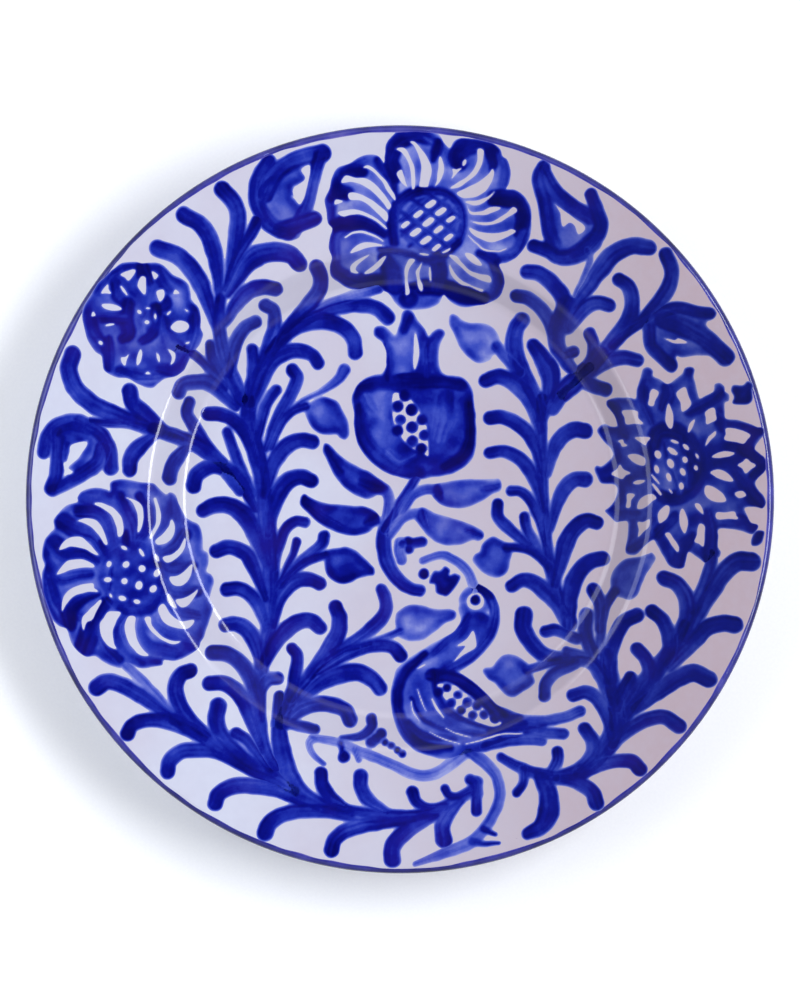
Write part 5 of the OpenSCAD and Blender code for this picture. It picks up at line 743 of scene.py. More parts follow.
PAINTING["carnation"] = [
    pool((-6, 138), (-5.5, 142), (-2.5, 146), (0, 147.4), (6, 147.6), (12, 147.2), (15.5, 146),
          (17.5, 142.5), (20, 140.5), (22, 143.5), (26, 144.4), (32, 143.6), (37, 142.3), (40, 140),
          (41, 137.3), (43, 135.5), (44.2, 131), (43.5, 126.5), (42.5, 124.2), (46, 123.7), (50, 121),
          (52.3, 116), (52.5, 111), (51.8, 105), (50, 101), (47, 97.5), (43, 95), (39.8, 94), (41.5, 90),
          (41.7, 86), (40, 81.5), (35, 78.8), (30, 77.8), (25, 77.3), (21, 79), (17.5, 82.2), (15.5, 79),
          (12, 77), (8, 76.3), (4, 76), (0.5, 76.7), (-2, 79), (-5.5, 83.5), (-12, 84.5), (-17, 84),
          (-22, 85.5), (-27, 89), (-28, 93), (-27.3, 97), (-28.5, 101), (-28, 105), (-27, 108.5),
          (-29, 111), (-29.5, 116), (-30, 120), (-28, 124.5), (-27, 129), (-25, 132.5), (-20, 134.5),
          (-16, 137), (-12, 138), (-8.5, 137), (-6.3, 134.5), tone=0.3),
    shade((5, 6, 5), (-28, 113), (-28, 119), (-26, 123), tone=0.61),
    shade((6, 7, 5), (-21.3, 122.4), (-24, 122.6), (-27, 121), tone=0.83),
    shade((5, 5, 5), (-26.5, 123), (-25, 128.5), (-21, 132), tone=0.59),
    shade((6, 7, 5), (-15.5, 131.2), (-18.5, 131.6), (-22, 130.5), tone=0.82),
    shade((3, 4, 4), (-20, 133.5), (-13, 135.8), (-7, 134), tone=0.45),
    shade((5, 6, 5, 4), (-8.5, 135), (-6, 131), (-3.4, 126.5), (-2.4, 122), tone=0.71),
    shade((8, 9, 8, 6), (-2.6, 130), (-4.5, 136), (-1, 143), (6, 145.4), (11, 144.4), tone=0.82),
    shade((4, 6, 5), (11, 144.5), (16, 141), (18.5, 135), tone=0.55),
    shade((4, 5, 3), (15.2, 142.5), (14.8, 140), (13.5, 136), tone=0.8),
    shade((7, 8, 9, 7, 4), (23.5, 134.5), (23.2, 138), (28, 142), (34, 142), (38.5, 139), tone=0.82),
    shade((5, 5, 3), (36, 139), (37.3, 135), (36.8, 131.8), tone=0.77),
    shade((4, 5, 5), (40.5, 137.5), (42, 132), (41, 126), tone=0.45),
    shade((7, 8, 7, 7, 5), (38, 120.4), (41, 120.5), (46.5, 119.5), (49.5, 113), (48, 106.5), tone=0.88),
    shade((5, 6, 5), (49.6, 106), (46.5, 99), (39, 97), tone=0.59),
    shade((5, 6, 4), (38.5, 93), (36.5, 96.5), (32, 98.5), tone=0.82),
    shade((4, 6, 6, 5), (38, 94), (39.8, 88.5), (37.5, 82.5), (31, 80.5), tone=0.71),
    shade((6, 8, 8, 7), (33, 80.6), (26, 82), (17, 85), (9, 85.2), tone=0.93),
    shade((7, 8, 6), (14.8, 97), (15.6, 91), (15, 86), tone=0.82),
    shade((4, 5, 5), (6, 85.6), (0, 84.4), (-4.5, 84.8), tone=0.88),
    shade((5, 7, 7, 6, 5), (-6, 88.5), (-13, 87.4), (-20, 88.4), (-25.4, 92), (-26.6, 98), tone=0.86),
    shade((6, 9, 9), (-6, 97), (-3.4, 92), (-2.5, 87), tone=0.71),
    shade((5, 6, 4), (-26, 98), (-26.6, 104), (-24, 108.5), tone=0.59),
    shade((5, 8, 6, 4), (-27, 109.4), (-21, 111), (-13, 110.2), (-6.5, 106.5), tone=0.79),
    dot(3.4, 80.6, 4.2, tone=0.72),
    shade((4, 5, 5, 5, 4), (10, 124), (4, 122), (-1, 118), (-3, 110), (-2.2, 103), tone=0.84),
    shade((4, 4, 4.5, 4), (10.5, 123.6), (18, 122.6), (23.6, 117.5), (25, 110), (23.5, 104), tone=0.69),
    shade((4, 4.6, 4, 3), (23, 102.5), (17, 97.6), (9, 96.2), (2, 98.4), (-8, 100), tone=0.79),
    pool((11, 121.5), (19, 119), (22.8, 112), (21.5, 105), (15, 100), (7, 99.5), (1.5, 104), (0.5, 111),
          (4, 118), tone=0.36),
    *windows(
        ((-23.4, 126.8), (-21.6, 129.5), (-17.5, 128.6), (-13, 128.2), (-8.3, 124.6), (-4.9, 120),
         (-3.5, 117.8), (-4.7, 116.2), (-6.8, 118.9), (-10.5, 122.8), (-15, 125.7), (-19.5, 127.1)),
        ((-14.7, 132.8), (-12.5, 133.6), (-9.5, 131.5), (-5.5, 127), (-2.5, 122.5), (-2, 119.8),
         (-3.6, 121.4), (-6.5, 126), (-9.5, 130), (-12.5, 132.3)),
        ((-20.4, 122.5), (-16.5, 122.3), (-12, 120.3), (-8.3, 117.6), (-5.1, 114.6), (-5.4, 111.3),
         (-8.3, 113.9), (-11.5, 116.9), (-15.5, 119.6), (-19.8, 119.9)),
        ((-26, 118.1), (-25.6, 120), (-22.8, 119.3)),
        ((-24.8, 114.8), (-21, 115.9), (-17.5, 116), (-13, 114.6), (-9, 112), (-6, 109.6), (-5.4, 108.2),
         (-8.5, 110.5), (-12, 112.7), (-16, 114.2), (-19.5, 114.1), (-22.8, 113.3)),
    ),
    gap(0.9, (-22, 105), (-18.5, 106.8), (-13.5, 106.8), (-9, 105), (-6.8, 103.4)),
    *windows(
        ((-20, 98.6), (-18, 101.3), (-14.5, 102.9), (-10.5, 102.8), (-6.3, 101.5), (-10, 101.3),
         (-14, 100.6), (-17.5, 99.3)),
        ((-19.7, 91.5), (-19.5, 93.8), (-16, 96.6), (-12.2, 98), (-15.5, 95.5), (-17.8, 92.5),
         (-16.5, 90.7), (-18.6, 90.9)),
        ((-14.2, 90.7), (-10.5, 93.8), (-7.5, 96.5), (-5.5, 97.3), (-7.5, 94), (-10.2, 91.6),
         (-12.2, 90.6)),
        ((3.8, 96.3), (5.8, 95.8), (3.8, 93), (3, 89.5), (3.4, 86), (3.7, 83), (2.4, 82.4), (2.2, 85),
         (2, 88.5), (1.8, 92), (2.6, 94.5)),
        ((8.8, 94.8), (7.8, 91.5), (8, 88.5), (9, 85.8), (8.8, 83.8), (7.6, 84.8), (7, 88), (6.3, 91.4),
         (7.4, 93.2)),
    ),
    gap(0.9, (11.7, 93), (12, 90.5), (12.2, 88)),
    *windows(
        ((-1.4, 140.2), (1.5, 140.5), (3.5, 138), (5.3, 134), (6, 130), (5.9, 125.5), (5, 124),
         (4.5, 127), (4.2, 131), (3, 135.5), (0.8, 138.6)),
        ((-1.2, 130.6), (0.5, 131.9), (1.4, 129.8), (2.2, 127), (3, 124.9), (1, 126.5), (-0.4, 128.5)),
        ((4.2, 143), (5.8, 142.8), (8.5, 140), (11, 136.5), (12.5, 133), (12.3, 129.5), (11.5, 126),
         (10.8, 125.2), (8, 125.2), (7.7, 126), (8.3, 129), (8.5, 133), (7.5, 137.5), (5.8, 141)),
        ((15.4, 135), (16, 137), (17, 135.5), (17.5, 131.5), (16.6, 128.5), (14.2, 125.5), (14.8, 128),
         (15.2, 131)),
    ),
    gap(1.3, (26.2, 135.5), (25.4, 133.9)),
    *windows(
        ((21, 132.3), (22.5, 132), (24.5, 132.5), (23, 130.8), (20.6, 128.3), (21.2, 130.3)),
        ((20, 124.6), (23, 126.8), (26.5, 128.8), (29.5, 132), (31, 135.5), (31.2, 139.8), (33.3, 139.6),
         (33.2, 136), (32.3, 133), (30.5, 130), (27, 127.2), (23.5, 125)),
        ((22.8, 122.8), (27, 124.8), (32, 127.3), (35.5, 130.3), (37, 132.2), (37.6, 130.5), (36.5, 127),
         (34.5, 123.8), (31, 121.5), (27.5, 120.6), (24.8, 121)),
        ((26, 119.2), (30, 119.6), (34.5, 120.8), (37.8, 123.2), (36.3, 121.3), (33, 118.5), (29, 117.8)),
        ((26.7, 117.5), (28.6, 115.2), (32, 115.1), (36.5, 116.9), (40.3, 116.7), (37.5, 114.9),
         (33, 113.9), (28.5, 114.2)),
        ((28.2, 111.6), (32, 110.9), (37, 111.3), (42, 114.2), (45.2, 116.9), (46.8, 115.4),
         (43.5, 113.2), (40, 111), (35.5, 109.9), (31, 110.2)),
        ((27.9, 108.9), (31.5, 107.2), (37, 106.4), (42, 107.2), (44.6, 108.2), (46.3, 107.1),
         (42, 104.8), (37, 103.1), (33, 104), (29, 106.3)),
    ),
    gap(0.7, (27.5, 105.5), (30.5, 102.5), (34, 100), (39, 99.3), (42.5, 100.4)),
    *windows(
        ((26, 98.5), (28.5, 98.4), (31, 96.5), (32.8, 93.8), (30.5, 94), (27.5, 96)),
        ((19.6, 97.8), (22.6, 97.4), (25, 94.5), (28, 91.8), (32, 90.2), (35.8, 89.6), (36.6, 87.2),
         (34, 87.4), (30, 89), (26, 91.7), (22.8, 94.6)),
        ((19.9, 94.2), (21.5, 91.5), (24, 88.5), (27.5, 86.3), (31.5, 84.8), (33.3, 84.2), (32.5, 83.5),
         (28.5, 85.2), (24.5, 86.4), (21, 89.5), (19.8, 92.5)),
    ),
    gap(0.8, (17.2, 99), (20, 100.4)),
    gap(0.9, (8, 98.5), (11.2, 98)),
] + weave((11.3, 111.1), (5.0, 4.1), (4.1, -3.1), (12, 110.4), 12)
PAINTING["upper_right_tulip"] = [
    pool((57, 130), (62, 122), (70, 116), (78, 115), (80, 107), (75, 100), (66, 96.5), (56, 100),
          (60, 108), (58, 118), tone=0.35),
    brush((5.5, 6), (57.5, 133), (55.5, 128), (58, 118), (59.5, 108), (62, 102)),
    brush((5, 6.5), (57.5, 132), (62, 124), (69, 117.5), (76, 113)),
    brush((5.5, 7), (76.5, 122), (79, 115), (80.5, 109), (77, 103), (70, 98)),
    brush((5.4, 8), (53.5, 101.5), (59, 99.5), (64, 97), (71, 98), (77, 103)),
    brush((2.5, 2.5, 2.5), (75, 100), (76, 96), (74, 90), (70, 81), tone=0.3),
    window((62, 118.2), (63.5, 117), (69, 113), (74, 109), (71.5, 106), (70, 109.5), (68, 110.7),
          (65.2, 109.3), (64.5, 112), (64, 115)),
]
PAINTING["upper_right_spray"] = [
    brush((6.5, 8, 5), (99.5, 100.7), (93, 101.3), (86, 98.5), (80.5, 92.5), (76, 86), (70, 78)),
    brush((6, 6.5, 4), (106.4, 98), (108.6, 92), (107.8, 85.5), (103.5, 79), (98, 73), (91, 67)),
    brush((5.7, 7, 7), (87.6, 88), (91.5, 85), (93, 79), (91.5, 71.5), (86, 64), (78, 54)),
    brush((5.8, 6.5, 5), (83.7, 77.6), (79, 78.7), (74, 76.5), (68, 69)),
    brush((6, 7, 6), (51, 91.2), (56, 90.3), (61.5, 86), (65.5, 80), (66.5, 69)),
    brush((5.5, 5.5, 6), (46.7, 81.7), (51.5, 80.5), (56.5, 76.5), (60.5, 70.5), (63.5, 61)),
    brush((5, 5, 5), (69.6, 59.2), (66, 58), (63, 60)),
    brush((5, 5, 5), (76, 66.5), (77.5, 62), (77, 56), (74, 49)),
    brush((5.5, 6.5, 5), (95, 55.7), (90, 56.7), (84, 55.7), (77, 51)),
    brush((6, 6, 6), (82.3, 44), (78, 45.5), (73, 48)),
    brush((4, 4, 4), (99, 71.5), (92, 67.5), (85, 62)),
    brush((8, 7, 5), (67, 78), (63.5, 70), (63, 62), (67, 55), (70, 51)),
    brush((7, 7, 7), (80, 58), (75, 52), (70, 46), (65, 42)),
]
PAINTING["right_tulip"] = [
    pool((100, 74.5), (105, 78), (110, 79.3), (115, 78.6), (120, 76.5), (126.3, 74.5), (122.5, 70.3),
          (126, 66), (130, 61.5), (134, 57), (131, 53.3), (128, 53.8), (124.5, 57), (120, 57.7),
          (113, 56.8), (110.5, 57), (111, 53), (109.5, 50.8), (107, 51.5), (105, 54), (101, 57),
          (98.5, 61), (98, 66), tone=0.35),
    brush((5, 6), (124, 74.3), (118, 75), (111, 76.3), (104, 74), (99.5, 70)),
    brush((7.2, 8), (130.5, 57), (122, 64.5), (114, 69), (106, 72)),
    brush((5.2, 5.5), (108.5, 53.5), (104, 57.5), (100.5, 62), (100, 68)),
    window((106, 64.5), (110, 63.5), (111.5, 64.3), (115, 62.8), (110, 62.4)),
]
PAINTING["right_frond"] = [
    brush((7, 5, 5, 4.5, 5, 6, 7), (57, 40), (56.5, 28), (57, 14), (57.5, 2), (58.5, -10), (59.5, -22),
          (61.5, -32), (64, -42), (68, -50)),
    brush((6.5, 8, 6), (49, 72), (46.5, 68), (45.8, 61), (48, 53), (52, 45), (57, 34)),
    brush((5.6, 9, 6), (53.5, 62), (57, 57), (60.5, 50), (60, 40)),
    brush((7, 7, 7), (76, 53), (71, 49), (66, 44), (61, 37)),
    pool((20, 73.5), (21, 74.5), (23, 73.7), (25, 72), (28, 71), (33, 70.7), (36, 69.7), (38.5, 67.5),
          (40, 64), (40, 60), (37.2, 58), (36, 56.2), (33, 54.8), (30, 55.2), (27, 57.5), (24, 61.5),
          (22, 66), (20, 70), tone=0.3),
    brush((4.5, 4.5, 4.5), (39, 61.5), (42, 57.5), (48, 51), tone=0.35),
    brush((6, 7.5, 4), (34.5, 47.7), (39.5, 49.3), (45, 47.5), (50, 43), (53.5, 37), (56, 28)),
    brush((5.8, 6.3, 4), (36.2, 32.6), (41, 33), (46.5, 30.8), (51, 27), (54.5, 21), (57, 12)),
    brush((5, 6, 3), (36, 18.6), (41.5, 19.3), (47, 17), (51.5, 12.5), (55, 5), (57.5, -5)),
    brush((4.5, 4.5, 2.5), (44.7, 3.4), (48.5, 3), (52.5, -0.5), (55.5, -7), (58.5, -18)),
    brush((5, 5, 3.5), (39.3, -2), (39.5, -7), (44, -12), (52, -19)),
    brush((4.5, 4.5, 3), (50, -7), (51, -12), (54.5, -18), (58, -25)),
    pool((37, -15), (41, -16.5), (44, -18.5), (45, -20), (44.5, -24), (43, -29), (40, -31.3), (36.5, -31),
          (33, -29), (30, -26), (29.2, -24.3), (30, -22.3), (32, -21), (33, -18), tone=0.3),
    brush((3.8, 3.8, 3.8), (43, -19.3), (48, -19.5), (54, -21.5), (60, -27)),
    brush((5.5, 7, 4), (45, -34.8), (49.5, -32.5), (54.5, -34), (59.5, -38.5), (66, -46.5)),
    brush((6.8, 6.5, 3), (74.3, 27.5), (70, 27.8), (65.5, 25.5), (62, 20.5), (59.5, 10)),
    brush((6.5, 6, 3), (74.5, 8), (70.5, 8), (66.5, 5), (63.5, -1), (60.5, -12)),
    brush((5.8, 7.5, 4), (79, -9.3), (75, -8.5), (71, -11), (67, -17), (64.5, -26), (62.5, -34)),
    brush((6, 7.5, 6), (81.5, -23.8), (77, -24.8), (73, -28), (69.5, -34), (68, -42), (68, -50)),
]
PAINTING["lower_right_spray"] = [
    brush((6, 7, 8, 9, 9, 8, 7, 5), (114, -50), (109, -60), (101, -70), (94, -79), (88, -88), (84, -97),
          (77, -106), (66, -111), (55, -110)),
    brush((7, 7.5, 8), (83, -62), (84, -70), (86, -80), (87, -90)),
    brush((4, 6, 7), (60, -64.5), (68, -64.5), (76, -65), (81, -71), (85, -80)),
    brush((8, 7.5, 5), (140.5, -25), (135, -25), (130, -29), (125.5, -35.5), (121, -43), (114, -56)),
    brush((5, 5, 5), (125, -21), (124, -28), (121, -36), (117, -45)),
    brush((7, 7, 5), (134, -50.2), (129, -49.7), (123, -51.5), (117.5, -57), (108, -67)),
    brush((7, 7.5, 5), (123.5, -72), (117.5, -69.5), (111, -71.8), (104, -76.5), (94, -84)),
    brush((6.3, 6, 5), (111.5, -90.8), (106, -87.3), (100.5, -87.7), (93.5, -91), (85, -98)),
    brush((6, 5.5, 5), (96, -108), (93, -105), (87, -104.8), (80.5, -106.3), (71, -110)),
    brush((6.5, 6, 3), (78.5, -121.5), (76.8, -117), (71, -113.5), (62, -112)),
    brush((6.3, 7, 6), (105.8, -31.6), (111, -34), (114.7, -39.5), (115, -47), (112, -56)),
    brush((5.7, 6.5, 5), (101, -44.9), (105, -48.3), (107.8, -54.5), (107.5, -62), (103, -71)),
    brush((5.5, 6, 5), (95, -60), (98.5, -64), (99.7, -70), (97.5, -77), (91, -86)),
    brush((5.5, 5, 4), (92.3, -71.5), (89.7, -76), (87, -84)),
    brush((6, 6.5, 6), (95, -46.5), (90, -49), (86.5, -55), (84, -63), (84, -72)),
    pool((88, -26), (91, -23.8), (96, -23), (99.5, -22), (101, -21.5), (102.5, -23.5), (101, -26.5),
          (99, -29.5), (97, -34), (95, -38.5), (92, -40.3), (89, -39.5), (87.5, -38.8), (85, -36),
          (84.5, -33), (85.5, -29), tone=0.3),
    brush((4, 4, 4), (86, -37), (82.5, -43), (81, -50), (80, -60)),
    brush((6, 5, 4), (77.8, -36.5), (80.3, -42), (80, -52)),
    brush((6, 6, 6), (75, -46.5), (74.5, -53), (77, -62)),
    brush((7.5, 7, 5), (49.8, -46.5), (49.5, -52), (53, -58), (58, -62.5), (66, -64)),
    brush((5, 5, 5), (58.5, -53.1), (63, -52.6), (71, -56)),
    brush((4, 4, 4), (67, -61), (74, -63)),
    pool((44, -62.5), (47, -63), (50, -65), (51.5, -66.5), (54, -72), (53.5, -74.5), (50, -77),
          (46, -79.3), (43, -79), (40, -76), (38, -74), (35, -72), (33.3, -69.5), (34, -68), (37, -67.3),
          (39, -65), (41, -63), tone=0.35),
    brush((3.8, 3.8, 3.8), (51, -68.5), (57, -66.8), (64, -64.5)),
    brush((5, 5, 5), (58, -79), (58.5, -74), (62.5, -69.5), (70, -66)),
    brush((5.3, 6, 4), (69.3, -78.6), (74.5, -77.3), (79.5, -80.5), (83, -87), (85, -95)),
    brush((5.5, 6.5, 4), (74, -92), (77, -96.5), (77.3, -101.5), (72, -107.5)),
    brush((4.8, 5, 4), (63, -101), (63, -105), (60, -109.5)),
    brush((4, 5, 5), (40.5, -103.4), (46, -106.5), (53, -109.5), (62, -111.5)),
    brush((4, 4, 4), (46.7, -117.6), (49.3, -113.5), (49.5, -108)),
    brush((5, 9, 7), (51, -133.8), (56.5, -131), (59.5, -125), (59.3, -118), (57, -112)),
]
PAINTING["bird"] = [
    dot(30.3, -41, 6.5, tone=0.3),
    brush((4, 4.5, 5), (31, -36), (36, -39.5), (38, -46), (37, -53), (32, -60), (26, -65), (19, -69),
          tone=0.6),
    brush((4, 5, 6), (25.5, -44), (26.5, -49), (23, -55), (15, -60), (7, -65), (1, -70), tone=0.35),
    pool((27, -46), (33, -45), (37, -48), (37, -54), (31, -62), (25, -66), (18, -70), (20, -77), (30, -80),
          (40, -83), (50, -87), (58, -89), (58, -93), (45, -97), (33, -101.3), (25, -104), (17, -104),
          (8, -101.5), (4, -99), (0, -94.5), (-3, -86), (-3.7, -78), (-2.5, -72), (0, -68.5), (8, -63),
          (17, -58), (24, -52), tone=0.4),
    brush((4.8, 4.5, 8), (72, -85), (66, -87.3), (57, -89), (45, -90), tone=0.4),
    brush((4.8, 4.8, 4.8), (65.5, -94), (58, -93.5), (50, -92), tone=0.4),
    brush((4, 4.2, 4.5), (57, -97), (52, -96.5), (44, -97), (34, -99), tone=0.4),
    brush((5, 5.4, 5.4, 5, 5, 5.5), (12.5, -70.8), (21, -71.6), (28.5, -76), (34.5, -81.4), (39.2, -86.4),
          (45, -89.3), tone=0.8),
    shade((3, 4.5, 5, 5, 5, 4), (10, -62), (2.2, -69.5), (-1, -78), (-0.4, -86.8), (4, -95), (11, -99.6),
          (20, -99.8), tone=0.82),
    shade((3, 4, 3), (27.6, -46.8), (21.9, -54), (13.3, -62), tone=0.7),
    shade((3, 4, 4, 3), (36.4, -38), (38.2, -44), (35.8, -54), (28.6, -62.4), (20, -68), tone=0.6),
    shade((4, 5, 3), (30.5, -33.8), (34, -35.2), (36.8, -39), tone=0.86),
    shade((3, 4, 4, 3.5), (13.5, -69.5), (21.9, -71), (30.5, -75.4), (37.6, -82.4), (42, -87.5), tone=0.84),
    shade((3, 3.5, 3.5, 3), (14.3, -70), (14.8, -77), (19, -84), (27, -88.6), (37.6, -90.4), (48, -87),
          tone=0.8),
    shade((2.5, 3.5, 3), (3.4, -89.6), (10.4, -95), (22, -96.4), tone=0.76),
    shade((2, 3, 2.5, 2), (4.7, -80), (10, -88.5), (22.5, -92.8), (40, -95), tone=0.7),
    shade((3, 5, 3), (36, -93), (43, -91.5), (50, -90), tone=0.74),
    hole(30.3, -41, 6.8, 6.8),
    *windows(
        ((29.5, -53), (27, -56), (23, -59), (26.3, -59), (23, -63.5), (22, -65), (27, -61.5),
         (30.5, -59)),
        ((15, -74.5), (22, -75), (26, -78), (30, -81), (34, -84.5), (36, -87), (40.5, -89.5), (38, -91),
         (35, -90.7), (30, -89), (25, -87), (21.5, -84), (18, -80)),
    ),
    gap(0.6, (4.5, -81.5), (5.5, -86), (8, -89.3)),
    gap(0.5, (7, -76.5), (8.5, -81), (10.5, -85)),
    gap(1, (13, -80.5), (15, -84.5), (17.5, -87.5)),
    gap(0.5, (12, -93.5), (17, -96), (24, -98)),
    gap(0.5, (18.5, -92), (23, -94), (28, -95.4)),
    gap(0.6, (26.5, -98), (33, -96.5), (40, -94.3), (49, -93.8)),
    gap(0.6, (10, -66.5), (7, -68)),
    *dots((30.3, -40.6, 2.1), (19, -75.8, 1.8), (15.5, -77.5, 2), (23.3, -78.6, 1.8), (20.5, -82, 2),
          (27, -81.7, 2), (31, -83, 1.9), (24.6, -84.8, 1.9), (29.1, -86.8, 1.8), (33.6, -86.6, 1.8),
          (38, -88, 2)),
]
PAINTING["bird_plume"] = [
    brush((3, 3.8, 4), (9, -24.8), (16.5, -22.5), (22.5, -24.8), (27.5, -29.5), (30, -36), tone=0.3),
    dot(9.5, -30, 2.2),
    pool((12, -32), (13.5, -29), (16, -28.7), (18, -27), (20, -28.5), (20, -30.5), (22, -29.8),
          (24.3, -31), (23.5, -33.5), (21, -37), (19, -39), (17, -38.7), (14.5, -37.5), (14, -34.5),
          (12, -34), tone=0.6),
    brush((4.4, 4.2, 5), (8.8, -17), (5.2, -17.6), (1, -18), tone=0.55),
    dot(3.6, -20.3, 1.9),
    dot(3.3, -16.6, 1.8),
    brush((4.6, 4.4, 4.6), (0.6, -24.2), (-0.3, -20.5), (0, -17.5), tone=0.35),
]
PAINTING["bird_stems"] = [
    brush((3, 4, 4.5, 5), (-35, -95.5), (-25, -97.5), (-15, -101.5), (-5, -105.5), (5, -110), (12, -110.5),
          (19, -107), (27, -101), tone=0.25),
    brush((2, 2.5, 3), (-30.5, -106), (-35, -102), (-36.5, -98), (-34, -95.5), tone=0.25),
    dot(-22.5, -103.3, 2.6),
    brush((3, 2.5, 2.5), (-22.7, -103), (-23.4, -100.5), (-24, -98)),
    brush((2.5, 2.5, 2.5), (-16.5, -104.5), (-17.5, -102), (-18, -100), tone=0.3),
    brush((5, 4.5, 4.5, 5, 2), (28, -101), (34, -105.5), (38.5, -111), (40, -118), (38, -125),
          (34, -131.5), (28, -137.5), (18, -141.5), (6, -146), tone=0.3),
    brush((2, 2.5, 3), (38, -134), (35.5, -133), (33.5, -132)),
    brush((1.5, 2.5, 3.5), (39.5, -137.5), (34, -137.8), (29, -137.2)),
    brush((4.6, 4, 1.8), (-11.5, -88), (-11.5, -91.5), (-16, -95), (-23.5, -95.5), tone=0.7),
    *dots((-7.5, -94, 2.3), (-11.5, -97.5, 2.4), (-9.5, -96, 2.3), (-6, -97.5, 1.5), (-3.5, -98.8, 1.6),
          (-1, -100.5, 1.5), (1, -102, 1.7)),
]
PAINTING["pomegranate"] = [
    pool((-6, 50.5), (-12, 49.5), (-16, 47), (-18.5, 43.5), (-19.3, 40), (-18.3, 35), (-18.4, 29),
          (-17.5, 24), (-15, 19), (-11, 14.5), (-6, 11), (-1, 9.3), (4, 7.8), (8, 8), (14, 9), (20, 10),
          (25, 12.5), (28.5, 15.5), (30, 19), (30.8, 24), (30.5, 32), (29.7, 39), (29, 44), (26, 48.3),
          (22, 49.7), (18, 50), (6, 52), tone=0.62),
    pool((-5.5, 48), (-5.5, 54), (-5.5, 59), (-7, 63), (-9.5, 65), (-10.5, 66.5), (-10, 69), (-8, 69.7),
          (-5.5, 69), (-2, 66), (0, 71), (1, 75), (3, 76.3), (5, 75.3), (7, 72), (10, 68), (11.5, 65.5),
          (13, 67), (15, 68.5), (17, 68.3), (18, 66.5), (16.5, 63.5), (15.5, 60), (15.5, 55), (16.5, 51.5),
          (17.5, 48), tone=0.46),
    shade((5, 6, 6, 6, 5), (-15.5, 44.6), (-6.8, 46.6), (4.7, 46.6), (16.2, 47), (24.5, 45.5), tone=0.9),
    shade((5, 7, 7, 7, 5), (-16, 36.6), (-15, 26.6), (-10.5, 19), (-2, 13), (8, 11), tone=0.76),
    shade((3, 4, 5, 4), (27.4, 38), (28, 26.6), (25.6, 18.5), (18, 13.4), tone=0.96),
    shade((5, 7, 5), (-13.4, 40.6), (-12.4, 38.4), (-11, 36.6), tone=0.4),
    shade((8, 10, 8), (18.4, 40.5), (17.8, 33), (16, 26), tone=0.52),
    shade((4, 5, 4), (5, 18), (0, 16), (-4, 19), tone=0.48),
    shade((3, 4, 3), (-4.4, 48.5), (-4.6, 56), (-6, 62), tone=0.7),
    shade((3, 3, 2.4), (11, 50), (10.4, 57), (10.8, 63), tone=0.66),
    shade((4, 4), (3.5, 73), (1.5, 68), tone=0.62),
    *windows(
        ((6, 67), (7.4, 62), (7.5, 57), (5.9, 52.2), (5.3, 57)),
        ((-2.5, 42.5), (0.2, 42.4), (4.3, 40), (7, 36.8), (8.2, 34.5), (10.5, 29.5), (10.8, 27),
         (11.3, 22), (11.4, 17.8), (10.2, 17.9), (9, 19), (6, 20), (3, 22), (0.3, 25.2), (-1, 28),
         (-2.5, 31), (-2.8, 34), (-3.2, 38), (-3, 40.5)),
    ),
    *dots((-1, 37.3, 2.3), (4.7, 35.9, 2.5), (0.2, 32, 2.1), (8.9, 32, 2.2), (4.9, 29, 2.4),
          (-0.9, 27.6, 2.3), (9.8, 25.8, 2.2), (4.9, 23.3, 2.4), (8.6, 20.3, 2.2), (2, 41.5, 2.3)),
]
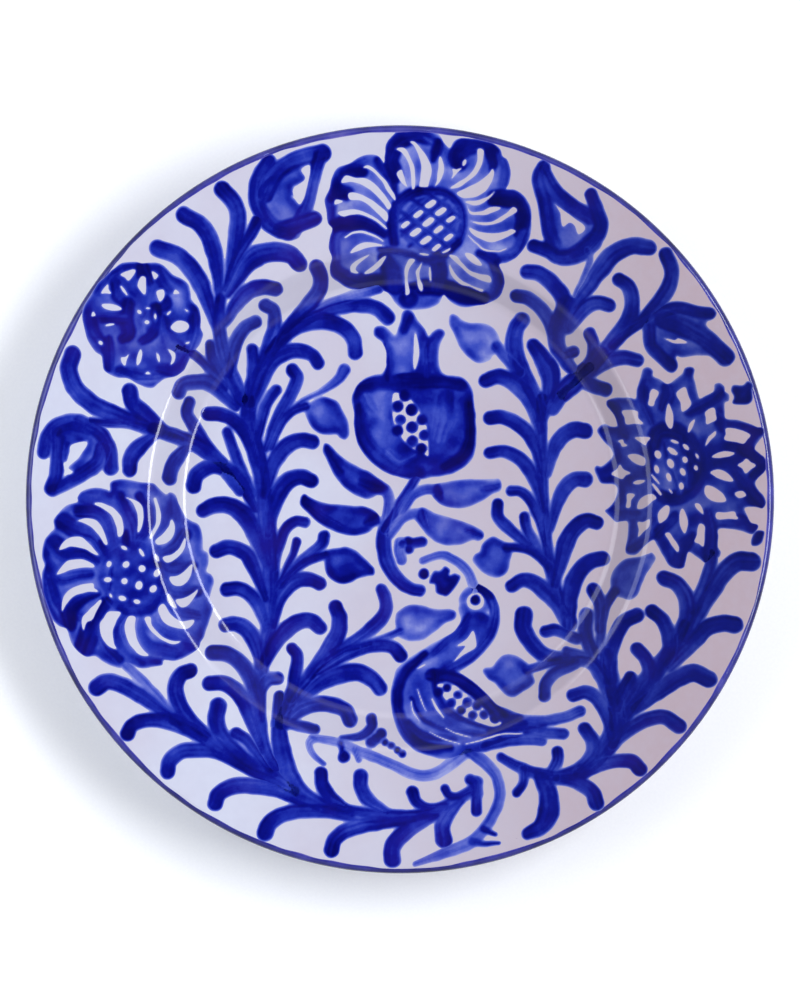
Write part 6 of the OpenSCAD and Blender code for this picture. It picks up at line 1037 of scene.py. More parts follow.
PAINTING["pomegranate_sprig"] = [
    brush((5, 5.5, 6.3, 6.2, 4.5, 4, 4), (8, -36.7), (4, -35.8), (-0.5, -32.6), (-4.5, -27), (-6.4, -20),
          (-6.2, -13), (-3.6, -7.5), (-0.5, -2.5), (3, 2.8), (6.5, 8.5), tone=0.6),
    brush((5, 4.4, 4.5), (-9.5, 4.5), (-5.5, 3), (-4.2, -2), (-5.2, -7), (-6, -12), tone=0.4),
    pool((-30.5, 22.3), (-28.3, 22), (-25.5, 19), (-21.5, 15.7), (-16.5, 13), (-12, 10.8), (-8.5, 8.4),
          (-4.6, 5.4), (-5.5, 3), (-8.3, 2.7), (-10.5, 1), (-14, 0.2), (-18, 1.8), (-23, 5.5), (-27, 10.5),
          (-29.5, 16), (-31, 19.5), tone=0.6),
    pool((-40, 0.5), (-38.4, 2), (-36, 0.8), (-31.5, -1.2), (-25, -2.2), (-18, -2.7), (-13, -3.2),
          (-10, -4.8), (-8.2, -7.2), (-7.5, -10), (-10.3, -11.2), (-13, -13.5), (-17, -14.6), (-22, -14.2),
          (-28, -12.2), (-33, -9.3), (-37, -5.6), (-40, -2.4), tone=0.62),
    brush((4, 4, 3.5), (15.5, 3.7), (10, 3.9), (5, 1.2), (1, -5), tone=0.35),
    pool((14, 5.6), (18, 6.8), (25, 7.8), (32, 8), (37, 8.1), (39.8, 8), (40.9, 6), (40.3, 3.4), (37, 2),
          (32, -1), (27, -3), (22, -3.6), (17, -2.3), (14, 0), (13, 1.8), (14.2, 3.2), tone=0.25),
    brush((4.2, 3.8, 4), (9, -5.8), (5, -6), (0.5, -8.3), (-4, -14), tone=0.35),
    pool((8, -4), (9.8, -3.7), (12.2, -4.8), (14.5, -6), (20, -7.5), (26, -9.3), (31, -11.3),
          (33.5, -13.2), (33.6, -15.3), (31.6, -16.6), (29, -16.3), (25, -18), (20, -18.6), (15, -17.5),
          (10.5, -14), (7.5, -10), (6, -7.5), tone=0.3),
    shade((3, 5, 4), (-7.6, 4.4), (-11, 5), (-15, 7), tone=0.84),
    shade((3, 5, 3), (-9, -6.6), (-11, -8.4), (-13.5, -9.6), tone=0.82),
    shade((2, 3, 3), (-29.5, 20.5), (-27.5, 16), (-24, 11), tone=0.76),
    shade((3, 4, 3), (-37, -2), (-31, -6.5), (-24, -10.5), tone=0.78),
    shade((3, 5, 3), (14.6, 5), (15, 2.4), (16, 0.4), tone=0.6),
    shade((3, 4, 3), (9, -5.2), (9.4, -7.6), (10.4, -10), tone=0.6),
    shade((3, 4, 3), (39.8, 5.6), (37, 5), (33, 4.4), tone=0.5),
    shade((3, 4, 3), (32.6, -14.8), (30, -13.6), (27, -12.8), tone=0.5),
]
PAINTING["basket_flower"] = [
    pool((-116, 6.5), (-113.5, 7.7), (-109, 7.8), (-105, 6.8), (-102.5, 6.5), (-99, 6.3), (-97, 4.5),
          (-94, 2), (-92.3, 2.8), (-90.3, 1.5), (-89, -2), (-86.5, -7), (-84, -8.7), (-81, -10.5),
          (-79.5, -15), (-79.3, -20), (-77.3, -22), (-77.2, -26), (-77.8, -29), (-75.8, -30.5), (-75, -33),
          (-76, -37), (-76.5, -40), (-75.2, -43.5), (-76.8, -49), (-78.5, -55), (-80, -57.3), (-81, -59.7),
          (-85, -62.5), (-90, -64.5), (-94.6, -64.3), (-95.3, -66.4), (-99, -67), (-103, -67.6),
          (-107, -66.5), (-109, -66), (-111.5, -67.3), (-115, -66.8), (-119, -64.8), (-122, -62.6),
          (-125.5, -62.8), (-129, -60.5), (-131.5, -57), (-133.3, -52), (-136.5, -50.5), (-139.5, -47),
          (-141.8, -41), (-143.3, -36), (-143.2, -30), (-142, -26.5), (-143.2, -22.5), (-142.3, -17),
          (-140, -13.5), (-138.3, -11.7), (-138.6, -8.5), (-136.5, -5.5), (-133.5, -2.5), (-129, -1.2),
          (-128.8, 1), (-127, 3.2), (-122, 4.5), (-118, 4), (-116.3, 3.5), tone=0.42),
    shade((7, 8, 5, 4), (-127, -1), (-121, -2.2), (-115.5, -8), (-114, -15), tone=0.5),
    shade((6, 7, 4, 3), (-128, -5), (-121, -5.5), (-117, -11), (-116, -17), tone=0.64),
    shade((8, 9, 5, 4), (-134.5, -9), (-130, -11.5), (-123, -14.5), (-119, -20), tone=0.61),
    shade((8, 9, 6, 4), (-138, -18), (-134, -21.5), (-126.5, -21), (-121.5, -24.5), tone=0.66),
    shade((5, 6, 5, 4), (-139.5, -27), (-135.5, -31.5), (-129, -30.4), (-124, -30), tone=0.59),
    shade((5, 6, 6, 5), (-140, -33), (-137, -42), (-132, -46.5), (-127, -48), tone=0.61),
    shade((6, 8, 7, 4), (-132, -50), (-132.5, -44), (-127.5, -39.2), (-121.5, -37.6), tone=0.75),
    shade((9, 10, 7, 5), (-126, -59), (-123.5, -52.5), (-120.5, -45.5), (-117.5, -41), tone=0.81),
    shade((6, 7, 4, 3), (-113, -63), (-117.5, -57.5), (-120, -50), (-118, -46), tone=0.61),
    shade((5, 6, 4, 3), (-104, -64.5), (-111, -59.5), (-113.3, -52), (-110.5, -46.8), tone=0.5),
    shade((7, 7, 5, 4), (-92, -61.5), (-100, -59.5), (-104.5, -53), (-104, -47.5), tone=0.42),
    shade((7, 8, 5, 4), (-83, -58), (-91, -55), (-98, -50), (-98.5, -45), tone=0.44),
    shade((5, 6, 4, 3), (-82, -47), (-87, -46), (-92.5, -43), (-96, -39.5), tone=0.52),
    shade((5, 6, 5, 3), (-81.5, -37), (-86, -37.5), (-91.5, -37), (-95, -33), tone=0.59),
    shade((5, 6, 4, 3), (-83.5, -27), (-88, -28.6), (-93, -28.5), (-96, -26), tone=0.63),
    shade((6, 6, 5, 3), (-86.5, -14), (-90, -19), (-95, -21.5), (-97.5, -19.5), tone=0.57),
    shade((6, 7, 5, 3), (-91, -2), (-91, -8), (-94.5, -13.5), (-98, -15.5), tone=0.5),
    shade((5, 7, 7, 5), (-112.5, 1), (-110.3, -5), (-107.5, -11), (-107, -16), tone=0.59),
    shade((5, 6, 5, 4), (-104, 1), (-101.2, -5), (-101.5, -12), (-104.5, -16.5), tone=0.59),
    pool((-118, -22), (-110, -17), (-102, -17), (-97, -22), (-94.5, -30), (-95, -38), (-100, -44.5),
          (-108, -46), (-115, -43.5), (-119.5, -37), (-121, -29), tone=0.44),
    shade((3.5, 4.5, 4.5, 3.5), (-112, -44), (-106, -45), (-99, -43), (-95.5, -36), tone=0.64),
    shade((3, 3.4, 3), (-110.2, -13.5), (-109.8, -16), (-109.8, -18), tone=0.81),
    shade((3, 3.2, 3), (-119.5, -17), (-118.5, -19.5), (-117.5, -21.5), tone=0.81),
    shade((2, 3, 2), (-115.5, -28), (-116.3, -33), (-117, -38), tone=0.61),
    window((-110, 0.7), (-107, -1.5), (-105.5, -5), (-105, -9), (-104.9, -13.3), (-103.6, -11.5),
          (-102.8, -7.5), (-103.4, -3), (-105.5, -0.8)),
    gap(1.8, (-98.3, 0), (-97, -4.5), (-97.2, -10), (-100, -15.3)),
    *windows(
        ((-91.8, -8), (-90.5, -11), (-91, -14.5), (-93.5, -17.5), (-97, -18.3), (-98, -16.5), (-95, -14),
         (-92.8, -11)),
        ((-86.5, -15.5), (-86.3, -19), (-88.5, -22.5), (-91.5, -24.8), (-94, -25.2), (-95, -23.2),
         (-91.5, -22.3), (-88.5, -19.5)),
        ((-83.5, -26), (-83.8, -29.5), (-85.5, -33), (-88, -34.7), (-91, -34.3), (-92.5, -31.2),
         (-89.5, -30.8), (-86.5, -28.8)),
        ((-81.3, -36.3), (-83, -40), (-85.5, -42.8), (-88, -43.2), (-89.8, -40.5), (-87, -39.8),
         (-84, -38.5)),
        ((-82.7, -48.5), (-84.5, -51.5), (-87.5, -51.8), (-92, -50.8), (-95.5, -48), (-97, -44),
         (-94.8, -42), (-92, -46), (-88, -48.8)),
        ((-93, -37.8), (-90.8, -40.5), (-89.5, -43.8), (-92, -42.5), (-93.3, -40)),
        ((-88, -57), (-91, -58), (-95, -56.5), (-99.5, -53), (-102, -49), (-102.2, -47.5), (-100, -47.3),
         (-99.3, -50.5), (-96.5, -54), (-92.5, -56.5)),
        ((-100.7, -62.5), (-104.5, -62), (-108.5, -57.5), (-110.2, -52), (-109.3, -48), (-107.8, -46.8),
         (-106, -47.5), (-106.3, -52), (-104.8, -57.5), (-102.5, -60.5)),
        ((-113.5, -60), (-117, -58.3), (-119.5, -54.5), (-120, -50), (-118.5, -47.5), (-116.3, -44.9),
         (-112, -45.5), (-113.5, -48.5), (-115, -53), (-114.5, -57.5)),
        ((-127, -47), (-124.5, -44.5), (-120.3, -40.5), (-119.5, -41), (-121, -43.5), (-123.2, -48),
         (-125.5, -49.3), (-126.5, -52.5), (-127.2, -50)),
        ((-135.2, -44.7), (-134.5, -39), (-131, -35.5), (-126, -34), (-123, -33.7), (-122.5, -35.5),
         (-121, -37), (-126, -37.2), (-130.5, -38.8), (-133.5, -42)),
        ((-137.3, -30), (-135, -26.5), (-131.5, -24.3), (-127, -24.2), (-123, -26), (-122.7, -27.4),
         (-127, -27.3), (-132, -28.2), (-135, -29.5)),
        ((-136.3, -20), (-134, -16.5), (-130.5, -15), (-127, -15.6), (-123.5, -19), (-120.8, -21.8),
         (-121.5, -22.2), (-126, -19.9), (-131, -18.8), (-134, -19.7)),
        ((-129, -8.7), (-126, -7.6), (-122, -8.3), (-119, -12), (-117.3, -17.5), (-118.3, -18.1),
         (-120.5, -14.5), (-124, -10.8), (-127.5, -9.2)),
        ((-122.5, -1.7), (-119.5, -1.4), (-115, -3.5), (-111.5, -7.5), (-110.8, -11.5), (-111.5, -14.5),
         (-113, -14.8), (-113.5, -11), (-115.5, -6.5), (-119, -3.5)),
    ),
    hole(-110.5, -19.5, 2.6, 1.3, -35),
    gap(1.5, (-104.3, -20.3), (-103, -22.4)),
    gap(1.6, (-98, -22.4), (-97, -24.6)),
    *holes((-116.5, -26, 2, 2.2, -10), (-109.8, -26.2, 2.4, 2.6, -14), (-103.4, -27.8, 2.8, 2.6, -14),
           (-97.4, -29.6, 2.4, 3, -14), (-117, -32.3, 3, 1.8), (-110.5, -32.8, 2.4, 2.4, -10),
           (-104.5, -34.5, 2.8, 3.4, -10), (-98.9, -35.9, 2.6, 3.2, -25), (-115.8, -38.6, 0.9, 1.8, 30),
           (-111.3, -39.6, 3, 1.9, -14), (-105.4, -40.9, 2.6, 1.7, -12)),
]
PAINTING["sunflower"] = [
    pool((96.8, 50.5), (97.5, 52.3), (99.5, 52.7), (101.2, 51.3), (101.5, 49.3), (104, 48), (107, 46.2),
          (110, 47.8), (113, 50), (114, 52.5), (116, 53), (117.8, 51.8), (117.6, 48.5), (118.8, 44),
          (120, 40.3), (123, 41.8), (125.5, 43.3), (126, 45.8), (128, 46.3), (129.8, 45), (130, 43.2),
          (131.6, 41.8), (131.5, 39.5), (130, 38.5), (130, 35), (130.5, 32.2), (135, 31.8), (140, 30.2),
          (143, 28.9), (145, 28.8), (145.6, 26.5), (145.1, 25.2), (143.3, 23), (142, 20.3), (144, 18.2),
          (145.8, 16.8), (146.6, 15), (146.6, 12.8), (145.5, 10.5), (142, 6.8), (143.5, 3.5), (145.5, 1),
          (146.2, -1.5), (145, -3.6), (143, -3.2), (141, -3), (137.8, -3.5), (139, -6.5), (140.5, -9.2),
          (143, -10.2), (143.4, -11.3), (142.3, -13.2), (140.8, -14), (137, -12.8), (133, -12),
          (127.8, -11.8), (127.3, -15), (127.2, -19), (128.3, -21), (127.8, -23), (126, -24.2),
          (124.3, -26), (122.2, -25.5), (119, -23), (115.7, -21.2), (114.5, -25), (113.5, -27.3),
          (111, -27.7), (108, -26.5), (105.5, -22.5), (103, -18.5), (101.5, -16.3), (98, -18.7),
          (95, -21.7), (93, -22.3), (91, -21.7), (90.5, -20), (91.5, -15), (91.5, -9.2), (89, -8.8),
          (87, -9.3), (85, -7.5), (83, -5.5), (82.5, -4.5), (84.5, -3), (86.5, 0), (87.5, 4), (86, 6),
          (83, 6.2), (80.5, 6.8), (79.3, 9), (78.3, 12), (79, 13.5), (81, 13.2), (83.5, 15), (85.8, 17.5),
          (85, 20), (82.5, 22.5), (80.5, 25), (79.3, 27.5), (80.5, 29.3), (82.5, 30), (84.5, 29.2),
          (87, 29.3), (87, 31), (86, 34), (84.3, 36), (83, 37.5), (83.3, 39.7), (86, 40.5), (91, 40.7),
          (94.5, 40.2), (95, 44), (96.3, 48.5), tone=0.54),
    shade((5, 7, 8, 7, 6, 6, 7, 5), (101, 18), (103, 26.5), (110, 27.5), (117, 22), (120.5, 13), (117, 4),
          (109, 0.5), (103.4, 2), tone=0.84),
    shade((4, 5, 4), (97.5, 44), (97.4, 38), (100.5, 31), tone=0.68),
    shade((5, 7, 5), (107, 45), (107.5, 42), (105.5, 37), tone=0.68),
    shade((5, 6, 5), (128, 42.5), (123, 38.5), (116, 35), tone=0.7),
    shade((4, 6, 4), (127, 33.5), (128.5, 31.5), (129, 28.5), tone=0.73),
    shade((4, 6, 5), (144.5, 27.5), (141.5, 27), (139, 24), tone=0.79),
    shade((5, 7, 7, 5), (137, 20.5), (143, 17), (145.5, 13.5), (142, 9.5), tone=0.79),
    shade((5, 7, 6, 4), (144, -2), (141, 1.5), (137.5, 6.5), (135, 10), tone=0.76),
    shade((4, 5, 4), (142, -10.5), (137, -8.5), (128, -8.5), tone=0.62),
    shade((5, 7, 6, 5), (124, -27), (124, -20), (124.5, -13), (123, -6), tone=0.76),
    shade((6, 7, 5), (111.5, -25), (113.5, -19), (117, -15), tone=0.73),
    shade((5, 6, 5), (103, -14), (106, -11), (110, -7), tone=0.71),
    shade((4, 6, 5), (92, -19.5), (95, -17.5), (100, -14.5), tone=0.64),
    shade((4, 5, 4), (85.5, -5), (89, -6.5), (95, -6), tone=0.67),
    shade((4, 5, 4), (84.5, 38.5), (86.5, 36), (88.5, 31), tone=0.73),
    shade((4, 5, 4), (82, 27), (86, 27), (90, 25), tone=0.68),
    shade((3, 4, 3), (106.5, 22), (109, 12), (112, 3), tone=0.62),
    shade((3, 4, 3), (113, 24), (115.5, 14), (116, 5), tone=0.73),
    *windows(
        ((101.5, 44.2), (103.7, 42.8), (102.2, 39.8), (101.4, 37.5), (99.6, 38), (99.8, 40.5),
         (100.3, 42.8)),
        ((114.2, 44.8), (110.7, 42.4), (112.4, 38.7), (113.2, 35.1), (116.5, 37.8), (115.5, 41)),
        ((107.6, 38.3), (106.6, 35.5), (106.4, 31.8), (107.5, 29), (108.9, 28.6), (109.4, 31.5),
         (109, 35)),
        ((89.4, 35.6), (95, 35.2), (95.5, 32.5), (97.4, 30.2), (94, 30.4), (90.8, 30.3), (90.2, 33)),
        ((94.2, 24.8), (100, 24.8), (99, 22.8), (98.4, 21.6), (96, 23.2)),
        ((87.5, 23.3), (89.4, 24), (90, 22.5), (91.2, 21.5), (89.3, 21.1), (88.5, 22.6)),
        ((91.5, 17.5), (93, 18.2), (95.5, 18), (98, 16.4), (98, 13.8), (96, 13.8), (93.5, 15),
         (92.3, 16.2)),
        ((85, 10.3), (87.2, 12.3), (88.3, 13.9), (89.8, 12), (92.3, 10.7), (90.8, 9.7), (89.4, 8.2),
         (87.5, 8.9)),
        ((93.5, 6.6), (95.5, 7.6), (98.4, 7.5), (96.6, 6.2), (94.6, 6)),
        ((91.4, 2.2), (94.2, 1.9), (92.8, -0.5), (92.3, -3.2), (90.7, -3.2), (91.3, -0.5)),
        ((95.3, -3.6), (96, -0.6), (98, 1.2), (101, 2), (102.7, 0.5), (101, -0.8), (99, -2.8),
         (97, -3.9)),
        ((95.4, -9.3), (97.5, -9.2), (100, -8), (99.7, -11), (97.5, -13), (95.7, -15), (95.8, -12)),
        ((103.5, -6), (104.3, -4.2), (106.5, -2.5), (108, -3), (107.7, -5.5), (106.3, -8.3),
         (104.3, -9.6), (103.6, -8)),
        ((112.5, -4.3), (113.6, -4.2), (115, -7), (115.2, -10.5), (114.2, -13.6), (112.6, -11.5),
         (111.9, -8.5)),
        ((118.2, -1.7), (119.8, -2), (121, -4), (121.3, -6), (119.8, -4.8), (118.3, -3)),
        ((126.7, -5.4), (130, -5.2), (133.8, -4.9), (134.6, -6.5), (135.2, -7.9), (131.5, -7.7),
         (127, -7.9)),
        ((122, 3), (122.5, 5.2), (124.5, 5.3), (127.5, 3.5), (129.5, 2), (130.6, -0.5), (128, -1.1),
         (125, -0.6), (122.8, 1)),
        ((124.3, 10.6), (126.3, 11.6), (129, 11.5), (131.5, 10), (133.5, 7.5), (131, 7.3), (128, 8.2),
         (126, 9.3)),
        ((125, 17), (127, 18.5), (130, 19.1), (133.8, 18.5), (132, 17.3), (129.5, 16.8), (127.5, 16.7)),
        ((135.2, 13.6), (137, 14.8), (138.7, 16.2), (140.4, 14.8), (142.2, 13.6), (140.4, 12.2),
         (138.5, 10.4), (137, 12.2)),
        ((134, 2.4), (136.8, 3.4), (138.4, 1.6), (137, 0.9), (135.3, 0.8)),
        ((130.5, 28.2), (133, 28.3), (137, 27.4), (140, 25.8), (138.8, 24), (137.4, 22.3), (134.5, 23),
         (130.2, 23.8), (130.6, 26)),
        ((122.4, 21.5), (124.4, 23.8), (126.2, 25.6), (126.5, 27.2), (125, 26.2), (123.4, 24.6)),
        ((122.2, 34.8), (125.7, 36.6), (126.2, 34), (126.6, 32), (124.6, 30.8), (122.8, 30.2),
         (122.5, 32.5)),
        ((115.3, 28), (116, 30.3), (118, 31.9), (117.5, 29.8), (116.4, 27.8), (115.5, 26.9)),
        ((119.5, -11), (120.3, -9.8), (122, -11), (121.9, -14.5), (121.6, -18.8), (120, -17.8),
         (118, -16.8), (119, -14)),
        ((106.3, -13.8), (108, -13.4), (109.3, -15.5), (111.6, -18.8), (111.3, -21.2), (109.3, -18.8),
         (107.5, -16)),
    ),
    hole(103.4, 17.8, 2.4, 3.2, 18),
    gap(2, (107.8, 20.2), (110.6, 18.2)),
    gap(1.6, (113.8, 21.6), (115.3, 20.2)),
    *holes((108.4, 14.4, 2.4, 3.8, 24), (102.9, 12, 1.8, 3.2, 20), (107.8, 8.7, 1.8, 3.4, 18),
           (113.3, 11, 2, 3, 20), (112.7, 5.3, 1.9, 2.6, 10), (114.2, 15.8, 2, 2.4, 30),
           (118.6, 12.6, 1.3, 1.9, 20)),
    gap(1.2, (108.9, 23.4), (111.2, 22.6)),
    hole(119, 17.2, 0.9, 1.8, 25),
    gap(0.8, (101, 9.8), (103.7, 6.3)),
    gap(1.1, (101.3, 6), (104.4, 1.9)),
    gap(0.7, (107.7, 4), (108.8, 2.6)),
]
PAINTING["clover"] = [
    pool((132.5, 43.5), (133.5, 45.5), (137, 45.6), (139, 47.3), (141, 46), (141, 43.5), (141, 40),
          (139.5, 38.2), (136, 37.7), (133, 38.5), (133.5, 41), tone=0.75),
    pool((141.5, -14), (143.3, -12.6), (145.4, -12.6), (145.8, -14), (145, -17), (143.2, -18.6),
          (141, -18.6), (140.5, -17), tone=0.75),
]

# ---------- materials ----------


def srgb(red, green, blue):
    """A colour as seen on a screen, 0 to 255, turned into light."""
    c = np.array([red, green, blue]) / 255
    return (*np.where(c <= 0.04045, c / 12.92, ((c + 0.055) / 1.055) ** 2.4), 1.0)


class Shader:
    """A procedural material, written node by node."""

    def __init__(self, name):
        self.material = bpy.data.materials.new(name)
        self.material.use_nodes = True
        self.tree = self.material.node_tree
        self.surface = self.tree.nodes["Principled BSDF"]
        self.place = self.add("ShaderNodeTexCoord").outputs["Object"]

    def add(self, kind, inputs=None, **settings):
        node = self.tree.nodes.new(kind)
        for key, value in settings.items():
            setattr(node, key, value)
        self.set(node, inputs or {})
        return node

    def set(self, node, inputs):
        for key, value in inputs.items():
            if isinstance(value, bpy.types.NodeSocket):
                self.tree.links.new(value, node.inputs[key])
            else:
                node.inputs[key].default_value = value

    def noise(self, scale, detail=3.0, roughness=0.55, place=None, seed=0.0):
        inputs = {"Vector": place or self.place, "Scale": scale, "Detail": detail, "Roughness": roughness,
                  "W": seed}
        return self.add("ShaderNodeTexNoise", inputs, noise_dimensions="4D").outputs["Fac"]

    def math(self, operation, a, b=0.0, c=0.0, clamp=False):
        node = self.add("ShaderNodeMath", {0: a, 1: b, 2: c}, operation=operation, use_clamp=clamp)
        return node.outputs[0]

    def span(self, value, low, high, to_low=0.0, to_high=1.0):
        inputs = {"Value": value, "From Min": low, "From Max": high, "To Min": to_low, "To Max": to_high}
        return self.add("ShaderNodeMapRange", inputs, interpolation_type="SMOOTHSTEP").outputs["Result"]

    def mix(self, factor, a, b):
        # the sockets of a mix of colours: 0 is its factor, 6 and 7 the colours, and 2 the result
        node = self.add("ShaderNodeMix", data_type="RGBA")
        self.set(node, {0: factor, 6: a, 7: b})
        return node.outputs[2]

    def ramp(self, factor, stops):
        node = self.add("ShaderNodeValToRGB", {"Fac": factor})
        points = node.color_ramp.elements
        while len(points) < len(stops):
            points.new(0.5)
        for point, (place, colour) in zip(points, stops):
            point.position = place
            point.color = colour
        return node.outputs["Color"]

    def attribute(self, name):
        return self.add("ShaderNodeAttribute", attribute_name=name).outputs["Fac"]

    def bump(self, height, distance, strength=1.0, under=None):
        inputs = {"Height": height, "Distance": distance, "Strength": strength}
        if under:
            inputs["Normal"] = under
        return self.add("ShaderNodeBump", inputs).outputs["Normal"]

    def finish(self, **inputs):
        self.set(self.surface, {key.replace("_", " "): value for key, value in inputs.items()})
        return self.material


def speck_mask(shader, per_metre, size, share):
    """Small round spots scattered over a surface: 1 on a spot, 0 elsewhere."""
    spread = {"Vector": shader.place, "Scale": per_metre, "Randomness": 1.0}
    cells = shader.add("ShaderNodeTexVoronoi", spread)
    chosen = shader.add("ShaderNodeSeparateColor", {"Color": cells.outputs["Color"]}).outputs[0]
    radius = shader.math("MULTIPLY", shader.span(chosen, 1 - share, 1.0, 0.2, 1.0), size)
    spot = shader.span(shader.math("SUBTRACT", radius, cells.outputs["Distance"]), 0.0, size * 0.5)
    return shader.math("MULTIPLY", spot, shader.math("GREATER_THAN", chosen, 1 - share))


def gloss_of(shader, low=0.03, high=0.09):
    """Roughness of the fired glaze: clear, with fine scuffs from use."""
    cloud = shader.span(shader.noise(28.0, 4.0), 0.3, 0.7, low, high)
    one_way = {"Vector": shader.place, "Rotation": (0, 0, 0.7), "Scale": (1, 26, 1)}
    stretched = shader.add("ShaderNodeMapping", one_way).outputs[0]
    scuff = shader.span(shader.noise(36.0, 2.0, place=stretched), 0.62, 0.72, 0.0, 0.07)
    return shader.math("ADD", cloud, scuff)


def glaze_waves(shader):
    """The slight unevenness of a poured glaze, broad and fine."""
    broad = shader.bump(shader.noise(42.0, 1.0), 0.0016, 0.09)
    return shader.bump(shader.noise(420.0, 2.0), 0.0003, 0.10, broad)


def white_glaze(name, right_shade_share):
    """White tin glaze: cool white with faint clouds of a warmer white, tiny iron specks and pinholes.

    right_shade_share is how much painted shade and painted pinkish light lie on the right of the plate: the
    glaze is painted darker and pinker there than at the left.
    """
    s = Shader(name)
    cloud = s.span(s.noise(16.0, 4.0), 0.34, 0.66)
    base = s.mix(cloud, srgb(198, 200, 217), srgb(193, 189, 205))
    side = s.add("ShaderNodeSeparateXYZ", {"Vector": s.place}).outputs["X"]
    # painted shade and painted pinkish light: the glaze is mixed towards a darker pink towards the right of
    # the plate
    painted_shade_mask = s.math("MULTIPLY", s.span(side, -0.08, 0.13), right_shade_share)
    base = s.mix(painted_shade_mask, base, srgb(164, 140, 147))
    fine = s.span(s.noise(240.0, 3.0, seed=3.0), 0.3, 0.7)
    base = s.mix(s.math("MULTIPLY", fine, 0.12), base, srgb(176, 174, 196))
    specks = speck_mask(s, 62.0, 0.034, 0.10)
    pinholes = speck_mask(s, 150.0, 0.05, 0.05)
    base = s.mix(s.math("MULTIPLY", pinholes, 0.35), base, srgb(120, 110, 140))
    base = s.mix(s.math("MULTIPLY", specks, 0.75), base, srgb(112, 74, 66))
    normal = s.bump(s.math("SUBTRACT", 1.0, pinholes), 0.0002, 0.5, glaze_waves(s))
    return s.finish(Base_Color=base, Roughness=gloss_of(s), Normal=normal, IOR=1.5)


def cobalt():
    """Cobalt sunk into the glaze: a wash where the brush was dry, nearly black where it pooled."""
    s = Shader("cobalt")
    ink, depth = s.attribute("ink"), s.attribute("depth")
    mottle = s.math("MULTIPLY_ADD", s.noise(330.0, 4.0, 0.6), 0.26, -0.13)
    patch = s.math("MULTIPLY_ADD", s.noise(75.0, 3.0, 0.55, seed=2.0), 0.40, -0.20)
    ink = s.math("ADD", s.math("ADD", ink, mottle), patch)
    ink = s.math("MULTIPLY", ink, s.span(depth, 0.0, 1.1, 0.66, 1.0))
    colour = s.ramp(s.math("MULTIPLY", ink, 0.82, clamp=True), [
        (0.00, srgb(146, 152, 204)),
        (0.15, srgb(98, 108, 190)),
        (0.30, srgb(58, 74, 176)),
        (0.43, srgb(28, 45, 158)),
        (0.55, srgb(8, 17, 132)),
        (0.72, srgb(3, 5, 98)),
        (1.00, srgb(3, 2, 58)),
    ])
    # painted shade: the cobalt is mixed towards a dim grey navy towards the right of the plate
    side = s.add("ShaderNodeSeparateXYZ", {"Vector": s.place}).outputs["X"]
    painted_shade_cobalt = s.math("MULTIPLY", s.span(side, 0.0, 0.14), 0.5)
    colour = s.mix(painted_shade_cobalt, colour, srgb(20, 26, 70))
    violet = s.math("MULTIPLY", s.span(s.noise(20.0, 3.0, seed=5.0), 0.52, 0.74), 0.35)
    colour = s.mix(violet, colour, srgb(52, 34, 128))
    white = s.span(depth, 0.0, 0.32, 0.5, 0.0)
    colour = s.mix(white, colour, srgb(150, 152, 206))
    return s.finish(Base_Color=colour, Roughness=gloss_of(s, 0.06, 0.16), Normal=glaze_waves(s), IOR=1.48)


def rim_blue():
    """The line round the lip: thinner cobalt, worn pale in places on the edge."""
    s = Shader("rim_blue")
    ink = s.attribute("ink")
    streak = s.math("MULTIPLY_ADD", s.noise(120.0, 4.0, 0.6), 0.7, -0.35)
    ink = s.math("ADD", ink, streak)
    colour = s.ramp(ink, [
        (0.00, srgb(150, 146, 196)),
        (0.25, srgb(104, 98, 172)),
        (0.50, srgb(56, 56, 148)),
        (0.75, srgb(32, 32, 112)),
        (1.00, srgb(18, 16, 72)),
    ])
    return s.finish(Base_Color=colour, Roughness=gloss_of(s, 0.08, 0.18), Normal=glaze_waves(s), IOR=1.5)


def fired_clay(name):
    """Bare earthenware: buff red, with turning marks, darker grit and pores."""
    s = Shader(name)
    cloud = s.span(s.noise(20.0, 5.0), 0.3, 0.7)
    base = s.mix(cloud, srgb(186, 128, 92), srgb(168, 104, 74))
    grit = s.span(s.noise(700.0, 3.0, seed=4.0), 0.56, 0.68)
    base = s.mix(s.math("MULTIPLY", grit, 0.5), base, srgb(106, 62, 46))
    pale = speck_mask(s, 260.0, 0.06, 0.12)
    base = s.mix(s.math("MULTIPLY", pale, 0.6), base, srgb(214, 182, 152))
    apart = s.add("ShaderNodeVectorMath", {0: s.place, 1: (1, 1, 0)}, operation="MULTIPLY").outputs[0]
    r = s.add("ShaderNodeVectorMath", {0: apart}, operation="LENGTH").outputs["Value"]
    # a mark every 1.2 mm, none of them quite round
    turning = s.math("SINE", s.math("MULTIPLY_ADD", r, 5200.0, s.math("MULTIPLY", cloud, 6.0)))
    marks = s.bump(turning, 0.00012, 0.5)
    normal = s.bump(s.noise(900.0, 4.0), 0.0003, 0.5, marks)
    return s.finish(Base_Color=base, Roughness=s.span(s.noise(90.0), 0.3, 0.7, 0.74, 0.92), Normal=normal)


def finish_piece(obj, material, node):
    """Gives a piece its material and its body, and hides the CAD node that it stands for."""
    obj.data.materials.append(material)
    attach(obj, "root")
    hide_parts(node)


# ---------- the dish ----------

# the face glaze carries most of the painted shade at the right, the back only a little
FACE_WHITE = white_glaze("face_white", 0.8)
BACK_WHITE = white_glaze("back_white", 0.1)
COBALT = cobalt()
CLAY = fired_clay("fired_clay")

face_line = np.concatenate([FACE_LINE, FACE_UNDER[::-1]])
face = lathe("face_glaze_skin", face_line, face_form, turns=400)
finish_piece(face, FACE_WHITE, "face_glaze")


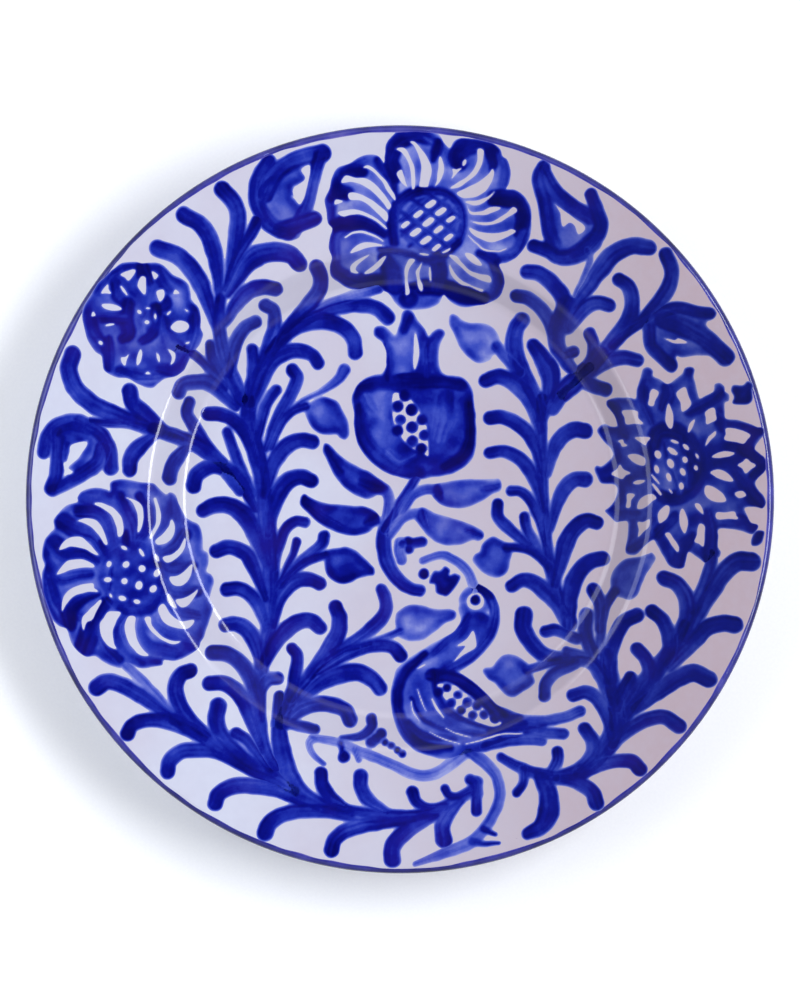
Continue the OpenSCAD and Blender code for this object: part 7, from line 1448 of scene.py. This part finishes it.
def back_form(x, y):
    """Turning marks on the back, under the glaze."""
    r = np.hypot(x, y)
    spacing, depth = TURNING_RINGS
    rings = depth * (np.sin(r * 2 * np.pi / spacing) + 1)
    return warp(x, y) + rings * smooth(84, 90, r) * smooth(147, 140, r)


back_line = np.concatenate([BACK_LINE, BACK_UNDER[::-1]])
back = lathe("back_glaze_skin", back_line, back_form)
finish_piece(back, BACK_WHITE, "back_glaze")

# the glaze inside the foot ring, which climbs the ring a little
base_top = BASE_HIGH[2] - SKIN_GAP
base_r = FOOT_INNER_R - 0.05
base_line = np.array([
    (0, base_top),
    (base_r, base_top),
    (base_r, BASE_LOW[2] - 0.5),
    (FOOT_INNER_R - 0.6, BASE_LOW[2] - 0.16),
    (FOOT_INNER_R - 1.6, BASE_LOW[2]),
    (0, BASE_LOW[2]),
])


def base_form(x, y):
    """The glaze under the plate was wiped on by hand and lies unevenly."""
    return 0.05 * hash_noise(x / 14, y / 14, 11) + 0.02 * hash_noise(x / 4, y / 4, 12)


base = lathe("base_glaze_skin", filled(base_line, 2.5), base_form, turns=240)
finish_piece(base, BACK_WHITE, "base_glaze")

# the clay lies half a gap lower than the inside of the glaze
body_line = np.concatenate([FACE_UNDER, BACK_UNDER[1:], [[0, FOOT_H - SKIN_GAP / 2]]])
body = lathe("clay_core", body_line - (0, SKIN_GAP / 2), warp, turns=360)
finish_piece(body, CLAY, "clay_body")


def foot_form(x, y):
    """Grooves cut by the turning tool, and grit that came off while it was turned."""
    r = np.hypot(x, y)
    inner = smooth(FOOT_INNER_R, FOOT_INNER_R + 1.5, r)
    outer = smooth(FOOT_R, FOOT_R - 1.5, r)
    groove = 0.12 * smooth(0.75, 1, np.sin(r * 2 * np.pi / 2.6)) * inner * outer
    return groove + 0.05 * hash_noise(x / 2.2, y / 2.2, 21) * inner * outer


foot_line = filled(rounded([
    (FOOT_R - 4, FOOT_H, 0),
    (FOOT_R, FOOT_H, 0),
    (FOOT_R, 0, 1.2),
    (FOOT_INNER_R, 0, 1.2),
    (FOOT_INNER_R, FOOT_H, 0),
]), 0.5)
foot = lathe("foot_ring_clay", foot_line, foot_form)
finish_piece(foot, CLAY, "foot_ring")

# ---------- the line round the lip ----------


def lip_band(name, turns=900, steps=12):
    """A band of paint from just inside the lip over its edge, with uneven sides and an uneven thickness."""
    line = FACE_LINE
    steps_along = np.linalg.norm(np.diff(line, axis=0), axis=1)
    way = np.concatenate([[0], np.cumsum(steps_along)])
    over = np.interp(LINE_R, FACE_TO_TOP[:, 0], way[: len(FACE_TO_TOP)])
    around = np.arange(turns) * 2 * np.pi / turns
    circle_x, circle_y = np.cos(around), np.sin(around)
    # a circle through the noise gives uneven sides without a seam
    wave = hash_noise(circle_x * 22 + 40, circle_y * 22 + 40, 31) - 0.5
    broad = hash_noise(circle_x * 4 + 40, circle_y * 4 + 40, 32) - 0.5
    inner = over + 0.3 + 1.1 * broad + 0.7 * wave
    outer = way[-1] - 0.25 - 0.35 * hash_noise(circle_x * 14 + 40, circle_y * 14 + 40, 33)
    share = np.linspace(0, 1, steps + 1)[:, None]
    along = inner + (outer - inner) * share
    r = np.interp(along, way, line[:, 0])
    z = np.interp(along, way, line[:, 1])
    ahead, behind = along + 0.2, along - 0.2
    dr = np.interp(ahead, way, line[:, 0]) - np.interp(behind, way, line[:, 0])
    dz = np.interp(ahead, way, line[:, 1]) - np.interp(behind, way, line[:, 1])
    size = np.hypot(dr, dz)
    nr, nz = -dz / size, dr / size
    lift = PAINT_EDGE + 0.1 * np.sin(np.pi * share) ** 0.5
    rings = []
    for h in (lift, -PAINT_ROOT):
        x, y = (r + nr * h) * circle_x, (r + nr * h) * circle_y
        rings.append(np.stack([x, y, z + nz * h + face_form(r * circle_x, r * circle_y)], -1))
    verts = np.concatenate([rings[0], rings[1][::-1]])
    ink = 0.66 + 0.4 * (share ** 2) + 0.3 * broad + 0.2 * wave - 0.3 * smooth(0.12, 0, share)
    ink = np.concatenate([ink, ink[::-1]])
    index = np.arange(verts.shape[0] * turns).reshape(-1, turns)
    return new_mesh(name, verts.reshape(-1, 3), [ring_quads(index)], {"ink": ink.ravel()})


rim = lip_band("rim_line_paint")
finish_piece(rim, rim_blue(), "rim_line")

# ---------- the motifs ----------

for number, (motif, items) in enumerate(PAINTING.items()):
    finish_piece(coat(motif + "_paint", items, 100 * number + 1), COBALT, motif)

# ---------- floor, light and camera ----------

FLOOR_W = 9.0        # metres
LAMPS_AIM = (0, 0, 0.03)         # over the middle of the plate, about as high as its lip


def floor_plane():
    """A plain pale floor."""
    h = FLOOR_W / 2
    verts = np.array([(-h, -h, 0), (h, -h, 0), (h, h, 0), (-h, h, 0)]) / MM
    obj = new_mesh("floor", verts, [np.array([[0, 1, 2, 3]])])
    s = Shader("floor_paper")
    grain = s.span(s.noise(900.0, 2.0), 0.3, 0.7)
    base = s.mix(grain, srgb(250, 250, 251), srgb(247, 247, 249))
    obj.data.materials.append(s.finish(Base_Color=base, Roughness=0.8))


def area_light(name, place, size, power, colour):
    """A rectangular light, in metres and watts, turned towards the plate."""
    lamp = bpy.data.lights.new(name, "AREA")
    lamp.shape = "RECTANGLE"
    lamp.size, lamp.size_y = size
    lamp.energy = power
    lamp.color = colour
    obj = bpy.data.objects.new(name, lamp)
    obj.location = place
    across, along, up = np.array(LAMPS_AIM) - np.array(place)
    tilt = np.arccos(-up / np.linalg.norm((across, along, up)))
    obj.rotation_euler = (tilt, 0, np.arctan2(-across, along))
    bpy.context.scene.collection.objects.link(obj)


floor_plane()
area_light("window_right", (1.05, 0.14, 1.30), (1.2, 0.5), 21.0, (0.93, 0.96, 1.0))
area_light("sky_left", (-0.85, 0.12, 0.78), (1.1, 0.8), 6.5, (0.84, 0.91, 1.0))
area_light("overhead", (0.15, 1.3, 1.5), (1.6, 1.2), 3.0, (1.0, 0.97, 0.97))

WORLD_STRENGTH = 0.86
# a pale tent round the plate, as (rise, glow): dim low down, bright above, dark where the camera looks in
TENT = [(0.0, 0.42), (0.2, 0.36), (0.42, 0.88), (0.7, 0.92), (0.95, 0.04)]


def tent_light():
    """Soft light from all round, which the glaze also reflects."""
    world = bpy.data.worlds.new("studio")
    world.use_nodes = True
    nodes, links = world.node_tree.nodes, world.node_tree.links
    direction = nodes.new("ShaderNodeTexCoord")
    parts = nodes.new("ShaderNodeSeparateXYZ")
    tent = nodes.new("ShaderNodeValToRGB")
    links.new(direction.outputs["Generated"], parts.inputs[0])
    links.new(parts.outputs["Z"], tent.inputs["Fac"])
    links.new(tent.outputs["Color"], nodes["Background"].inputs["Color"])
    nodes["Background"].inputs["Strength"].default_value = WORLD_STRENGTH
    points = tent.color_ramp.elements
    while len(points) < len(TENT):
        points.new(0.5)
    for point, (rise, glow) in zip(points, TENT):
        point.position = rise
        point.color = (glow * 0.96, glow * 0.97, glow, 1.0)
    bpy.context.scene.world = world


CAMERA_ABOVE = 4.0        # metres from the lip: far enough to see the plate almost without perspective
CAMERA_Y = -0.0003        # the plate lies a hair above the middle of the view
PICTURE_W = 0.3200        # width of the view at the lip, in metres
SENSOR_W = 36             # millimetres


def camera_above():
    """The camera, straight above the plate."""
    lens = bpy.data.cameras.new("camera")
    lens.sensor_fit = "HORIZONTAL"
    lens.sensor_width = SENSOR_W
    lens.lens = SENSOR_W * CAMERA_ABOVE / PICTURE_W
    camera = bpy.data.objects.new("camera", lens)
    camera.location = (0.0, CAMERA_Y, FACE_HIGH[2] * MM + CAMERA_ABOVE)
    bpy.context.scene.collection.objects.link(camera)
    return camera


tent_light()
bpy.context.scene.camera = camera_above()
bpy.context.scene.view_settings.view_transform = "Standard"
